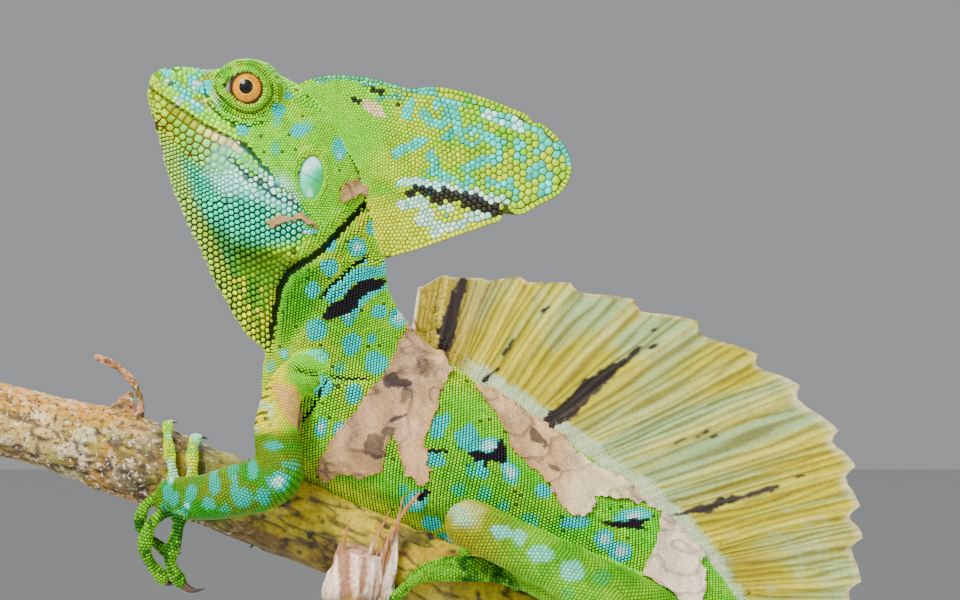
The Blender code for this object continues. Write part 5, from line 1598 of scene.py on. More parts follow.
def loose_skin(ground, flank, look):
    """Torn sheets of old skin still clinging to both flanks, a little away from the scales."""
    step = 0.37
    low, high = flank.flat_box()
    i, j = np.meshgrid(np.arange(low[0], high[0], step), np.arange(low[1], high[1], step),
                       indexing="ij")
    flat = np.stack([i, j], axis=-1).reshape(-1, 2)
    along, across, valid, _ = flank.locate(flat)
    middle = flank.surface(along, across)
    for side, word in ((-1, "left"), (1, "right")):
        centre = middle * [1.0, side, 1.0]
        seen = far_side(sighted(centre), np.full(len(centre), side))
        near = valid & (np.min([from_outline(seen, np.array(s, float)) for s in SHED_SHAPES],
                               axis=0) < 8)
        index = np.nonzero(near)[0]
        place, facing = ground.nearest(centre[index])
        _, distance, tan, _ = flank_paint(place, np.full(len(index), side))
        inside_it = (distance < 0) & (np.linalg.norm(centre[index] - place, axis=1) < 2.6)
        index, place, facing, distance, tan = (v[inside_it] for v in (index, place, facing, distance,
            tan))
        seen = sighted(place)
        inner = np.clip(-distance * SIGHT, 0, 9)
        folds = rough(place * [1.0, 1.0, 0.45], 4.5, 3, 501)
        creases = np.abs(rough(place * [0.7, 0.7, 1.0], 5.5, 2, 503))
        lattice = grid_marks(flat[index], 1.0, -39)
        height = 0.62 + 0.42 * folds + 0.45 * smooth(0.25, 0.0,
                                                     creases) + 0.5 * np.exp(-inner / 0.7) - 0.07 * lattice
        points = place + facing * np.clip(height, 0.3, 2.2)[:, None]
        number = np.full(len(flat), -1)
        number[index] = np.arange(len(index))
        grid = number.reshape(i.shape)
        quads = np.stack([grid[:-1, :-1], grid[1:, :-1], grid[1:, 1:], grid[:-1, 1:]],
                         axis=-1).reshape(-1, 4)
        quads = quads[(quads >= 0).all(axis=1)]
        spans = np.linalg.norm(points[quads] - np.roll(points[quads], 1, axis=1), axis=2).max(axis=1)
        quads = quads[spans < 4 * step]
        if side > 0:
            quads = quads[:, ::-1]
        used = np.unique(quads)
        fresh = np.full(len(points), -1)
        fresh[used] = np.arange(len(used))
        made = array_mesh(f"loose_skin_{word}", points[used], fresh[quads])
        shade = 0.95 + 0.26 * folds - 0.34 * lattice - 0.35 * smooth(0.2, 0.0,
            creases) + 0.2 * np.exp(-inner / 0.5)
        set_tint(made, (tan * shade[:, None])[used], 1.1)
        with_modifier(made, "SOLIDIFY", thickness=0.16 * MM, offset=-1.0)
        made.data.shade_smooth()
        dressed(made, look, "body_skin")


def grid_marks(flat, pitch, angle):
    """How near places lie to the borders of a honeycomb of scales, from 0 to 1."""
    a = math.radians(angle)
    x = (flat[:, 0] * math.cos(a) + flat[:, 1] * math.sin(a)) / pitch
    y = (flat[:, 1] * math.cos(a) - flat[:, 0] * math.sin(a)) / pitch
    waves = [np.cos(2 * math.pi * (x * c + y * s)) for c, s in ((1, 0.577), (1, -0.577), (0, 1.155))]
    return smooth(0.3, -1.2, sum(waves))


def bare(place, flat):
    """Places with no scales of the flank: lids, ear drums and nostrils."""
    head = place[:, 0] < -28
    (cx, cy), (rx, ry) = LID_FOLD
    lid = ((flat[:, 0] - cx) / (rx - 1.5)) ** 2 + ((flat[:, 1] - cy) / (ry - 1.5)) ** 2 < 1
    ex, ey = on_ear(flat)
    ear = ex**2 + ey**2 < 1.02
    nostril = (((flat - NOSTRIL_PLACE) / (4.2, 1.9)) ** 2).sum(axis=1) < 1
    wide = np.abs(place[:, 1])
    return head & ((lid & (wide > 6)) | (ear & (wide > 6)) | (nostril & (wide > 2)))


def side_coat(coat, ground, seeds, real, side, rules, far=1.5):
    """Cells of seeds in the side view, laid on a surface met from that side. The rules give colours
    of scales, gaps and rims, the heights and the map places, from the places and seed numbers."""
    for ids, corners, reach in cells(seeds):
        fine = ids < real
        ids, corners, reach = ids[fine], corners[fine], reach[fine]
        fine = reach < far
        ids, corners = ids[fine], corners[fine]
        if len(ids) == 0:
            continue
        place, facing, hit = ground.from_side(seeds[ids][:, 0], seeds[ids][:, 1], side)
        hit &= np.abs(facing[:, 1]) > 0.22
        ids, corners, place, facing = ids[hit], corners[hit], place[hit], facing[hit]
        off = corners - seeds[ids][:, None, :]
        level = -(facing[:, None, 0] * off[:, :, 0] + facing[:, None, 2]
                  * off[:, :, 1]) / facing[:, None, 1]
        rim = np.stack([corners[:, :, 0], place[:, None, 1] + np.clip(level, -1, 1),
                        corners[:, :, 1]], axis=2)
        if side > 0:
            rim = rim[:, ::-1]
        tint, gap, edge, high, root = rules(place, ids)
        coat.add(place, rim, facing, high, tint, coat.on_map(root), fill=0.9, gap=gap, rim=edge,
                 sink=0.3)


def lid_coat(ground):
    """Granules in rings round each eye, out to the fold of the lids."""
    coat = Coat("scales_lids")
    opening = from_sight(curve_closed(EYE_OPENING, 160))
    ghosts, seeds, rings = [], [], []
    for number, (gap, pitch) in enumerate(LID_ROWS):
        ring = offset_outline(opening, gap)
        length = np.linalg.norm(np.roll(ring, -1, axis=0) - ring, axis=1).sum()
        count = round(length / pitch)
        spots = ring_at(ring, (np.arange(count) + 0.5 * (number % 2)) / count)
        flat = np.stack([spots[:, 0] / SIGHT + SIGHT_X, SIGHT_Z - spots[:, 1] / SIGHT], axis=1)
        share = (((flat - LID_FOLD[0]) / LID_FOLD[1]) ** 2).sum(axis=1)
        real = (share < 1.05) & (gap > 0)
        seeds.append(spots[real])
        rings.append(np.full(real.sum(), number))
        ghosts.append(spots[~real & (share < 1.7)])
    seeds, rings = np.concatenate(seeds), np.concatenate(rings)
    keep = spaced(seeds, 0.5)
    seeds, rings = seeds[keep], rings[keep]

    def rules(place, ids):
        tint, gap = lid_paint(place, rings[ids])
        high = np.where(rings[ids] == 1, 0.32, 0.15)
        return tint, gap, tint * 0.3 + gap * 0.9, high, (sighted(place) - (200, 50)) / (100, 90)

    for side in (-1, 1):
        coat.band = (0.0, 0.5) if side < 0 else (0.5, 1.0)
        side_coat(coat, ground, np.concatenate([seeds, *ghosts]), len(seeds), side, rules)
    return coat


def brow_tops(coat, ground, laid, side):
    """Granules on the top of the eye's bump, in the places that the scales laid so far leave free."""
    coat.band = (0.0, 0.5) if side < 0 else (0.5, 1.0)
    places = np.concatenate([part for other in laid for part in other.roots])
    places = places[(places[:, 2] > 45) & (places[:, 1] * side > 0)]
    tree = KDTree(len(places))
    for k, place in enumerate(places):
        tree.insert(place, k)
    tree.balance()
    middle, reach = from_sight([LID_FOLD[0]])[0][0], LID_FOLD[1][0] * SIGHT * 1.15
    spots = hex_lattice(np.array((middle - reach, 4.0)), np.array((middle + reach, 21.0)), BROW_PITCH,
                        12)
    for ids, corners, far in cells(spots):
        ids, corners = ids[far < 1.3], corners[far < 1.3]
        if len(ids) == 0:
            continue
        starts = [(x, side * y, 90.0) for x, y in spots[ids]]
        place, facing, hit = ground.cast(starts, (0, 0, -1))
        flat = sighted(place)
        hit &= (np.linalg.norm(flat - LID_FOLD[0], axis=1) < BROW_REACH) & (facing[:, 2] > 0.25)
        hit &= np.array([tree.find(spot)[2] for spot in place]) > BROW_ROOM
        ids, corners, place, facing = ids[hit], corners[hit], place[hit], facing[hit]
        off = (corners - spots[ids][:, None]) * (1, side)
        level = -(facing[:, None, 0] * off[:, :, 0] + facing[:, None, 1]
                  * off[:, :, 1]) / facing[:, None, 2]
        rim = place[:, None] + np.concatenate([off, np.clip(level, -1, 1)[:, :, None]], axis=2)
        if side < 0:
            rim = rim[:, ::-1]
        tint, gap = lid_paint(place, np.full(len(ids), 7))
        root = np.stack([(flat[hit][:, 0] - 200) / 100, 0.1 - (np.abs(place[:, 1]) - 4) / 170], axis=1)
        coat.add(place, rim, facing, 0.16, tint, coat.on_map(root), fill=0.9, gap=gap, rim=tint * 0.6,
                 sink=0.3)


LID_ROWS = (
    (-0.55, 0.9), (0.40, 0.78), (1.12, 0.80), (1.78, 0.72), (2.42, 0.72), (3.06, 0.74), (3.72, 0.78),
    (4.42, 0.82), (5.16, 0.86), (5.95, 0.9), (6.75, 0.95), (7.6, 1.0), (8.5, 1.0), (9.4, 1.0),
)


def curve_closed(points, count):
    points = np.asarray(points, float)
    around = np.concatenate([points[-3:], points, points[:3]])
    steps = np.linalg.norm(np.diff(around, axis=0), axis=1)
    along = np.concatenate([[0.0], np.cumsum(steps)])
    return hermite(along, around, np.linspace(along[3], along[3 + len(points)], count, endpoint=False))


def ring_at(ring, shares):
    closed = np.concatenate([ring, ring[:1]])
    along = np.concatenate([[0.0], np.cumsum(np.linalg.norm(np.diff(closed, axis=0), axis=1))])
    at = np.asarray(shares) % 1.0 * along[-1]
    return np.stack([np.interp(at, along, closed[:, 0]), np.interp(at, along, closed[:, 1])], axis=1)


def offset_outline(ring, gap):
    """An outline moved outwards by a gap, evened out where it would cross itself."""
    ahead = np.roll(ring, -1, axis=0) - np.roll(ring, 1, axis=0)
    ahead /= np.linalg.norm(ahead, axis=1)[:, None]
    out = np.stack([ahead[:, 1], -ahead[:, 0]], axis=1)
    middle = ring.mean(axis=0)
    if ((ring - middle) * out).sum() < 0:
        out = -out
    moved = ring + out * gap
    for _ in range(6):
        moved = (np.roll(moved, 1, axis=0) + moved * 2 + np.roll(moved, -1, axis=0)) / 4
    return moved


def spaced(points, least):
    """Which points stand at least so far from every earlier one kept."""
    keep = np.ones(len(points), bool)
    for k in range(1, len(points)):
        off = points[:k][keep[:k]] - points[k]
        keep[k] = (off**2).sum(axis=1).min() > least**2
    return keep


def lid_paint(place, rings):
    flat = sighted(place)
    rng = np.random.default_rng(len(place) + 13)
    per = rng.normal(0, 1, len(place))
    patch = rough(flat, 12.0, 2, 181)
    colour = mixed(tone(124, 182, 74), tone(166, 208, 66), smooth(-0.5, 0.6, patch))
    gap = from_outline(flat, np.array(EYE_OPENING, float)) * SIGHT
    low = smooth(88, 104, flat[:, 1])
    colour = layered(
        colour,
        (tone(176, 206, 96), smooth(1.6, 0.4, gap) * low),
        (PALE_MINT * 0.9, smooth(228, 214, flat[:, 0]) * smooth(84, 100, flat[:, 1]) * 0.7),
        (tone(176, 168, 140), smooth(0.3, 0.7, rough(flat, 8.0, 2, 183)) * low * 0.4),
    )
    # Darker rings along the lid's folds: painted shade in the folds.
    fold = ((rings == 8) | (rings == 12)) & (flat[:, 1] < 92) | (rings == 4) & (flat[:, 1] > 88)
    colour = mixed(colour, tone(70, 92, 30), fold * 0.75)
    colour = colour * (1 + 0.1 * per)[:, None]
    gaps = mixed(colour * 0.42, np.zeros(3) + 0.004, smooth(0.9, 0.2, gap))
    return np.clip(colour, 0, 1), np.clip(gaps, 0, 1)


def ear_drums(ground, look):
    """A smooth glossy drum in each ear hollow."""
    turn = math.radians(EAR_TURN)
    radii, angles = np.linspace(0, 1.06, 18), np.linspace(0, 2 * math.pi, 56, endpoint=False)
    for side, word in ((-1, "left"), (1, "right")):
        def spread(share):
            ex, ey = np.cos(angles) * EAR_SIZE[0] * share, np.sin(angles) * EAR_SIZE[1] * share
            flat = np.stack([
                EAR_PLACE[0] + ex * math.cos(turn) - ey * math.sin(turn),
                EAR_PLACE[1] + ex * math.sin(turn) + ey * math.cos(turn),
            ], axis=1)
            return from_sight(flat)
        edge = spread(1.0)
        place, _, hit = ground.from_side(edge[:, 0], edge[:, 1], side)
        ways = np.stack([np.ones(hit.sum()), edge[hit, 0], edge[hit, 1]], axis=1)
        plane, *_ = np.linalg.lstsq(ways, place[hit, 1], rcond=None)
        rings = []
        for share in radii[1:]:
            xz = spread(share)
            level = plane[0] + xz @ plane[1:]
            bulge = 0.9 * (1 - share**2) - 0.2 - 0.5 * smooth(0.94, 1.06, share)
            ripple = 0.05 * rough(np.stack([xz[:, 0], xz[:, 1]], axis=1), 2.4, 2, 191)
            rings.append(np.stack([xz[:, 0], level + side * (bulge + ripple), xz[:, 1]], axis=1))
        middle = spread(0.0)[:1]
        tip = np.array([[middle[0, 0], plane[0] + middle[0] @ plane[1:] + side * 0.63, middle[0, 1]]])
        points = np.concatenate([*rings, tip])
        index = np.arange((len(radii) - 1) * len(angles)).reshape(len(radii) - 1, -1)
        ahead = np.roll(index, -1, axis=1)
        quads = np.stack([index[:-1], index[1:], ahead[1:], ahead[:-1]], axis=-1).reshape(-1, 4)
        tris = np.stack([index[0], ahead[0], np.full(len(angles), len(points) - 1)], axis=1)
        if side > 0:
            quads, tris = quads[:, ::-1], tris[:, ::-1]
        drum = array_mesh(f"ear_drum_{word}", points, quads, tris)
        flat = sighted(points)
        share = np.concatenate([np.repeat(radii[1:], len(angles)), [0.0]])
        height = (EAR_PLACE[1] - flat[:, 1]) / EAR_SIZE[1]
        patch = rough(flat, 9.0, 3, 193)
        across = (flat[:, 0] - EAR_PLACE[0]) / EAR_SIZE[0]
        colour = mixed(tone(40, 176, 120), tone(140, 216, 196),
                       smooth(-0.45, 0.5, height - 0.5 * across + 0.35 * patch))
        colour = layered(
            colour,
            # whitish towards the top: a painted highlight
            (tone(220, 244, 238), smooth(0.0, 0.6, height - 0.25 * across + 0.3 * patch) * 0.75),
            (tone(196, 236, 214), smooth(0.35, 0.1, np.hypot(across + 0.05, height + 0.75)) * 0.8),
        )
        fold = np.abs(height + 0.28 * across + 0.05 * patch)
        colour = layered(
            colour,
            # a darker line along the drum's fold: painted shade
            (tone(30, 128, 96), smooth(0.09, 0.02, fold) * 0.6),
            (tone(48, 160, 140), smooth(0.78, 0.95, share) * smooth(0.2, -0.5, across) * 0.8),
            # dark at the upper right of the edge: painted shade under the ear's rim
            (tone(22, 72, 34), smooth(0.84, 1.0, share) * smooth(-0.3, 0.5, height + across) * 0.9),
        )
        set_tint(drum, colour)
        drum.data.shade_smooth()
        dressed(drum, look, "head_skin")


# Eyes and claws.


def eyeball(name, side, look):
    """An eyeball whose clear front swells a little, its pole towards the side it looks to."""
    bpy.ops.object.select_all(action="DESELECT")
    bpy.ops.mesh.primitive_uv_sphere_add(segments=72, ring_count=48, radius=1.0,
                                         rotation=(-side * math.pi / 2, 0, 0))
    ball = bpy.context.active_object
    ball.name = name
    bpy.ops.object.transform_apply(location=True, rotation=True, scale=True)
    shape = np.empty(len(ball.data.vertices) * 3)
    ball.data.vertices.foreach_get("co", shape)
    shape = shape.reshape(-1, 3) * EYEBALL_RADIUS
    across = np.hypot(shape[:, 0], shape[:, 2])
    front = (shape[:, 1] * side > 0) * np.clip(1 - (across / CORNEA_REACH) ** 2, 0, 1)
    shape[:, 1] += side * CORNEA_RISE * front**1.2
    centre = np.array([EYEBALL[0], side * EYEBALL[1], EYEBALL[2]])
    move_to(ball, shape + centre)
    ball.data.shade_smooth()
    return dressed(ball, look, "eye", name)


EYEBALL = (-62.4, 7.55, 56.75)
EYEBALL_RADIUS = 6.7
CORNEA_REACH, CORNEA_RISE = 4.4, 0.45


def claws(look):
    """Hooked claws, each bending round from its digit's way to its hook's, ridged along the back."""
    rings = []
    shares = np.linspace(-0.28, 1.0, 18)
    turn = np.linspace(0, 2 * math.pi, 14, endpoint=False)
    ridge = 1 + 0.16 * np.clip(-np.cos(turn), 0, 1) ** 3
    for number, (_, (start, ahead, hook, length, radius)) in enumerate(DIGITS):
        bend = CLAW_BENDS[number] if number < len(CLAW_BENDS) else CLAW_BEND
        s = np.clip(shares, 0, 1) * bend
        forward = np.where(shares < 0, shares, np.sin(s) / bend)
        path = start + length * (np.outer(forward, ahead) + np.outer((1 - np.cos(s)) / bend, hook))
        thick = radius * 0.78 * np.clip(1 - np.clip(shares, 0, 1) ** 1.35, 0.035,
                                        1) * np.where(shares < 0, 0.9, 1.0)
        up, out = frames(path, hook + ahead * 0.01)
        rings.append(np.array([
            p + np.outer(np.cos(turn) * r * ridge, u) + np.outer(np.sin(turn) * r * 0.72, o)
            for p, r, u, o in zip(path, thick, up, out)
        ]))
    made = gathered("claws", rings)
    points = places(made)
    share = np.tile(np.repeat(shares, 14), len(rings))
    streak = rough(points, 0.9, 2, 201)
    colour = mixed(tone(72, 48, 34), tone(30, 20, 16), smooth(0.1, 0.8, share + 0.2 * streak))
    set_tint(made, colour)
    outwards(made)
    made.data.shade_smooth()
    return dressed(made, look, "limb_skin")


CLAW_BENDS, CLAW_BEND = (1.5, 1.5, 1.3, 1.3, 1.5), 0.9


def outwards(obj):
    """Turns every face of closed meshes outwards, by edit mode's own operator."""
    bpy.ops.object.select_all(action="DESELECT")
    bpy.context.view_layer.objects.active = obj
    obj.select_set(True)
    bpy.ops.object.mode_set(mode="EDIT")
    bpy.ops.mesh.select_all(action="SELECT")
    bpy.ops.mesh.normals_make_consistent(inside=False)
    bpy.ops.object.mode_set(mode="OBJECT")
    obj.select_set(False)


# The crest.

CREST_ROOT = ((-49.8, 55.0), (-44.0, 50.5), (-38.6, 43.5), (-33.4, 35.0), (-30.5, 24.0), (-29.0, 12.0))
CREST_EDGE = (
    (-50.4, 57.6), (-46.0, 59.6), (-41.5, 60.6), (-36.0, 60.7), (-29.0, 59.8), (-22.0, 57.9),
    (-18.4, 57.0), (-14.0, 57.6), (-11.0, 57.5), (-2.0, 55.6), (8.6, 51.8), (12.8, 49.9), (14.6, 48.0),
    (16.6, 47.6), (19.4, 45.6), (22.6, 42.0), (24.8, 35.8), (22.6, 29.8), (16.0, 25.6), (9.4, 23.2),
    (8.0, 24.2), (7.0, 25.8), (6.2, 24.0), (5.8, 21.8), (2.0, 20.2), (-6.0, 17.4), (-17.0, 13.6),
    (-25.0, 11.4),
)
# Turquoise, white-hearted, pale and black bands of the crest: their lines as sighted, and widths.
# The three short black lines by the front fold are painted shadow in that fold.
CREST_BANDS = (
    (((411, 101), (408, 109), (404, 116)), 4.6, "t"),
    (((424.5, 113), (428, 121), (436, 125), (444, 121), (449, 117)), 4.0, "t"),
    (((437, 104), (446, 101), (459, 102)), 4.6, "t"),
    (((453, 101), (451, 114), (459, 121), (463, 130), (448, 135)), 4.8, "t"),
    (((470, 131), (480, 131), (489, 138), (501, 145), (495, 158), (480, 161), (467, 168)), 5.0, "t"),
    (((464, 143), (474, 143)), 3.8, "t"), (((396, 154), (408, 149), (422, 140.5)), 5.0, "t"),
    (((431, 156), (436, 163), (433, 170), (443, 176), (451, 177)), 4.6, "t"),
    (((401, 183), (416, 181), (430, 184), (446, 187)), 5.0, "w"),
    (((465, 187), (471, 179.5)), 4.4, "t"),
    (((489, 184), (506, 184), (512, 178), (514, 192)), 4.2, "t"),
    (((518, 144.6), (520, 145)), 5.6, "t"), (((519, 158), (521, 158)), 4.8, "t"),
    (((535.6, 130), (544, 141), (537, 155)), 4.2, "t"),
    (((557, 150), (567, 145), (569, 163)), 4.8, "t"),
    (((529, 178), (537, 166), (552, 175), (544, 193)), 4.6, "t"),
    (((485, 113), (499, 118), (524, 128)), 4.4, "w"), (((418, 91.5), (436, 93)), 4.0, "t"),
    (((318, 81), (330, 78), (350, 77), (368, 82), (390, 82), (410, 88)), 3.4, "e"),
    (((463, 104), (474, 101)), 3.0, "f"), (((380, 99), (392, 96), (404, 97)), 3.0, "e"),
    (((453, 190), (471, 193), (490, 198), (503, 202)), 4.6, "p"),
    (((401, 204), (423, 201), (430, 212), (420, 219), (437, 226)), 5.2, "p"),
    (((433, 234), (456, 227.5), (471, 216), (484, 217)), 5.0, "p"),
    (((437, 209), (452, 208)), 3.0, "p"), (((408, 194), (418, 188.5), (431, 192)), 3.4, "b"),
    (((437, 199), (446, 193), (468, 201), (484, 207), (496, 212)), 6.0, "b"),
    # short black lines by the front fold: painted shadow in the fold
    (((374, 90), (384, 92)), 2.0, "b"), (((354, 99), (358, 101)), 2.4, "b"),
    (((396, 104), (402, 108)), 1.8, "b"),
)
CREST_FOLDS = (
    (((368, 88), (384, 96), (404, 100), (414, 92)), 0.7),
    (((474, 104), (500, 118), (530, 124), (560, 132)), 0.6),
    (((440, 96), (452, 120), (450, 150), (430, 180)), 0.4),
    (((500, 110), (506, 140), (496, 176)), 0.35),
)


def crest_form(x, z):
    """The crest's middle plane and half thickness at places of the side view."""
    flat = np.stack([x, z], axis=1)
    root_distance, _, _ = from_line(flat, CREST_ROOT)
    edge_distance, _, _ = from_line(flat, CREST_EDGE)
    share = root_distance / (root_distance + edge_distance + 1e-6)
    half = 0.42 + 1.9 * np.clip(1 - share, 0, 1) ** 1.4
    sway = 0.75 * grain(np.stack([x, z], axis=1), 15.0, 8) * smooth(0.05, 0.6, share)
    seen = np.stack([x / SIGHT + SIGHT_X, SIGHT_Z - z / SIGHT], axis=1)
    for line, depth in CREST_FOLDS:
        distance, _, _ = from_line(seen, line)
        sway = sway + depth * np.exp(-((distance * SIGHT / 1.3) ** 2)) * smooth(0.05, 0.4, share)
    return sway, half


def crest_paint(points):
    """Colours of the crest's scales and of their rims."""
    flat = sighted(points)
    rng = np.random.default_rng(len(points) + 17)
    per = rng.normal(0, 1, len(points))
    patch = rough(flat, 30.0, 2, 211)
    fine = rough(flat, 9.0, 2, 213)
    colour = mixed(tone(178, 202, 0), tone(134, 184, 0), smooth(-0.3, 0.6, patch + 0.2 * per))
    colour = layered(
        colour,
        (YELLOW, smooth(0.0, 0.8, fine) * 0.4),
        (mixed(HEAD_GREEN, LEAF, 0.5), smooth(408, 366, flat[:, 0] + 0.3 * (flat[:, 1] - 130)) * 0.85),
        (tone(138, 158, 12), smooth(0.2, 0.8, rough(flat, 14.0, 2, 219)) * 0.5),
    )
    low = smooth(192, 214, flat[:, 1] - 0.12 * (flat[:, 0] - 400)) * smooth(520, 480, flat[:, 0])
    colour = mixed(colour, tone(204, 210, 0), low * 0.8)
    rim = colour * 0.36
    wobble = 1.6 * fine
    strength = dict.fromkeys("twfpbe", np.zeros(len(points)))
    heart = np.zeros(len(points))
    for line, half, kind in CREST_BANDS:
        distance, _, _ = from_line(flat, line)
        strength[kind] = np.maximum(strength[kind], smooth(half + 0.7, half - 0.7, distance + wobble))
        if kind == "w":
            heart = np.maximum(heart, smooth(half, 0.4 * half, distance + wobble))
    blue = np.clip(strength["t"] + strength["w"], 0, 1) > 0.5
    blues = mixed(tone(44, 172, 156), tone(92, 206, 200), smooth(-0.6, 0.8, fine + 0.4 * per))
    colour = mixed(colour, blues, blue * 0.96)
    rim = mixed(rim, mixed(tone(150, 224, 200), tone(60, 150, 130), smooth(-0.2, 0.7, per)), blue * 0.9)
    colour = layered(
        colour,
        (mixed(tone(92, 160, 140), tone(130, 196, 170), smooth(-0.5, 0.5, per)),
         (strength["e"] > 0.5) * 0.85),
        (blues, (strength["f"] > 0.5) * 0.5),
    )
    pale = mixed(tone(176, 222, 214), tone(214, 236, 222), smooth(-0.5, 0.5, per))
    colour = layered(
        colour,
        (pale, (strength["p"] > 0.5) * 0.92),
        (ICE, (heart > 0.4) * 0.85),
    )
    lone = (rng.random(len(points)) < 0.018) & (flat[:, 0] > 405)
    colour = mixed(colour, blues, lone * 0.8)
    # black bands; the short ones by the front fold are painted shadow
    black = strength["b"] > 0.5
    colour = mixed(colour, tone(30, 22, 34), black * 0.97)
    rim = mixed(rim, tone(10, 8, 12), black)
    shed = area(flat, ((361, 99), (376, 102), (386, 110), (385, 119), (374, 116), (364, 108)), 2) > 0.5
    colour = mixed(colour, tone(226, 204, 180), shed * 0.95)
    rim = mixed(rim, tone(150, 120, 96), shed * 0.9)
    return np.clip(colour * (1 + 0.09 * per)[:, None], 0, 1), np.clip(rim, 0, 1)


def plate(name, root, edge, columns, rows, form, paint, look, slot, *nodes):
    """A thin closed plate between a root line and an edge line."""
    a, b = curve_through(root, columns), curve_through(edge, columns)
    shares = np.linspace(0, 1, rows)
    xz = a[:, None] + (b - a)[:, None] * shares[None, :, None]
    flat = xz.reshape(-1, 2)
    sway, half = form(flat[:, 0], flat[:, 1])
    sheets = [np.stack([flat[:, 0], sway + side * (half - 0.12), flat[:, 1]],
                       axis=1) for side in (-1, 1)]
    return closed_plate(name, sheets, columns, rows, paint, look, slot, *nodes)


def closed_plate(name, sheets, columns, rows, paint, look, slot, *nodes, vivid=1.55):
    count = columns * rows
    index = np.arange(count).reshape(columns, rows)
    near = np.stack([index[:-1, :-1], index[1:, :-1], index[1:, 1:], index[:-1, 1:]],
                    axis=-1).reshape(-1, 4)
    rim = np.concatenate([index[:, 0], index[-1, 1:], index[-2::-1, -1], index[0, -2:0:-1]])
    ahead = np.roll(rim, -1)
    band = np.stack([rim, rim + count, ahead + count, ahead], axis=1)
    quads = np.concatenate([near, near[:, ::-1] + count, band])
    points = np.concatenate(sheets)
    made = array_mesh(name, points, quads)
    set_tint(made, paint(points) if callable(paint) else paint, vivid)
    outwards(made)
    made.data.shade_smooth()
    return dressed(made, look, slot, *nodes)


CREST_CENTRE, CREST_FIRST, CREST_STEP = (-58.0, 37.0), 12.0, 0.0262


def crest_lattice():
    """Scale places in rows fanned out from the skull, their spacing growing towards the tip."""
    i, j = np.meshgrid(np.arange(0, 84), np.arange(-60, 61), indexing="ij")
    radius = CREST_FIRST * np.exp(i * CREST_STEP * 0.92)
    angle = (j + 0.5 * (i % 2)) * CREST_STEP * 1.08
    x, z = CREST_CENTRE[0] + radius * np.cos(angle), CREST_CENTRE[1] + radius * np.sin(angle)
    return np.stack([x.ravel(), z.ravel()], axis=1), (radius * CREST_STEP).ravel()


def crests(look, scale_look):
    plate("crest", CREST_ROOT, CREST_EDGE, 220, 60, crest_form, lambda p: crest_paint(p)[0] * 0.10,
          look, "crest_skin",
          "crest_front", "crest_rear")
    outline = np.concatenate([curve_through(CREST_ROOT, 40), curve_through(CREST_EDGE, 400)[::-1]])
    edge = curve_through(CREST_EDGE, 900)
    rng = np.random.default_rng(19)
    ahead = np.gradient(edge, axis=0)
    ahead /= np.linalg.norm(ahead, axis=1)[:, None] + 1e-9
    out = np.stack([-ahead[:, 1], ahead[:, 0]], axis=1)
    length = np.linalg.norm(np.diff(edge, axis=0), axis=1).sum()
    index = (np.arange(int(length / 1.3)) * 1.3 / length * 899).astype(int)
    border, beyond = edge[index] - out[index] * 0.50, edge[index] + out[index] * 0.42
    inner, pitch = crest_lattice()
    inner = inner + rng.normal(0, 0.10, inner.shape) * pitch[:, None]
    keep = inside(inner, outline)
    distance, _, _ = from_line(inner, edge)
    keep &= distance > 0.62 + 0.45 * pitch
    inner, pitch = inner[keep], pitch[keep]
    first = border[inside(border, outline)]
    real = np.concatenate([first, inner])
    pitch = np.concatenate([np.full(len(first), 1.3), pitch])
    seeds = np.concatenate([real, beyond])
    coat = Coat("scales_crest")
    low, high = seeds.min(axis=0), seeds.max(axis=0)
    for side in (-1, 1):
        coat.band = (0.0, 0.5) if side < 0 else (0.5, 1.0)

        def surface(flat):
            sway, half = crest_form(flat[:, 0], flat[:, 1])
            return sway + side * half

        for ids, corners, reach in cells(seeds):
            fine = (ids < len(real))
            ids, corners, reach = ids[fine], corners[fine], reach[fine]
            fine = reach < 2.6 * pitch[ids]
            ids, corners, reach = ids[fine], corners[fine], reach[fine]
            if len(ids) == 0:
                continue
            k = corners.shape[1]
            middle = seeds[ids]
            spread = corners - middle[:, None]
            far = np.linalg.norm(spread, axis=2) / (0.95 * pitch[ids])[:, None]
            corners = middle[:, None] + spread * np.minimum(1, 1 / np.maximum(far, 1e-6))[:, :, None]
            y = surface(middle)
            step = 0.3
            fx = (surface(middle + [step, 0]) - surface(middle - [step, 0])) / (2 * step)
            fz = (surface(middle + [0, step]) - surface(middle - [0, step])) / (2 * step)
            facing = np.stack([-fx * side, np.ones(len(ids)), -fz * side], axis=1) * [1, side, 1]
            facing /= np.linalg.norm(facing, axis=1)[:, None]
            flat = corners.reshape(-1, 2)
            rim = np.stack([flat[:, 0], surface(flat), flat[:, 1]], axis=1).reshape(-1, k, 3)
            place = np.stack([middle[:, 0], y, middle[:, 1]], axis=1)
            if side > 0:
                rim = rim[:, ::-1]
            tint, edge_tint = crest_paint(place if side < 0 else place + [2.0, 0, -1.5])
            root = (middle - low) / (high - low)
            height = 0.10 + 0.085 * pitch[ids]
            coat.add(place, rim, facing, height, tint, coat.on_map(root), fill=0.95, crown=0.78,
                     sink=0.2, rim=edge_tint)
    coat.piece(scale_look, "crest_skin")


# The sail of the back and the fin of the tail.

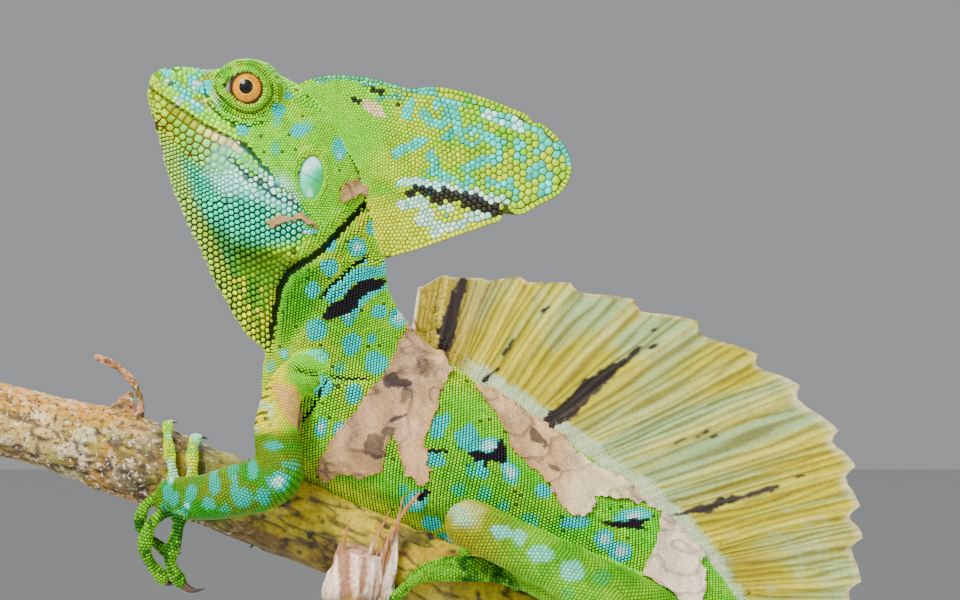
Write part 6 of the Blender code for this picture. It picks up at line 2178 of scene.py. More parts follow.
SAIL_RAYS = (
    (-18.4, -8.1, -16.7, 3.8), (-12.7, -13.2, -8.9, 7.0), (-7.0, -17.0, 1.1, 6.3),
    (-2.4, -20.3, 11.3, 6.5), (4.3, -24.3, 24.8, 4.6), (13.0, -30.0, 42.1, 0.3),
    (18.8, -34.2, 59.4, -5.7), (27.0, -39.7, 75.3, -14.6), (33.2, -44.6, 86.7, -23.2),
    (44.0, -52.1, 97.2, -35.1), (51.3, -58.9, 101.8, -44.8),
    (58.7, -66.3, 102.9, -55.6), (62.2, -71.3, 103.7, -64.2), (65.6, -78.0, 103.1, -76.1),
    (69.4, -84.2, 101.3, -86.4), (72.4, -88.6, 96.7, -95.0), (74.8, -92.6, 88.4, -101.4),
)
SAIL_SUNK = 4.0
SAIL_NOTCHES = (0.6, 0.9, 1.0, 1.4, 2.0, 3.0, 3.6, 3.4, 3.4, 3.4, 3.4, 3.2, 3.2, 3.0, 2.8, 2.4, 0.0)
NOTCH_AT, WEB_AT = 0.2, 0.6
RAY_HALF, WEB_HALF, TIP_HALF = 0.95, 0.42, 0.3
FIN_START, FIN_END, FIN_RAYS = 27.0, 206.0, 12
FIN_HEIGHTS = (7.0, 15.0, 20.0, 19.0, 14.0, 8.0, 3.0)
FIN_LEAN, FIN_NOTCH, FIN_SUNK = 0.35, 0.16, 2.2
SAIL_BARS = (
    (((440, 356), (448, 330), (454, 306), (463, 283)), (9.0, 9.5, 7.5, 5.5)),
    (((539, 431), (556, 418), (570, 408), (583, 394), (596, 382), (612, 370), (626, 361), (640, 347)),
     (6.0, 9.5, 10.0, 9.0, 9.0, 7.5, 5.0, 3.0)),
    (((669, 516), (690, 512), (709, 508), (722, 502), (740, 498), (758, 492), (778, 486)),
     (2.5, 3.5, 5.5, 6.0, 3.4, 3.4, 3.8)),
    (((484, 381), (491, 374), (498, 369)), (3.0, 3.4, 2.2)),
    (((504, 354), (509, 347), (513, 340)), (3.2, 4.2, 2.6)),
    (((543, 311), (549, 307)), (2.4, 2.4)), (((652, 331), (656, 329)), (2.6, 2.6)),
    (((650, 348), (657, 345)), (2.4, 2.4)), (((676, 443), (684, 439)), (2.6, 2.0)),
    (((698, 437), (707, 431)), (2.2, 2.6)), (((712, 437), (717, 435)), (2.2, 2.0)),
    (((796, 477), (804, 475)), (2.0, 1.8)), (((414, 320), (421, 336)), (1.4, 1.2)),
    (((458, 386), (463, 384)), (2.4, 2.0)),
)


def rayed_plate(name, roots, tips, notches, columns, rows, pleat, paint, look, slot, node):
    """A thin fin on rays: raised along each ray, folded between them, its edge dropping behind tips."""
    count = len(roots)
    order = np.arange(count, dtype=float)
    at = np.linspace(0, count - 1, (count - 1) * columns + 1)
    low, high = hermite(order, roots, at), hermite(order, tips, at)
    ray = np.clip(at.astype(int), 0, count - 2)
    part = at - ray
    drop = np.interp(part, (0, 0.08, NOTCH_AT, 0.4, WEB_AT, 0.85, 1.0),
                     (0.0, 0.55, 1.0, 0.85, 0.45, 0.12, 0.0))
    inward = (low - high) / np.linalg.norm(low - high, axis=1)[:, None]
    ragged = 0.22 * rough(at[:, None] * [9.0, 0.0], 2.0, 3, 301)
    high = high + inward * (np.array(notches)[ray] * drop + ragged + 0.25)[:, None]
    share = np.linspace(0, 1, rows)
    middle = low[:, None] + (high - low)[:, None] * share[None, :, None]
    a = np.repeat(at, rows)
    s = np.tile(share, len(at))
    p = a - np.minimum(a.astype(int), count - 2)
    ridge = np.exp(-((np.minimum(p, 1 - p) / 0.09) ** 2))
    half = WEB_HALF + (RAY_HALF - WEB_HALF) * ridge
    half = half + (TIP_HALF - half) * s**2
    fold = np.interp(p, (0, 0.1, NOTCH_AT, 0.4, WEB_AT, 0.8, 1), (1.0, 0.1, -1.0, -0.5, 0.3, 0.6, 1.0))
    sway = pleat * fold * np.sin(math.pi * np.minimum(1, s * 0.9 + 0.1))
    fine = np.sin(2 * math.pi * (a * 5 + 0.7 * rough(np.stack([a * 3, s * 2], axis=1), 1.0, 2, 303)))
    sway = sway + 0.30 * pleat * fine * smooth(0.05, 0.35, s) * (1 - 0.3 * s)
    flesh_points = middle.reshape(-1, 3)
    across = np.array([0, 1.0, 0]) if node == "sail" else None
    if across is None:
        ahead = np.gradient(middle, axis=0)
        outward = high - low
        normal = np.cross(ahead.reshape(-1, 3), np.repeat(outward, rows, axis=0))
        normal /= np.linalg.norm(normal, axis=1)[:, None]
        normal *= np.sign(normal[:, 1:2])
    else:
        normal = np.repeat(across[None], len(flesh_points), axis=0)
    sheets = [flesh_points + normal * (sway + side * half)[:, None] for side in (-1, 1)]
    colours = paint(flesh_points, a, s, p, fine, ridge)
    return closed_plate(name, sheets, len(at), rows, np.concatenate([colours, colours]), look, slot,
                        node, vivid=1.4)


def streaks(a, s, seed, width=1.0):
    return rough(np.stack([a * 2.2 / width, s * 1.3], axis=1), 1.0, 3, seed)


def sail_paint(points, a, s, p, fine, ridge):
    flat = sighted(points)
    broad = rough(np.stack([a * 0.8, s * 1.8], axis=1), 1.0, 3, 311)
    thin = streaks(a, s, 313, 0.6)
    hair = streaks(a, s, 317, 0.22)
    colour = mixed(tone(186, 178, 96), tone(164, 184, 140), smooth(-0.35, 0.5, broad))
    colour = layered(
        colour,
        (tone(202, 190, 116), smooth(0.0, 0.7, thin) * 0.6),
        (tone(176, 192, 150), smooth(0.05, 0.7, -thin) * smooth(0.1, 0.5, s) * 0.5),
    )
    front = smooth(3.4, 1.6, a)
    colour = layered(
        colour,
        (tone(150, 132, 82), front * 0.8),
        (tone(158, 146, 66), smooth(3, 6, a) * smooth(7, 5, a) * smooth(0.5, 0.1, s) * 0.5),
        # darker in the troughs of the fine pleats: painted shade
        (tone(104, 92, 36), smooth(0.15, 0.95, -fine) * 0.6),
        (tone(96, 84, 36), smooth(0.3, 0.85, hair) * 0.6),
    )
    # Darker along the fold between rays, lighter along each ray's ridge: painted shade and a painted
    # highlight of the pleats.
    valley = np.exp(-(((p - NOTCH_AT) / 0.07) ** 2)) * smooth(0.1, 0.4, s)
    colour = layered(
        colour,
        (tone(108, 96, 46), valley * 0.5),
        (tone(216, 206, 134), ridge * 0.4 * smooth(0.1, 0.5, s)),
        (tone(170, 186, 150),
         smooth(9, 12, a) * smooth(16, 13, a) * smooth(0.2, 0.9, rough(flat, 14.0, 2, 319)) * 0.5),
        (tone(122, 102, 34),
         smooth(11.3, 12.2, a) * smooth(13.4, 12.6, a) * smooth(0.7, 0.3, s) * 0.45),
    )
    root = from_line(points[:, [0, 2]], np.array(SAIL_RAYS)[:, 0:2])[0]
    strip = smooth(4.6, 2.6, root + 0.9 * rough(flat, 9.0, 2, 321)) * smooth(2.0, 3.4, a)
    colour = mixed(colour, mixed(tone(206, 216, 186), tone(188, 206, 172), smooth(-0.5, 0.5, thin)),
                   strip * 0.92)
    pale = smooth(0.965, 0.992, s) * smooth(0.9, 1.2, a)
    colour = mixed(colour,
                   mixed(tone(214, 204, 158), tone(120, 104, 62),
                         smooth(-0.3, 0.4, rough(flat, 6.0, 2, 323))), pale * 0.6)
    bright = smooth(0.93, 1.0, s) * smooth(7.0, 8.0, a) * smooth(16, 11, a)
    colour = mixed(colour, tone(226, 222, 190), bright * 0.5)
    border = smooth(0.16, 0.04, a) + smooth(0.985, 1.0, s) * smooth(1.2, 0.6, a)
    colour = mixed(colour, tone(224, 204, 190), np.clip(border, 0, 1) * 0.9)
    ragged = 3.0 * rough(flat, 7.0, 3, 331)
    dark = np.zeros(len(points))
    for line, widths in SAIL_BARS:
        distance, share, _ = from_line(flat, line)
        half = np.interp(share, np.linspace(0, 1, len(widths)), widths)
        dark = np.maximum(dark,
                          smooth(1.2, -1.2, distance + ragged * np.minimum(1, half / 6) - half + 0.8))
    specks = rough(flat, 3.0, 2, 333)
    dark = np.maximum(dark, smooth(0.78, 0.9, specks) * front * 0.7)
    colour = mixed(colour, mixed(tone(44, 32, 30), tone(22, 14, 16), smooth(-0.5, 0.5, hair)),
                   dark * 0.985)
    shade = 0.78 + 0.13 * hair + 0.07 * fine + 0.08 * thin
    return np.clip(colour * shade[:, None], 0, 1)


def sail_scales(sail, look):
    """Flat cells of skin on the front of the sail and small scales along its foot."""
    ground = Ground(sail)
    coat = Coat("scales_sail")
    rays = np.array(SAIL_RAYS)
    foot = rays[:, 0:2]
    front = from_sight(((416, 288), (436, 277), (456, 277), (452, 300), (444, 350), (434, 352),
                        (424, 322)))
    coarse = hex_lattice(front.min(axis=0), front.max(axis=0), 1.6, 20)
    coarse = coarse + np.random.default_rng(31).normal(0, 0.2, coarse.shape)
    coarse = coarse[inside(coarse, front)]
    fine = hex_lattice(foot.min(axis=0) - 3, foot.max(axis=0) + 6, 0.95, -39, 1.1)
    distance, share, side = from_line(fine, foot)
    up = (fine - foot.mean(axis=0)) @ (0.7, 0.72) > -8
    fine = fine[(distance < 4.3 + 0.8 * rough(fine, 5.0, 2, 603)) & up & (share > 0.02)
                & (share < 0.99)]
    fine = fine[~inside(fine, front)]
    seeds = np.concatenate([coarse, fine])
    low, high = seeds.min(axis=0), seeds.max(axis=0)
    points, tints = places(sail), np.empty(len(sail.data.vertices) * 4)
    sail.data.color_attributes["tint"].data.foreach_get("color", tints)
    tints = tints.reshape(-1, 4)[:, :3]
    tree = KDTree(len(points))
    for k, point in enumerate(points):
        tree.insert(point, k)
    tree.balance()

    def rules(place, ids):
        tint = tints[[tree.find(p)[1] for p in place]]
        big = ids < len(coarse)
        edge = tint * np.where(big, 0.4, 0.6)[:, None]
        return tint * 1.04, tint * 0.4, edge, np.where(big, 0.09,
                                                       0.14), (seeds[ids] - low) / (high - low)

    for side in (-1, 1):
        coat.band = (0.0, 0.5) if side < 0 else (0.5, 1.0)
        side_coat(coat, ground, seeds, len(seeds), side, rules, 3.0)
    coat.piece(look, "sail_skin", 1.0)


def sail_and_fin(look, scale_look):
    rays = np.array(SAIL_RAYS)
    roots = np.stack([rays[:, 0], np.zeros(len(rays)), rays[:, 1]], axis=1)
    tips = np.stack([rays[:, 2], np.zeros(len(rays)), rays[:, 3]], axis=1)
    outward = (tips - roots) / np.linalg.norm(tips - roots, axis=1)[:, None]
    sail = rayed_plate("sail", roots - outward * SAIL_SUNK, tips, SAIL_NOTCHES, 27, 108, 0.55,
                       sail_paint, look,
                       "sail_skin", "sail")
    sail_scales(sail, scale_look)
    path = curve_through(TAIL_LINE, 801)
    along = running_length(path)
    up, _ = frames(path, (0, 0, 1.0))
    index = np.searchsorted(along, np.linspace(FIN_START, FIN_END, FIN_RAYS))
    tangents = path[index + 1] - path[index]
    tangents /= np.linalg.norm(tangents, axis=1)[:, None]
    high = np.interp(along[index], TAIL.along, TAIL.radii[:, 0])
    heights = np.interp(np.linspace(0, 1, FIN_RAYS), np.linspace(0, 1, len(FIN_HEIGHTS)), FIN_HEIGHTS)
    root = path[index] + up[index] * (high - FIN_SUNK)[:, None]
    edge = root + (up[index] + tangents * FIN_LEAN) * (heights + FIN_SUNK)[:, None]

    def fin_paint(points, a, s, p, fine, ridge):
        thin = streaks(a, s, 341, 0.6)
        hair = streaks(a, s, 343, 0.22)
        colour = mixed(tone(170, 166, 88), tone(150, 172, 116), smooth(-0.4, 0.5, thin))
        colour = layered(
            colour,
            # darker in the troughs of the fine pleats, painted shade, and along dark streaks
            (tone(120, 108, 52), smooth(0.2, 0.9, -fine) * 0.4 + smooth(0.4, 0.9, hair) * 0.3),
            (tone(112, 150, 54), smooth(0.35, 0.1, s) * 0.7),
        )
        bands = smooth(0.2, 0.6, np.sin(a * 2.1 + 0.8 * rough(points, 8.0, 2, 345)))
        colour = mixed(colour, tone(66, 52, 40), bands * 0.6)
        return np.clip(colour * (1 + 0.1 * hair)[:, None], 0, 1)

    rayed_plate("tail_fin", root, edge, heights * FIN_NOTCH, 34, 34, 0.35, fin_paint, look,
                "sail_skin", "tail_fin")


# The branch.

TWIG_LINE = (
    (-95.0, -1.5, -36.0), (-91.5, -2.0, -30.0), (-92.5, -2.5, -24.0), (-97.0, -3.0, -18.5),
    (-103.0, -3.5, -15.4),
)
TWIG_RADII = (2.2, 1.1, 0.95, 0.9, 1.0)
STUB_LINE = ((-97.0, 0.0, -35.0), (-96.0, 0.0, -29.5), (-94.6, 0.0, -25.8))
STUB_RADII = (6.4, 3.6, 1.2)
BROKEN_LINE = ((-29.0, 3.0, -71.0), (-34.0, -4.5, -79.5), (-34.8, -11.0, -79.0), (-31.4, -14.2, -67.0))
BROKEN_RADII = (6.6, 6.8, 7.4, 6.2)
SLIVERS, SLIVER_TIP = 15, 0.3
SLIVER_TOPS = (
    (0.0, 0.15, 0.35, 0.45, 0.6, 0.8, 1.0), (-73.0, -67.0, -66.0, -71.0, -64.0, -63.0, -60.0),
)
FIBRES = (
    ((-26.0, -15.0, -68.0), (-20.6, -15.6, -57.0), (-16.2, -15.0, -51.6)),
    ((-25.2, -14.0, -68.0), (-22.0, -15.4, -59.0), (-20.6, -16.4, -52.6)),
    ((-30.0, -15.6, -69.0), (-27.0, -16.6, -62.0), (-24.2, -16.2, -56.4)),
    ((-35.4, -15.6, -72.0), (-36.0, -17.0, -64.0), (-35.0, -17.4, -58.8)),
)


def slivers():
    """Long splinters standing side by side in the broken end, and a few thin fibres."""
    rng = np.random.default_rng(61)
    for k in range(SLIVERS):
        share = k / (SLIVERS - 1)
        foot = np.array((-37.0 + 11.4 * share, -9.4 - 1.2 * (k % 2), -80.0))
        top = np.interp(share, *SLIVER_TOPS) + rng.normal(0, 1.3)
        tip = foot + (4.2 * share + rng.normal(0, 0.6), -4.6 + rng.normal(0, 0.5), 0)
        tip[2] = top
        wide = rng.uniform(1.1, 2.1)
        middle = (foot + tip) / 2 + (rng.normal(0, 0.5), -1.6, 0)
        yield Tube(curve_through((foot, middle, tip), 6),
                   (wide, wide, wide * 0.8, wide * 0.45, SLIVER_TIP), step=0.35)
    for line in FIBRES:
        yield Tube(line, (0.8, 0.5, SLIVER_TIP), step=0.35)


def bark_relief(along, turn, radius):
    """How far bark stands out, and how deep its cracks are, from 0 to 1."""
    unrolled = np.stack([along, np.sin(turn) * radius, np.cos(turn) * radius], axis=1)
    long = unrolled * [0.34, 1.0, 1.0]
    lumps = 0.5 * rough(unrolled, 14.0, 2, 401)
    crack = np.abs(rough(long, 4.2, 3, 403))
    deep = smooth(0.22, 0.03, crack)
    fine = rough(unrolled, 1.5, 2, 407)
    plaques = smooth(0.12, 0.3, rough(unrolled, 6.5, 3, 409))
    return lumps - 0.55 * deep + 0.13 * fine + 0.28 * plaques, deep, plaques, fine


def bark_paint(points, deep, plaques, fine):
    patch = rough(points, 22.0, 3, 421)
    spots = rough(points, 3.2, 2, 423)
    right = smooth(-106, -84, points[:, 0] + 10 * patch)
    left = mixed(tone(150, 126, 78), tone(184, 162, 118), smooth(-0.4, 0.5, patch))
    right_tone = mixed(tone(108, 98, 40), tone(152, 138, 66), smooth(-0.4, 0.6, patch + 0.3 * fine))
    right_tone = layered(
        right_tone,
        (tone(190, 172, 88), smooth(-66, -40, points[:, 0]) * 0.7),
        (tone(84, 62, 40), smooth(0.1, 0.5, rough(points * [0.5, 1, 1], 8.0, 3, 431)) * 0.75),
    )
    colour = mixed(left, right_tone, right)
    colour = layered(
        colour,
        (tone(206, 194, 166), plaques * (0.7 - 0.62 * right)),
        (tone(112, 122, 60), smooth(0.1, 0.6, rough(points, 9.0, 2, 425)) * 0.4),
        (tone(196, 130, 62), smooth(0.25, 0.7, rough(points, 12.0, 2, 427)) * 0.35),
        (tone(64, 50, 36), smooth(0.3, 0.75, rough(points, 7.0, 3, 429)) * 0.75),
        (tone(40, 32, 26), deep * 0.8),
        (tone(34, 30, 28), smooth(0.62, 0.8, spots) * 0.85),
    )
    height = points[:, 2] - np.interp(points[:, 0], *np.array(BRANCH_LINE).T)
    lit = smooth(0.35, 0.9, height / branch_radius(points[:, 0]))
    colour = mixed(colour, tone(206, 142, 74), lit * (1 - right) * 0.45)
    shade = 0.62 + 0.38 * smooth(-1.0, 0.2, height / branch_radius(points[:, 0]))
    return colour * (shade * (1 + 0.14 * fine))[:, None]


def cut_end(ring, shrinks):
    """Rings drawn in from an end ring to its middle."""
    middle = ring.mean(axis=0)
    return [middle + (ring - middle) * k for k in shrinks]


def perch(look):
    line = np.array(BRANCH_LINE)
    path = curve_through(np.stack([line[:, 0], np.zeros(len(line)), line[:, 1]], axis=1), 430)
    along = running_length(path)
    up, side = frames(path, (0, 0, 1.0))
    sides = 132
    turn = np.linspace(0, 2 * math.pi, sides, endpoint=False)
    radius = branch_radius(path[:, 0])
    t, l = np.tile(turn, len(path)), np.repeat(along, sides)
    r = np.repeat(radius, sides)
    out = (np.cos(turn)[None, :, None] * up[:, None] + np.sin(turn)[None, :, None]
           * side[:, None]).reshape(-1, 3)
    base = np.repeat(path, sides, axis=0) + out * r[:, None]
    relief, deep, plaques, fine = bark_relief(l, t, r)
    points = base + out * relief[:, None]
    colours = bark_paint(points, deep, plaques, fine)
    rings = points.reshape(len(path), sides, 3)
    shades = colours.reshape(len(path), sides, 3)
    shrinks = (0.985, 0.93, 0.86, 0.76, 0.64, 0.5, 0.34, 0.16, 0.03)
    ends = []
    for end in (0, -1):
        faces = np.array(cut_end(rings[end], shrinks))
        wood = np.array([
            np.repeat((tone(196, 158, 108) if k % 2 else tone(160, 118, 74))[None], sides,
                      axis=0) for k in range(len(shrinks))
        ])
        wood[0] = tone(86, 62, 44)
        ends.append((faces, wood))
    rings = np.concatenate([ends[0][0][::-1], rings, ends[1][0]])
    shades = np.concatenate([ends[0][1][::-1], shades, ends[1][1]])
    lofts, tints = [rings], [shades.reshape(-1, 3)]
    growths = [(Tube(TWIG_LINE, TWIG_RADII, step=0.35), 26, 0),
               (Tube(STUB_LINE, STUB_RADII, step=0.35), 44, 0),
               (Tube(BROKEN_LINE, BROKEN_RADII, BROKEN_RADII, step=0.4, round_ends=False), 72, 1)]
    growths += [(tube, 22, 2) for tube in slivers()]
    for tube, around, kind in growths:
        part = tube.rings(around)
        if kind:
            middle = part.mean(axis=1, keepdims=True)
            part = middle + (part - middle) * [1.0, 0.62 if kind == 1 else 0.55, 1.0]
        flat = part.reshape(-1, 3)
        away = flat - np.repeat(part.mean(axis=1), around, axis=0)
        away /= np.linalg.norm(away, axis=1)[:, None] + 1e-9
        thick = np.repeat(tube.radii.mean(axis=1), around)
        if kind == 0:
            fine = rough(flat, 1.2, 2, 441)
            bumps = 0.10 * fine + 0.25 * rough(flat, 3.0, 2, 443)
            colour = mixed(tone(170, 124, 96), tone(104, 84, 50),
                           smooth(-0.4, 0.4, rough(flat, 3.0, 2, 447)))
        else:
            fibre = rough(flat * [1.0, 1.0, 0.10], 0.8, 2, 451)
            bumps = 0.30 * fibre + 0.35 * rough(flat * [1, 1, 0.2], 2.6, 2, 453)
            colour = mixed(tone(214, 180, 160), tone(250, 234, 220), smooth(-0.5, 0.5, fibre))
            colour = layered(
                colour,
                (tone(120, 76, 46), smooth(0.1, 0.5, rough(flat * [1, 1, 0.12], 1.6, 2, 455)) * 0.85),
                (tone(150, 104, 66), smooth(1.0, 0.5, thick) * 0.9),
            )
            if kind == 1:
                bark = np.clip(smooth(-76, -82, flat[:, 2]) + smooth(-12, -8, flat[:, 1]), 0, 1)
                worn = smooth(-0.3, 0.5, rough(flat, 5.0, 3, 457))
                colour = mixed(colour, mixed(tone(78, 66, 36), tone(146, 128, 70), worn), bark * 0.95)
        bumps = np.clip(bumps, -0.35 * thick, 0.35 * thick)
        lofts.append((flat + away * bumps[:, None]).reshape(part.shape))
        tints.append(colour)
    made = gathered("branch", lofts)
    set_tint(made, np.concatenate(tints), 1.35)
    outwards(made)
    made.data.shade_smooth()
    return dressed(made, look, "bark", "perch_branch")


# The stand.

FLOOR_Z = -300.0
STAND_SIZE = (236.0, 132.0, 16.0)
ROD_RADIUS, ROD_FOOT_RADIUS, ROD_FOOT_HEIGHT = 4.0, 10.0, 3.5
RODS = (("stand_rod_front", -6.0), ("stand_rod_rear", 62.0))


def stand(wood, steel):
    bpy.ops.object.select_all(action="DESELECT")
    bpy.ops.mesh.primitive_cube_add(size=1.0, location=(0, 0, STAND_SIZE[2] / 2 * MM))
    base = bpy.context.active_object
    base.name = "stand_board"
    base.scale = [s * MM for s in STAND_SIZE]
    bpy.ops.object.transform_apply(location=True, rotation=False, scale=True)
    with_modifier(base, "BEVEL", width=3.0 * MM, segments=5, limit_method="ANGLE")
    base.data.shade_smooth()
    base.data.set_sharp_from_angle(angle=math.radians(40))
    dressed(base, wood, "base_wood", "stand_base")
    top = FLOOR_Z + STAND_SIZE[2]
    for node, x in RODS:
        reach = np.interp(x, *np.array(BRANCH_LINE).T)
        place = metres([[x, 0.0, top]])[0]
        length = (reach - top) * MM
        bpy.ops.object.select_all(action="DESELECT")
        bpy.ops.mesh.primitive_cylinder_add(
            vertices=64, radius=ROD_RADIUS * MM, depth=length,
            location=(place[0], 0, place[2] + length / 2),
        )
        rod = bpy.context.active_object
        bpy.ops.mesh.primitive_cylinder_add(
            vertices=96, radius=ROD_FOOT_RADIUS * MM, depth=ROD_FOOT_HEIGHT * MM,
            location=(place[0], 0, place[2] + ROD_FOOT_HEIGHT / 2 * MM),
        )
        foot = bpy.context.active_object
        with_modifier(foot, "BEVEL", width=0.8 * MM, segments=4, limit_method="ANGLE")
        rod.select_set(True)
        foot.select_set(True)
        bpy.context.view_layer.objects.active = rod
        bpy.ops.object.join()
        bpy.ops.object.transform_apply(location=True, rotation=True, scale=True)
        rod.name = node
        rod.data.shade_smooth()
        rod.data.set_sharp_from_angle(angle=math.radians(35))
        dressed(rod, steel, "rod_steel", node)


# Materials.


class Value:
    """A number or colour flowing through a material, with plain arithmetic on it."""

    def __init__(self, look, socket):
        self.look, self.socket = look, socket

    def maths(self, way, other=None, first=None):
        values = [self if first is None else first] + ([] if other is None else [other])
        return self.look.node("ShaderNodeMath", {"operation": way}, dict(enumerate(values)))

    def __add__(self, other):
        return self.maths("ADD", other)

    def __radd__(self, other):
        return self.maths("ADD", other)

    def __sub__(self, other):
        return self.maths("SUBTRACT", other)

    def __rsub__(self, other):
        return self.maths("SUBTRACT", self, other)

    def __mul__(self, other):
        return self.maths("MULTIPLY", other)

    def __rmul__(self, other):
        return self.maths("MULTIPLY", other)

    def __truediv__(self, other):
        return self.maths("DIVIDE", other)

    def __rtruediv__(self, other):
        return self.maths("DIVIDE", self, other)

    def __pow__(self, other):
        return self.maths("POWER", other)

    def part(self, name):
        return Value(self.look, self.socket.node.outputs[name])


class Look:
    """A material built up node by node, ending in one Principled shader."""

    def __init__(self, name, **constants):
        self.material = bpy.data.materials.new(name)
        self.material.use_nodes = True
        self.tree = self.material.node_tree
        self.shader = self.tree.nodes["Principled BSDF"]
        for key, value in constants.items():
            self.shader.inputs[key.replace("_", " ")].default_value = value

    def node(self, kind, settings=None, values=None, output=0):
        made = self.tree.nodes.new(kind)
        for key, value in (settings or {}).items():
            setattr(made, key, value)
        for key, value in (values or {}).items():
            if isinstance(value, Value):
                self.tree.links.new(value.socket, made.inputs[key])
            else:
                made.inputs[key].default_value = value
        return Value(self, made.outputs[output])

    def places(self):
        return self.node("ShaderNodeTexCoord", output="Object")

    def tint(self):
        return self.node("ShaderNodeAttribute", {"attribute_name": "tint"}, output="Color")

    def noise(self, scale, detail=3.0, roughness=0.55, where=None):
        values = {"Vector": where or self.places(), "Scale": scale, "Detail": detail,
                  "Roughness": roughness}
        return self.node("ShaderNodeTexNoise", {}, values, "Fac")

    def ramp(self, value, low, high, start=0.0, end=1.0):
        values = {"Value": value, 1: low, 2: high, 3: start, 4: end}
        return self.node("ShaderNodeMapRange", {"interpolation_type": "SMOOTHSTEP"}, values)

    def blend(self, share, first, second, way="MIX"):
        values = {0: share, 6: first, 7: second}
        return self.node("ShaderNodeMix", {"data_type": "RGBA", "blend_type": way}, values, 2)

    def scaled(self, colour, number):
        values = {0: colour, "Scale": number}
        return self.node("ShaderNodeVectorMath", {"operation": "SCALE"}, values)

    def feeds(self, **values):
        for key, value in values.items():
            self.tree.links.new(value.socket, self.shader.inputs[key.replace("_", " ")])
        return self

    def bump(self, height, strength, distance):
        values = {"Height": height, "Strength": strength, "Distance": distance}
        return self.feeds(Normal=self.node("ShaderNodeBump", {}, values))


def rgba(colour, alpha=1.0):
    return (*[float(c) for c in colour], alpha)


def tinted_look(name, grain_scale, light, dark, roughness, bump=(0.25, 0.00004), **constants):
    """A finish that takes its colour from the points, with a fine grain over it."""
    look = Look(name, Roughness=roughness, **constants)
    fine = look.noise(grain_scale, 3.0)
    wide = look.noise(grain_scale / 9, 2.0)
    shade = look.ramp(fine, 0.3, 0.7, dark, light) * look.ramp(wide, 0.3, 0.7, 0.92, 1.06)
    look.feeds(Base_Color=look.scaled(look.tint(), shade))
    look.feeds(Roughness=look.ramp(fine, 0.3, 0.7, roughness * 1.15, roughness * 0.85))
    look.bump(fine, bump[0], bump[1])
    return look.material


def eye_look(side):
    """Pupil, gold ring, streaked iris and dark rim, by the distance from the iris' middle."""
    look = Look("eye_" + ("left" if side < 0 else "right"), Roughness=0.5, Specular_IOR_Level=0.1,
                Coat_Weight=0.25,
                Coat_Roughness=0.02)
    spot = look.places()
    parts = look.node("ShaderNodeSeparateXYZ", {}, {0: spot}, "X")
    middle = metres([[IRIS[0], 0.0, IRIS[1]]])[0]
    x, z = (parts - float(middle[0])) / MM, (parts.part("Z") - float(middle[2])) / MM
    away = (x * x + z * z) ** 0.5
    turn = look.node("ShaderNodeMath", {"operation": "ARCTAN2"}, {0: z, 1: x})
    around = look.node("ShaderNodeCombineXYZ", {}, {0: turn * 5.5, 1: away * 0.55, 2: 0.4})
    streak = look.noise(1.0, 5.0, 0.65, around)
    blotch = look.noise(900.0, 3.0, 0.6)
    gold = look.blend(look.ramp(streak, 0.35, 0.65), rgba(tone(180, 106, 0)), rgba(tone(208, 146, 0)))
    gold = look.blend(look.ramp(blotch, 0.52, 0.72, 0.0, 0.6), gold, rgba(tone(134, 66, 0)))
    edge = away + (streak - 0.5) * 0.3
    gold = look.blend(look.ramp(edge, IRIS_RADIUS * 0.86, IRIS_RADIUS * 1.03), gold,
                      rgba(tone(60, 28, 6)))
    px, pz = x - PUPIL_SHIFT[0], z - PUPIL_SHIFT[1]
    from_pupil = (px * px + pz * pz * 0.9) ** 0.5
    ring = look.ramp(from_pupil, PUPIL * 0.96, PUPIL * 1.10, 1.0, 0.0)
    gold = look.blend(look.ramp(from_pupil, PUPIL * 1.08, PUPIL * 1.18, 1.0, 0.0), gold,
                      rgba(tone(234, 176, 0)))
    colour = look.blend(ring, gold, rgba(tone(6, 5, 6)))
    white = look.blend(look.ramp(x, -5.6, -4.2), rgba(tone(150, 150, 138)), rgba(tone(40, 34, 26)))
    colour = look.blend(look.ramp(away, IRIS_RADIUS * 1.0, IRIS_RADIUS * 1.12), colour, white)
    look.feeds(Base_Color=colour)
    return look.material


IRIS, IRIS_RADIUS, PUPIL, PUPIL_SHIFT = (-62.4, 56.8), 3.9, 1.85, (-0.15, 0.25)


# Light, view and the whole.


def area_light(name, place, aim, size, watts, colour=(1, 1, 1)):
    lamp = bpy.data.lights.new(name, "AREA")
    lamp.shape, lamp.size, lamp.energy, lamp.color = "SQUARE", size, watts, colour
    made = bpy.data.objects.new(name, lamp)
    made.location = place
    made.rotation_euler = (Vector(aim) - Vector(place)).to_track_quat("-Z", "Y").to_euler()
    bpy.context.scene.collection.objects.link(made)


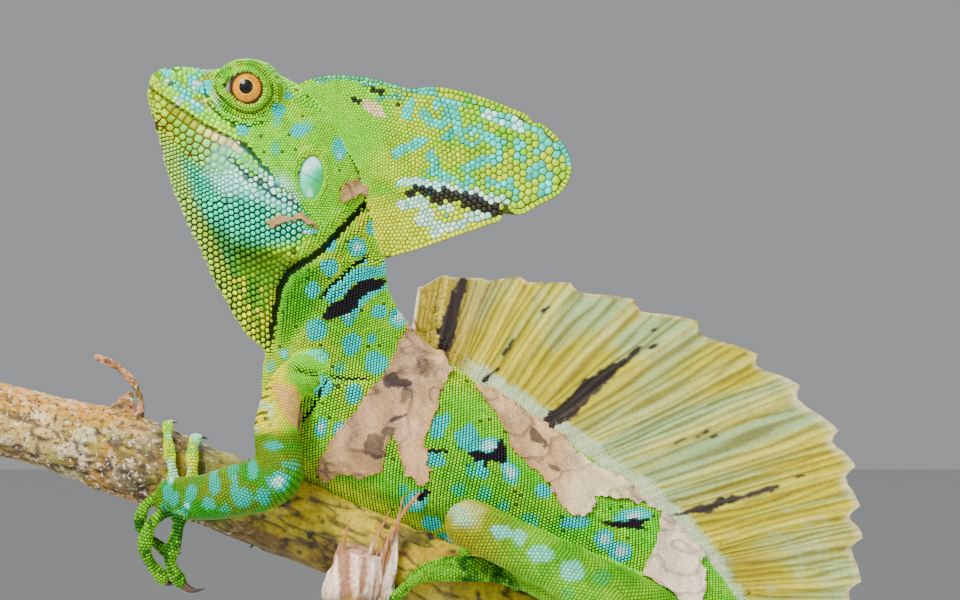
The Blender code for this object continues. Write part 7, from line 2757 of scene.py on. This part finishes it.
def light_and_view():
    world = bpy.data.worlds.new("pale room")
    world.use_nodes = True
    back = world.node_tree.nodes["Background"]
    back.inputs["Color"].default_value = (0.80, 0.82, 0.84, 1.0)
    back.inputs["Strength"].default_value = 0.42
    bpy.context.scene.world = world
    middle = (-0.02, 0.0, 0.30)
    area_light("key", (-0.55, -0.85, 1.05), middle, 0.42, 37.0, (1.0, 0.97, 0.92))
    area_light("fill", (0.75, -1.00, 0.35), middle, 1.1, 9.0, (0.92, 0.96, 1.0))
    area_light("rim", (0.10, 0.70, 1.05), middle, 0.7, 18.0, (1.0, 0.99, 0.96))
    bpy.ops.object.select_all(action="DESELECT")
    bpy.ops.mesh.primitive_plane_add(size=16.0, location=(0, 0, 0))
    floor = bpy.context.active_object
    floor.name = "floor"
    look = Look("floor", Roughness=0.7)
    look.shader.inputs["Base Color"].default_value = (0.72, 0.72, 0.71, 1.0)
    floor.data.materials.append(look.material)
    lens = bpy.data.cameras.new("view")
    lens.lens, lens.sensor_width, lens.clip_start, lens.clip_end = 200.0, 36.0, 0.05, 30.0
    camera = bpy.data.objects.new("view", lens)
    camera.location = (-0.022, -1.44, 0.300)
    camera.rotation_euler = (math.radians(90), 0, 0)
    bpy.context.scene.collection.objects.link(camera)
    bpy.context.scene.camera = camera


def skin_tints(skin, coats):
    """The skin takes the colour of the gaps beside the nearest scale, with painted shade along the mouth,
    in the nostrils, along the creases and round the eye openings.
    """
    roots = np.concatenate([np.concatenate(c.roots) for c in coats if c.roots])
    gaps = np.concatenate([np.concatenate(c.gaps) for c in coats if c.gaps])
    tree = KDTree(len(roots))
    for k, root in enumerate(roots):
        tree.insert(root, k)
    tree.balance()
    points = places(skin)
    nearest = np.array([tree.find(p)[1] for p in points])
    tints = gaps[nearest]
    flat = sighted(points)
    head = (points[:, 0] < -28) & (points[:, 2] > -20)
    mouth, _, _ = from_line(flat, MOUTH)
    # the mouth's line painted dark: painted shade in its groove
    tints = mixed(tints, tone(30, 20, 14), smooth(1.6, 0.6, mouth) * head)
    # the nostrils painted near black: painted shade in the openings
    nostril = (((flat - NOSTRIL_PLACE) / (4.6, 2.4)) ** 2).sum(axis=1)
    tints = mixed(tints, tone(14, 10, 8), smooth(1.1, 0.6, nostril) * head)
    # painted shade along the creases
    for line, _, width in CREASES:
        crease, _, _ = from_line(flat, line)
        tints = mixed(tints, tints * 0.15,
                      smooth(1.9, 0.5, crease * SIGHT / width) * (np.abs(points[:, 1]) < 18))
    # painted shade round the eye openings
    margin = from_outline(flat, np.array(EYE_OPENING, float)) * SIGHT
    tints = mixed(tints, tone(20, 15, 12), smooth(0.35, -0.2, margin) * head)
    set_tint(skin, tints)


def lizard():
    scale = tinted_look("scales", 2600.0, 1.12, 0.86, 0.42, (0.35, 0.00005), Specular_IOR_Level=0.14)
    skin_look = tinted_look("skin", 1800.0, 1.2, 0.8, 0.7, (0.4, 0.00008), Specular_IOR_Level=0.1)
    skin = flesh()
    ground = Ground(skin)
    flank = Flank()
    coats = flank_coats(ground, flank)
    coats.append(snout_tip_coat(ground))
    loose_skin(ground, flank, tinted_look("loose_skin", 1400.0, 1.12, 0.84, 0.8, (0.4, 0.00008)))
    lids = lid_coat(ground)
    for side in (-1, 1):
        brow_tops(lids, ground, [*coats, lids], side)
    others = limb_coats(ground)
    for coat in coats:
        head_part = coat.name.split("_")[1] in ("snout", "cheek", "throat")
        coat.piece(scale, "head_skin" if head_part else "body_skin")
    lids.piece(scale, "head_skin")
    for coat, slot in others:
        coat.piece(scale, slot)
    skin_tints(skin, [*coats, lids, *[c for c, _ in others]])
    skin.data.shade_smooth()
    nodes = [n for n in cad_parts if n.split("_")[0] in ("head", "neck", "torso", "arm", "leg",
        "hand", "foot")]
    nodes += [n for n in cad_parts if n.startswith("tail_") and n != "tail_fin"]
    dressed(skin, skin_look, "body_skin", *nodes)
    drum = Look("ear_drum", Roughness=0.22, Coat_Weight=0.5, Coat_Roughness=0.1)
    drum.feeds(Base_Color=drum.scaled(drum.tint(), drum.ramp(drum.noise(1200.0), 0.3, 0.7, 0.85, 1.12)))
    drum.bump(drum.noise(700.0), 0.2, 0.0001)
    ear_drums(ground, drum.material)
    for side, node in ((-1, "eye_left"), (1, "eye_right")):
        eyeball(node, side, eye_look(side))
    claws(tinted_look("claw", 1500.0, 1.1, 0.8, 0.25, (0.2, 0.00004), Coat_Weight=0.3))
    return scale, skin_look


def limb_coats(ground):
    """Scales of arms, legs, tail and digits."""
    pitches = {"arm": (0.86, arm_paint), "thigh": (1.1, leg_paint), "shin": (1.1, leg_paint),
               "sole": (1.1, leg_paint)}
    coats = {}
    for number, (name, tube) in enumerate(LIMBS):
        part, side = name.split("_")
        pitch, paint = pitches[part]
        name = ("scales_arm_" if part == "arm" else "scales_leg_") + side
        coat = coats.setdefault(name, Coat(name))
        coat.band = (number % 5 / 5, (number % 5 + 1) / 5)
        tube_coat(coat, tube, pitch, paint, ground, 0.15, near=side == "left", rim=0.72, shade=0.4)
    tail = Coat("scales_tail")
    tube_coat(tail, TAIL, 1.45, tail_paint, ground, 0.3, stretch=1.15)
    digits = Coat("scales_digits")
    for number, (tube, _, bright) in enumerate(ALL_DIGITS):
        digits.band = (number / len(ALL_DIGITS), (number + 1) / len(ALL_DIGITS))
        tube_coat(digits, tube, 1.0, digit_paint(bright), ground, 0.2)
    return [*[(c, "limb_skin") for c in coats.values()], (tail, "tail_skin"), (digits, "limb_skin")]


def wood_look():
    look = Look("base_wood", Roughness=0.35, Coat_Weight=0.35, Coat_Roughness=0.18)
    where = look.node("ShaderNodeVectorMath", {"operation": "MULTIPLY"},
                      {0: look.places(), 1: (6.0, 70.0, 70.0)})
    wavy = look.noise(1.4, 4.0, 0.6, where)
    rings = look.node("ShaderNodeMath", {"operation": "SINE"}, {0: wavy * 26.0})
    colour = look.blend(look.ramp(rings, -1.0, 1.0), rgba(tone(78, 46, 28)), rgba(tone(128, 80, 48)))
    where = look.node("ShaderNodeVectorMath", {"operation": "MULTIPLY"},
                      {0: look.places(), 1: (90.0, 2200.0, 2200.0)})
    pores = look.noise(1.0, 3.0, 0.6, where)
    colour = look.blend(look.ramp(pores, 0.56, 0.72), colour, rgba(tone(44, 26, 16)))
    look.feeds(Base_Color=colour)
    look.bump(pores, 0.15, 0.0001)
    return look.material


def bark_look():
    """Bark coloured by its points, peppered with dark and pale grains towards the thin end."""
    look = Look("bark", Roughness=0.85)
    fine = look.noise(1000.0, 4.0, 0.6)
    broad = look.noise(210.0, 3.0)
    along = look.node("ShaderNodeSeparateXYZ", {}, {0: look.places()}, "X")
    thin_end = look.ramp(along + (broad - 0.5) * 0.05, -0.08, -0.105)
    colour = look.scaled(look.tint(), look.ramp(fine, 0.3, 0.7, 0.7, 1.2))
    dark = look.ramp(look.noise(760.0, 4.0, 0.7), 0.53, 0.61) * (thin_end * 0.75 + 0.15)
    colour = look.blend(dark, colour, rgba(tone(52, 44, 34)))
    pale = look.ramp(look.noise(620.0, 4.0, 0.7,
                                look.node("ShaderNodeVectorMath", {},
                                          {0: look.places(), 1: (3.1, 0.7, 1.9)})), 0.56, 0.64)
    colour = look.blend(pale * (thin_end * 0.7 + 0.03), colour, rgba(tone(222, 212, 190)))
    moss = look.ramp(look.noise(330.0, 3.0, 0.6), 0.56, 0.7) * 0.35
    colour = look.blend(moss, colour, rgba(tone(120, 124, 44)))
    look.feeds(Base_Color=colour)
    look.bump(fine + dark * 0.5, 0.6, 0.0003)
    return look.material


def steel_look():
    look = Look("rod_steel", Metallic=1.0, Roughness=0.32)
    look.shader.inputs["Base Color"].default_value = (0.56, 0.56, 0.57, 1.0)
    where = look.node("ShaderNodeVectorMath", {"operation": "MULTIPLY"},
                      {0: look.places(), 1: (300.0, 300.0, 9000.0)})
    brushed = look.noise(1.0, 2.0, 0.5, where)
    look.feeds(Roughness=look.ramp(brushed, 0.3, 0.7, 0.24, 0.42))
    return look.material


scale_look, skin_look = lizard()
crests(tinted_look("crest_skin", 1800.0, 1.2, 0.8, 0.7, Specular_IOR_Level=0.15), scale_look)
sail_and_fin(tinted_look("sail_skin", 1500.0, 1.12, 0.86, 0.65, (0.35, 0.00008),
                         Specular_IOR_Level=0.25), scale_look)
perch(bark_look())
stand(wood_look(), steel_look())
light_and_view()
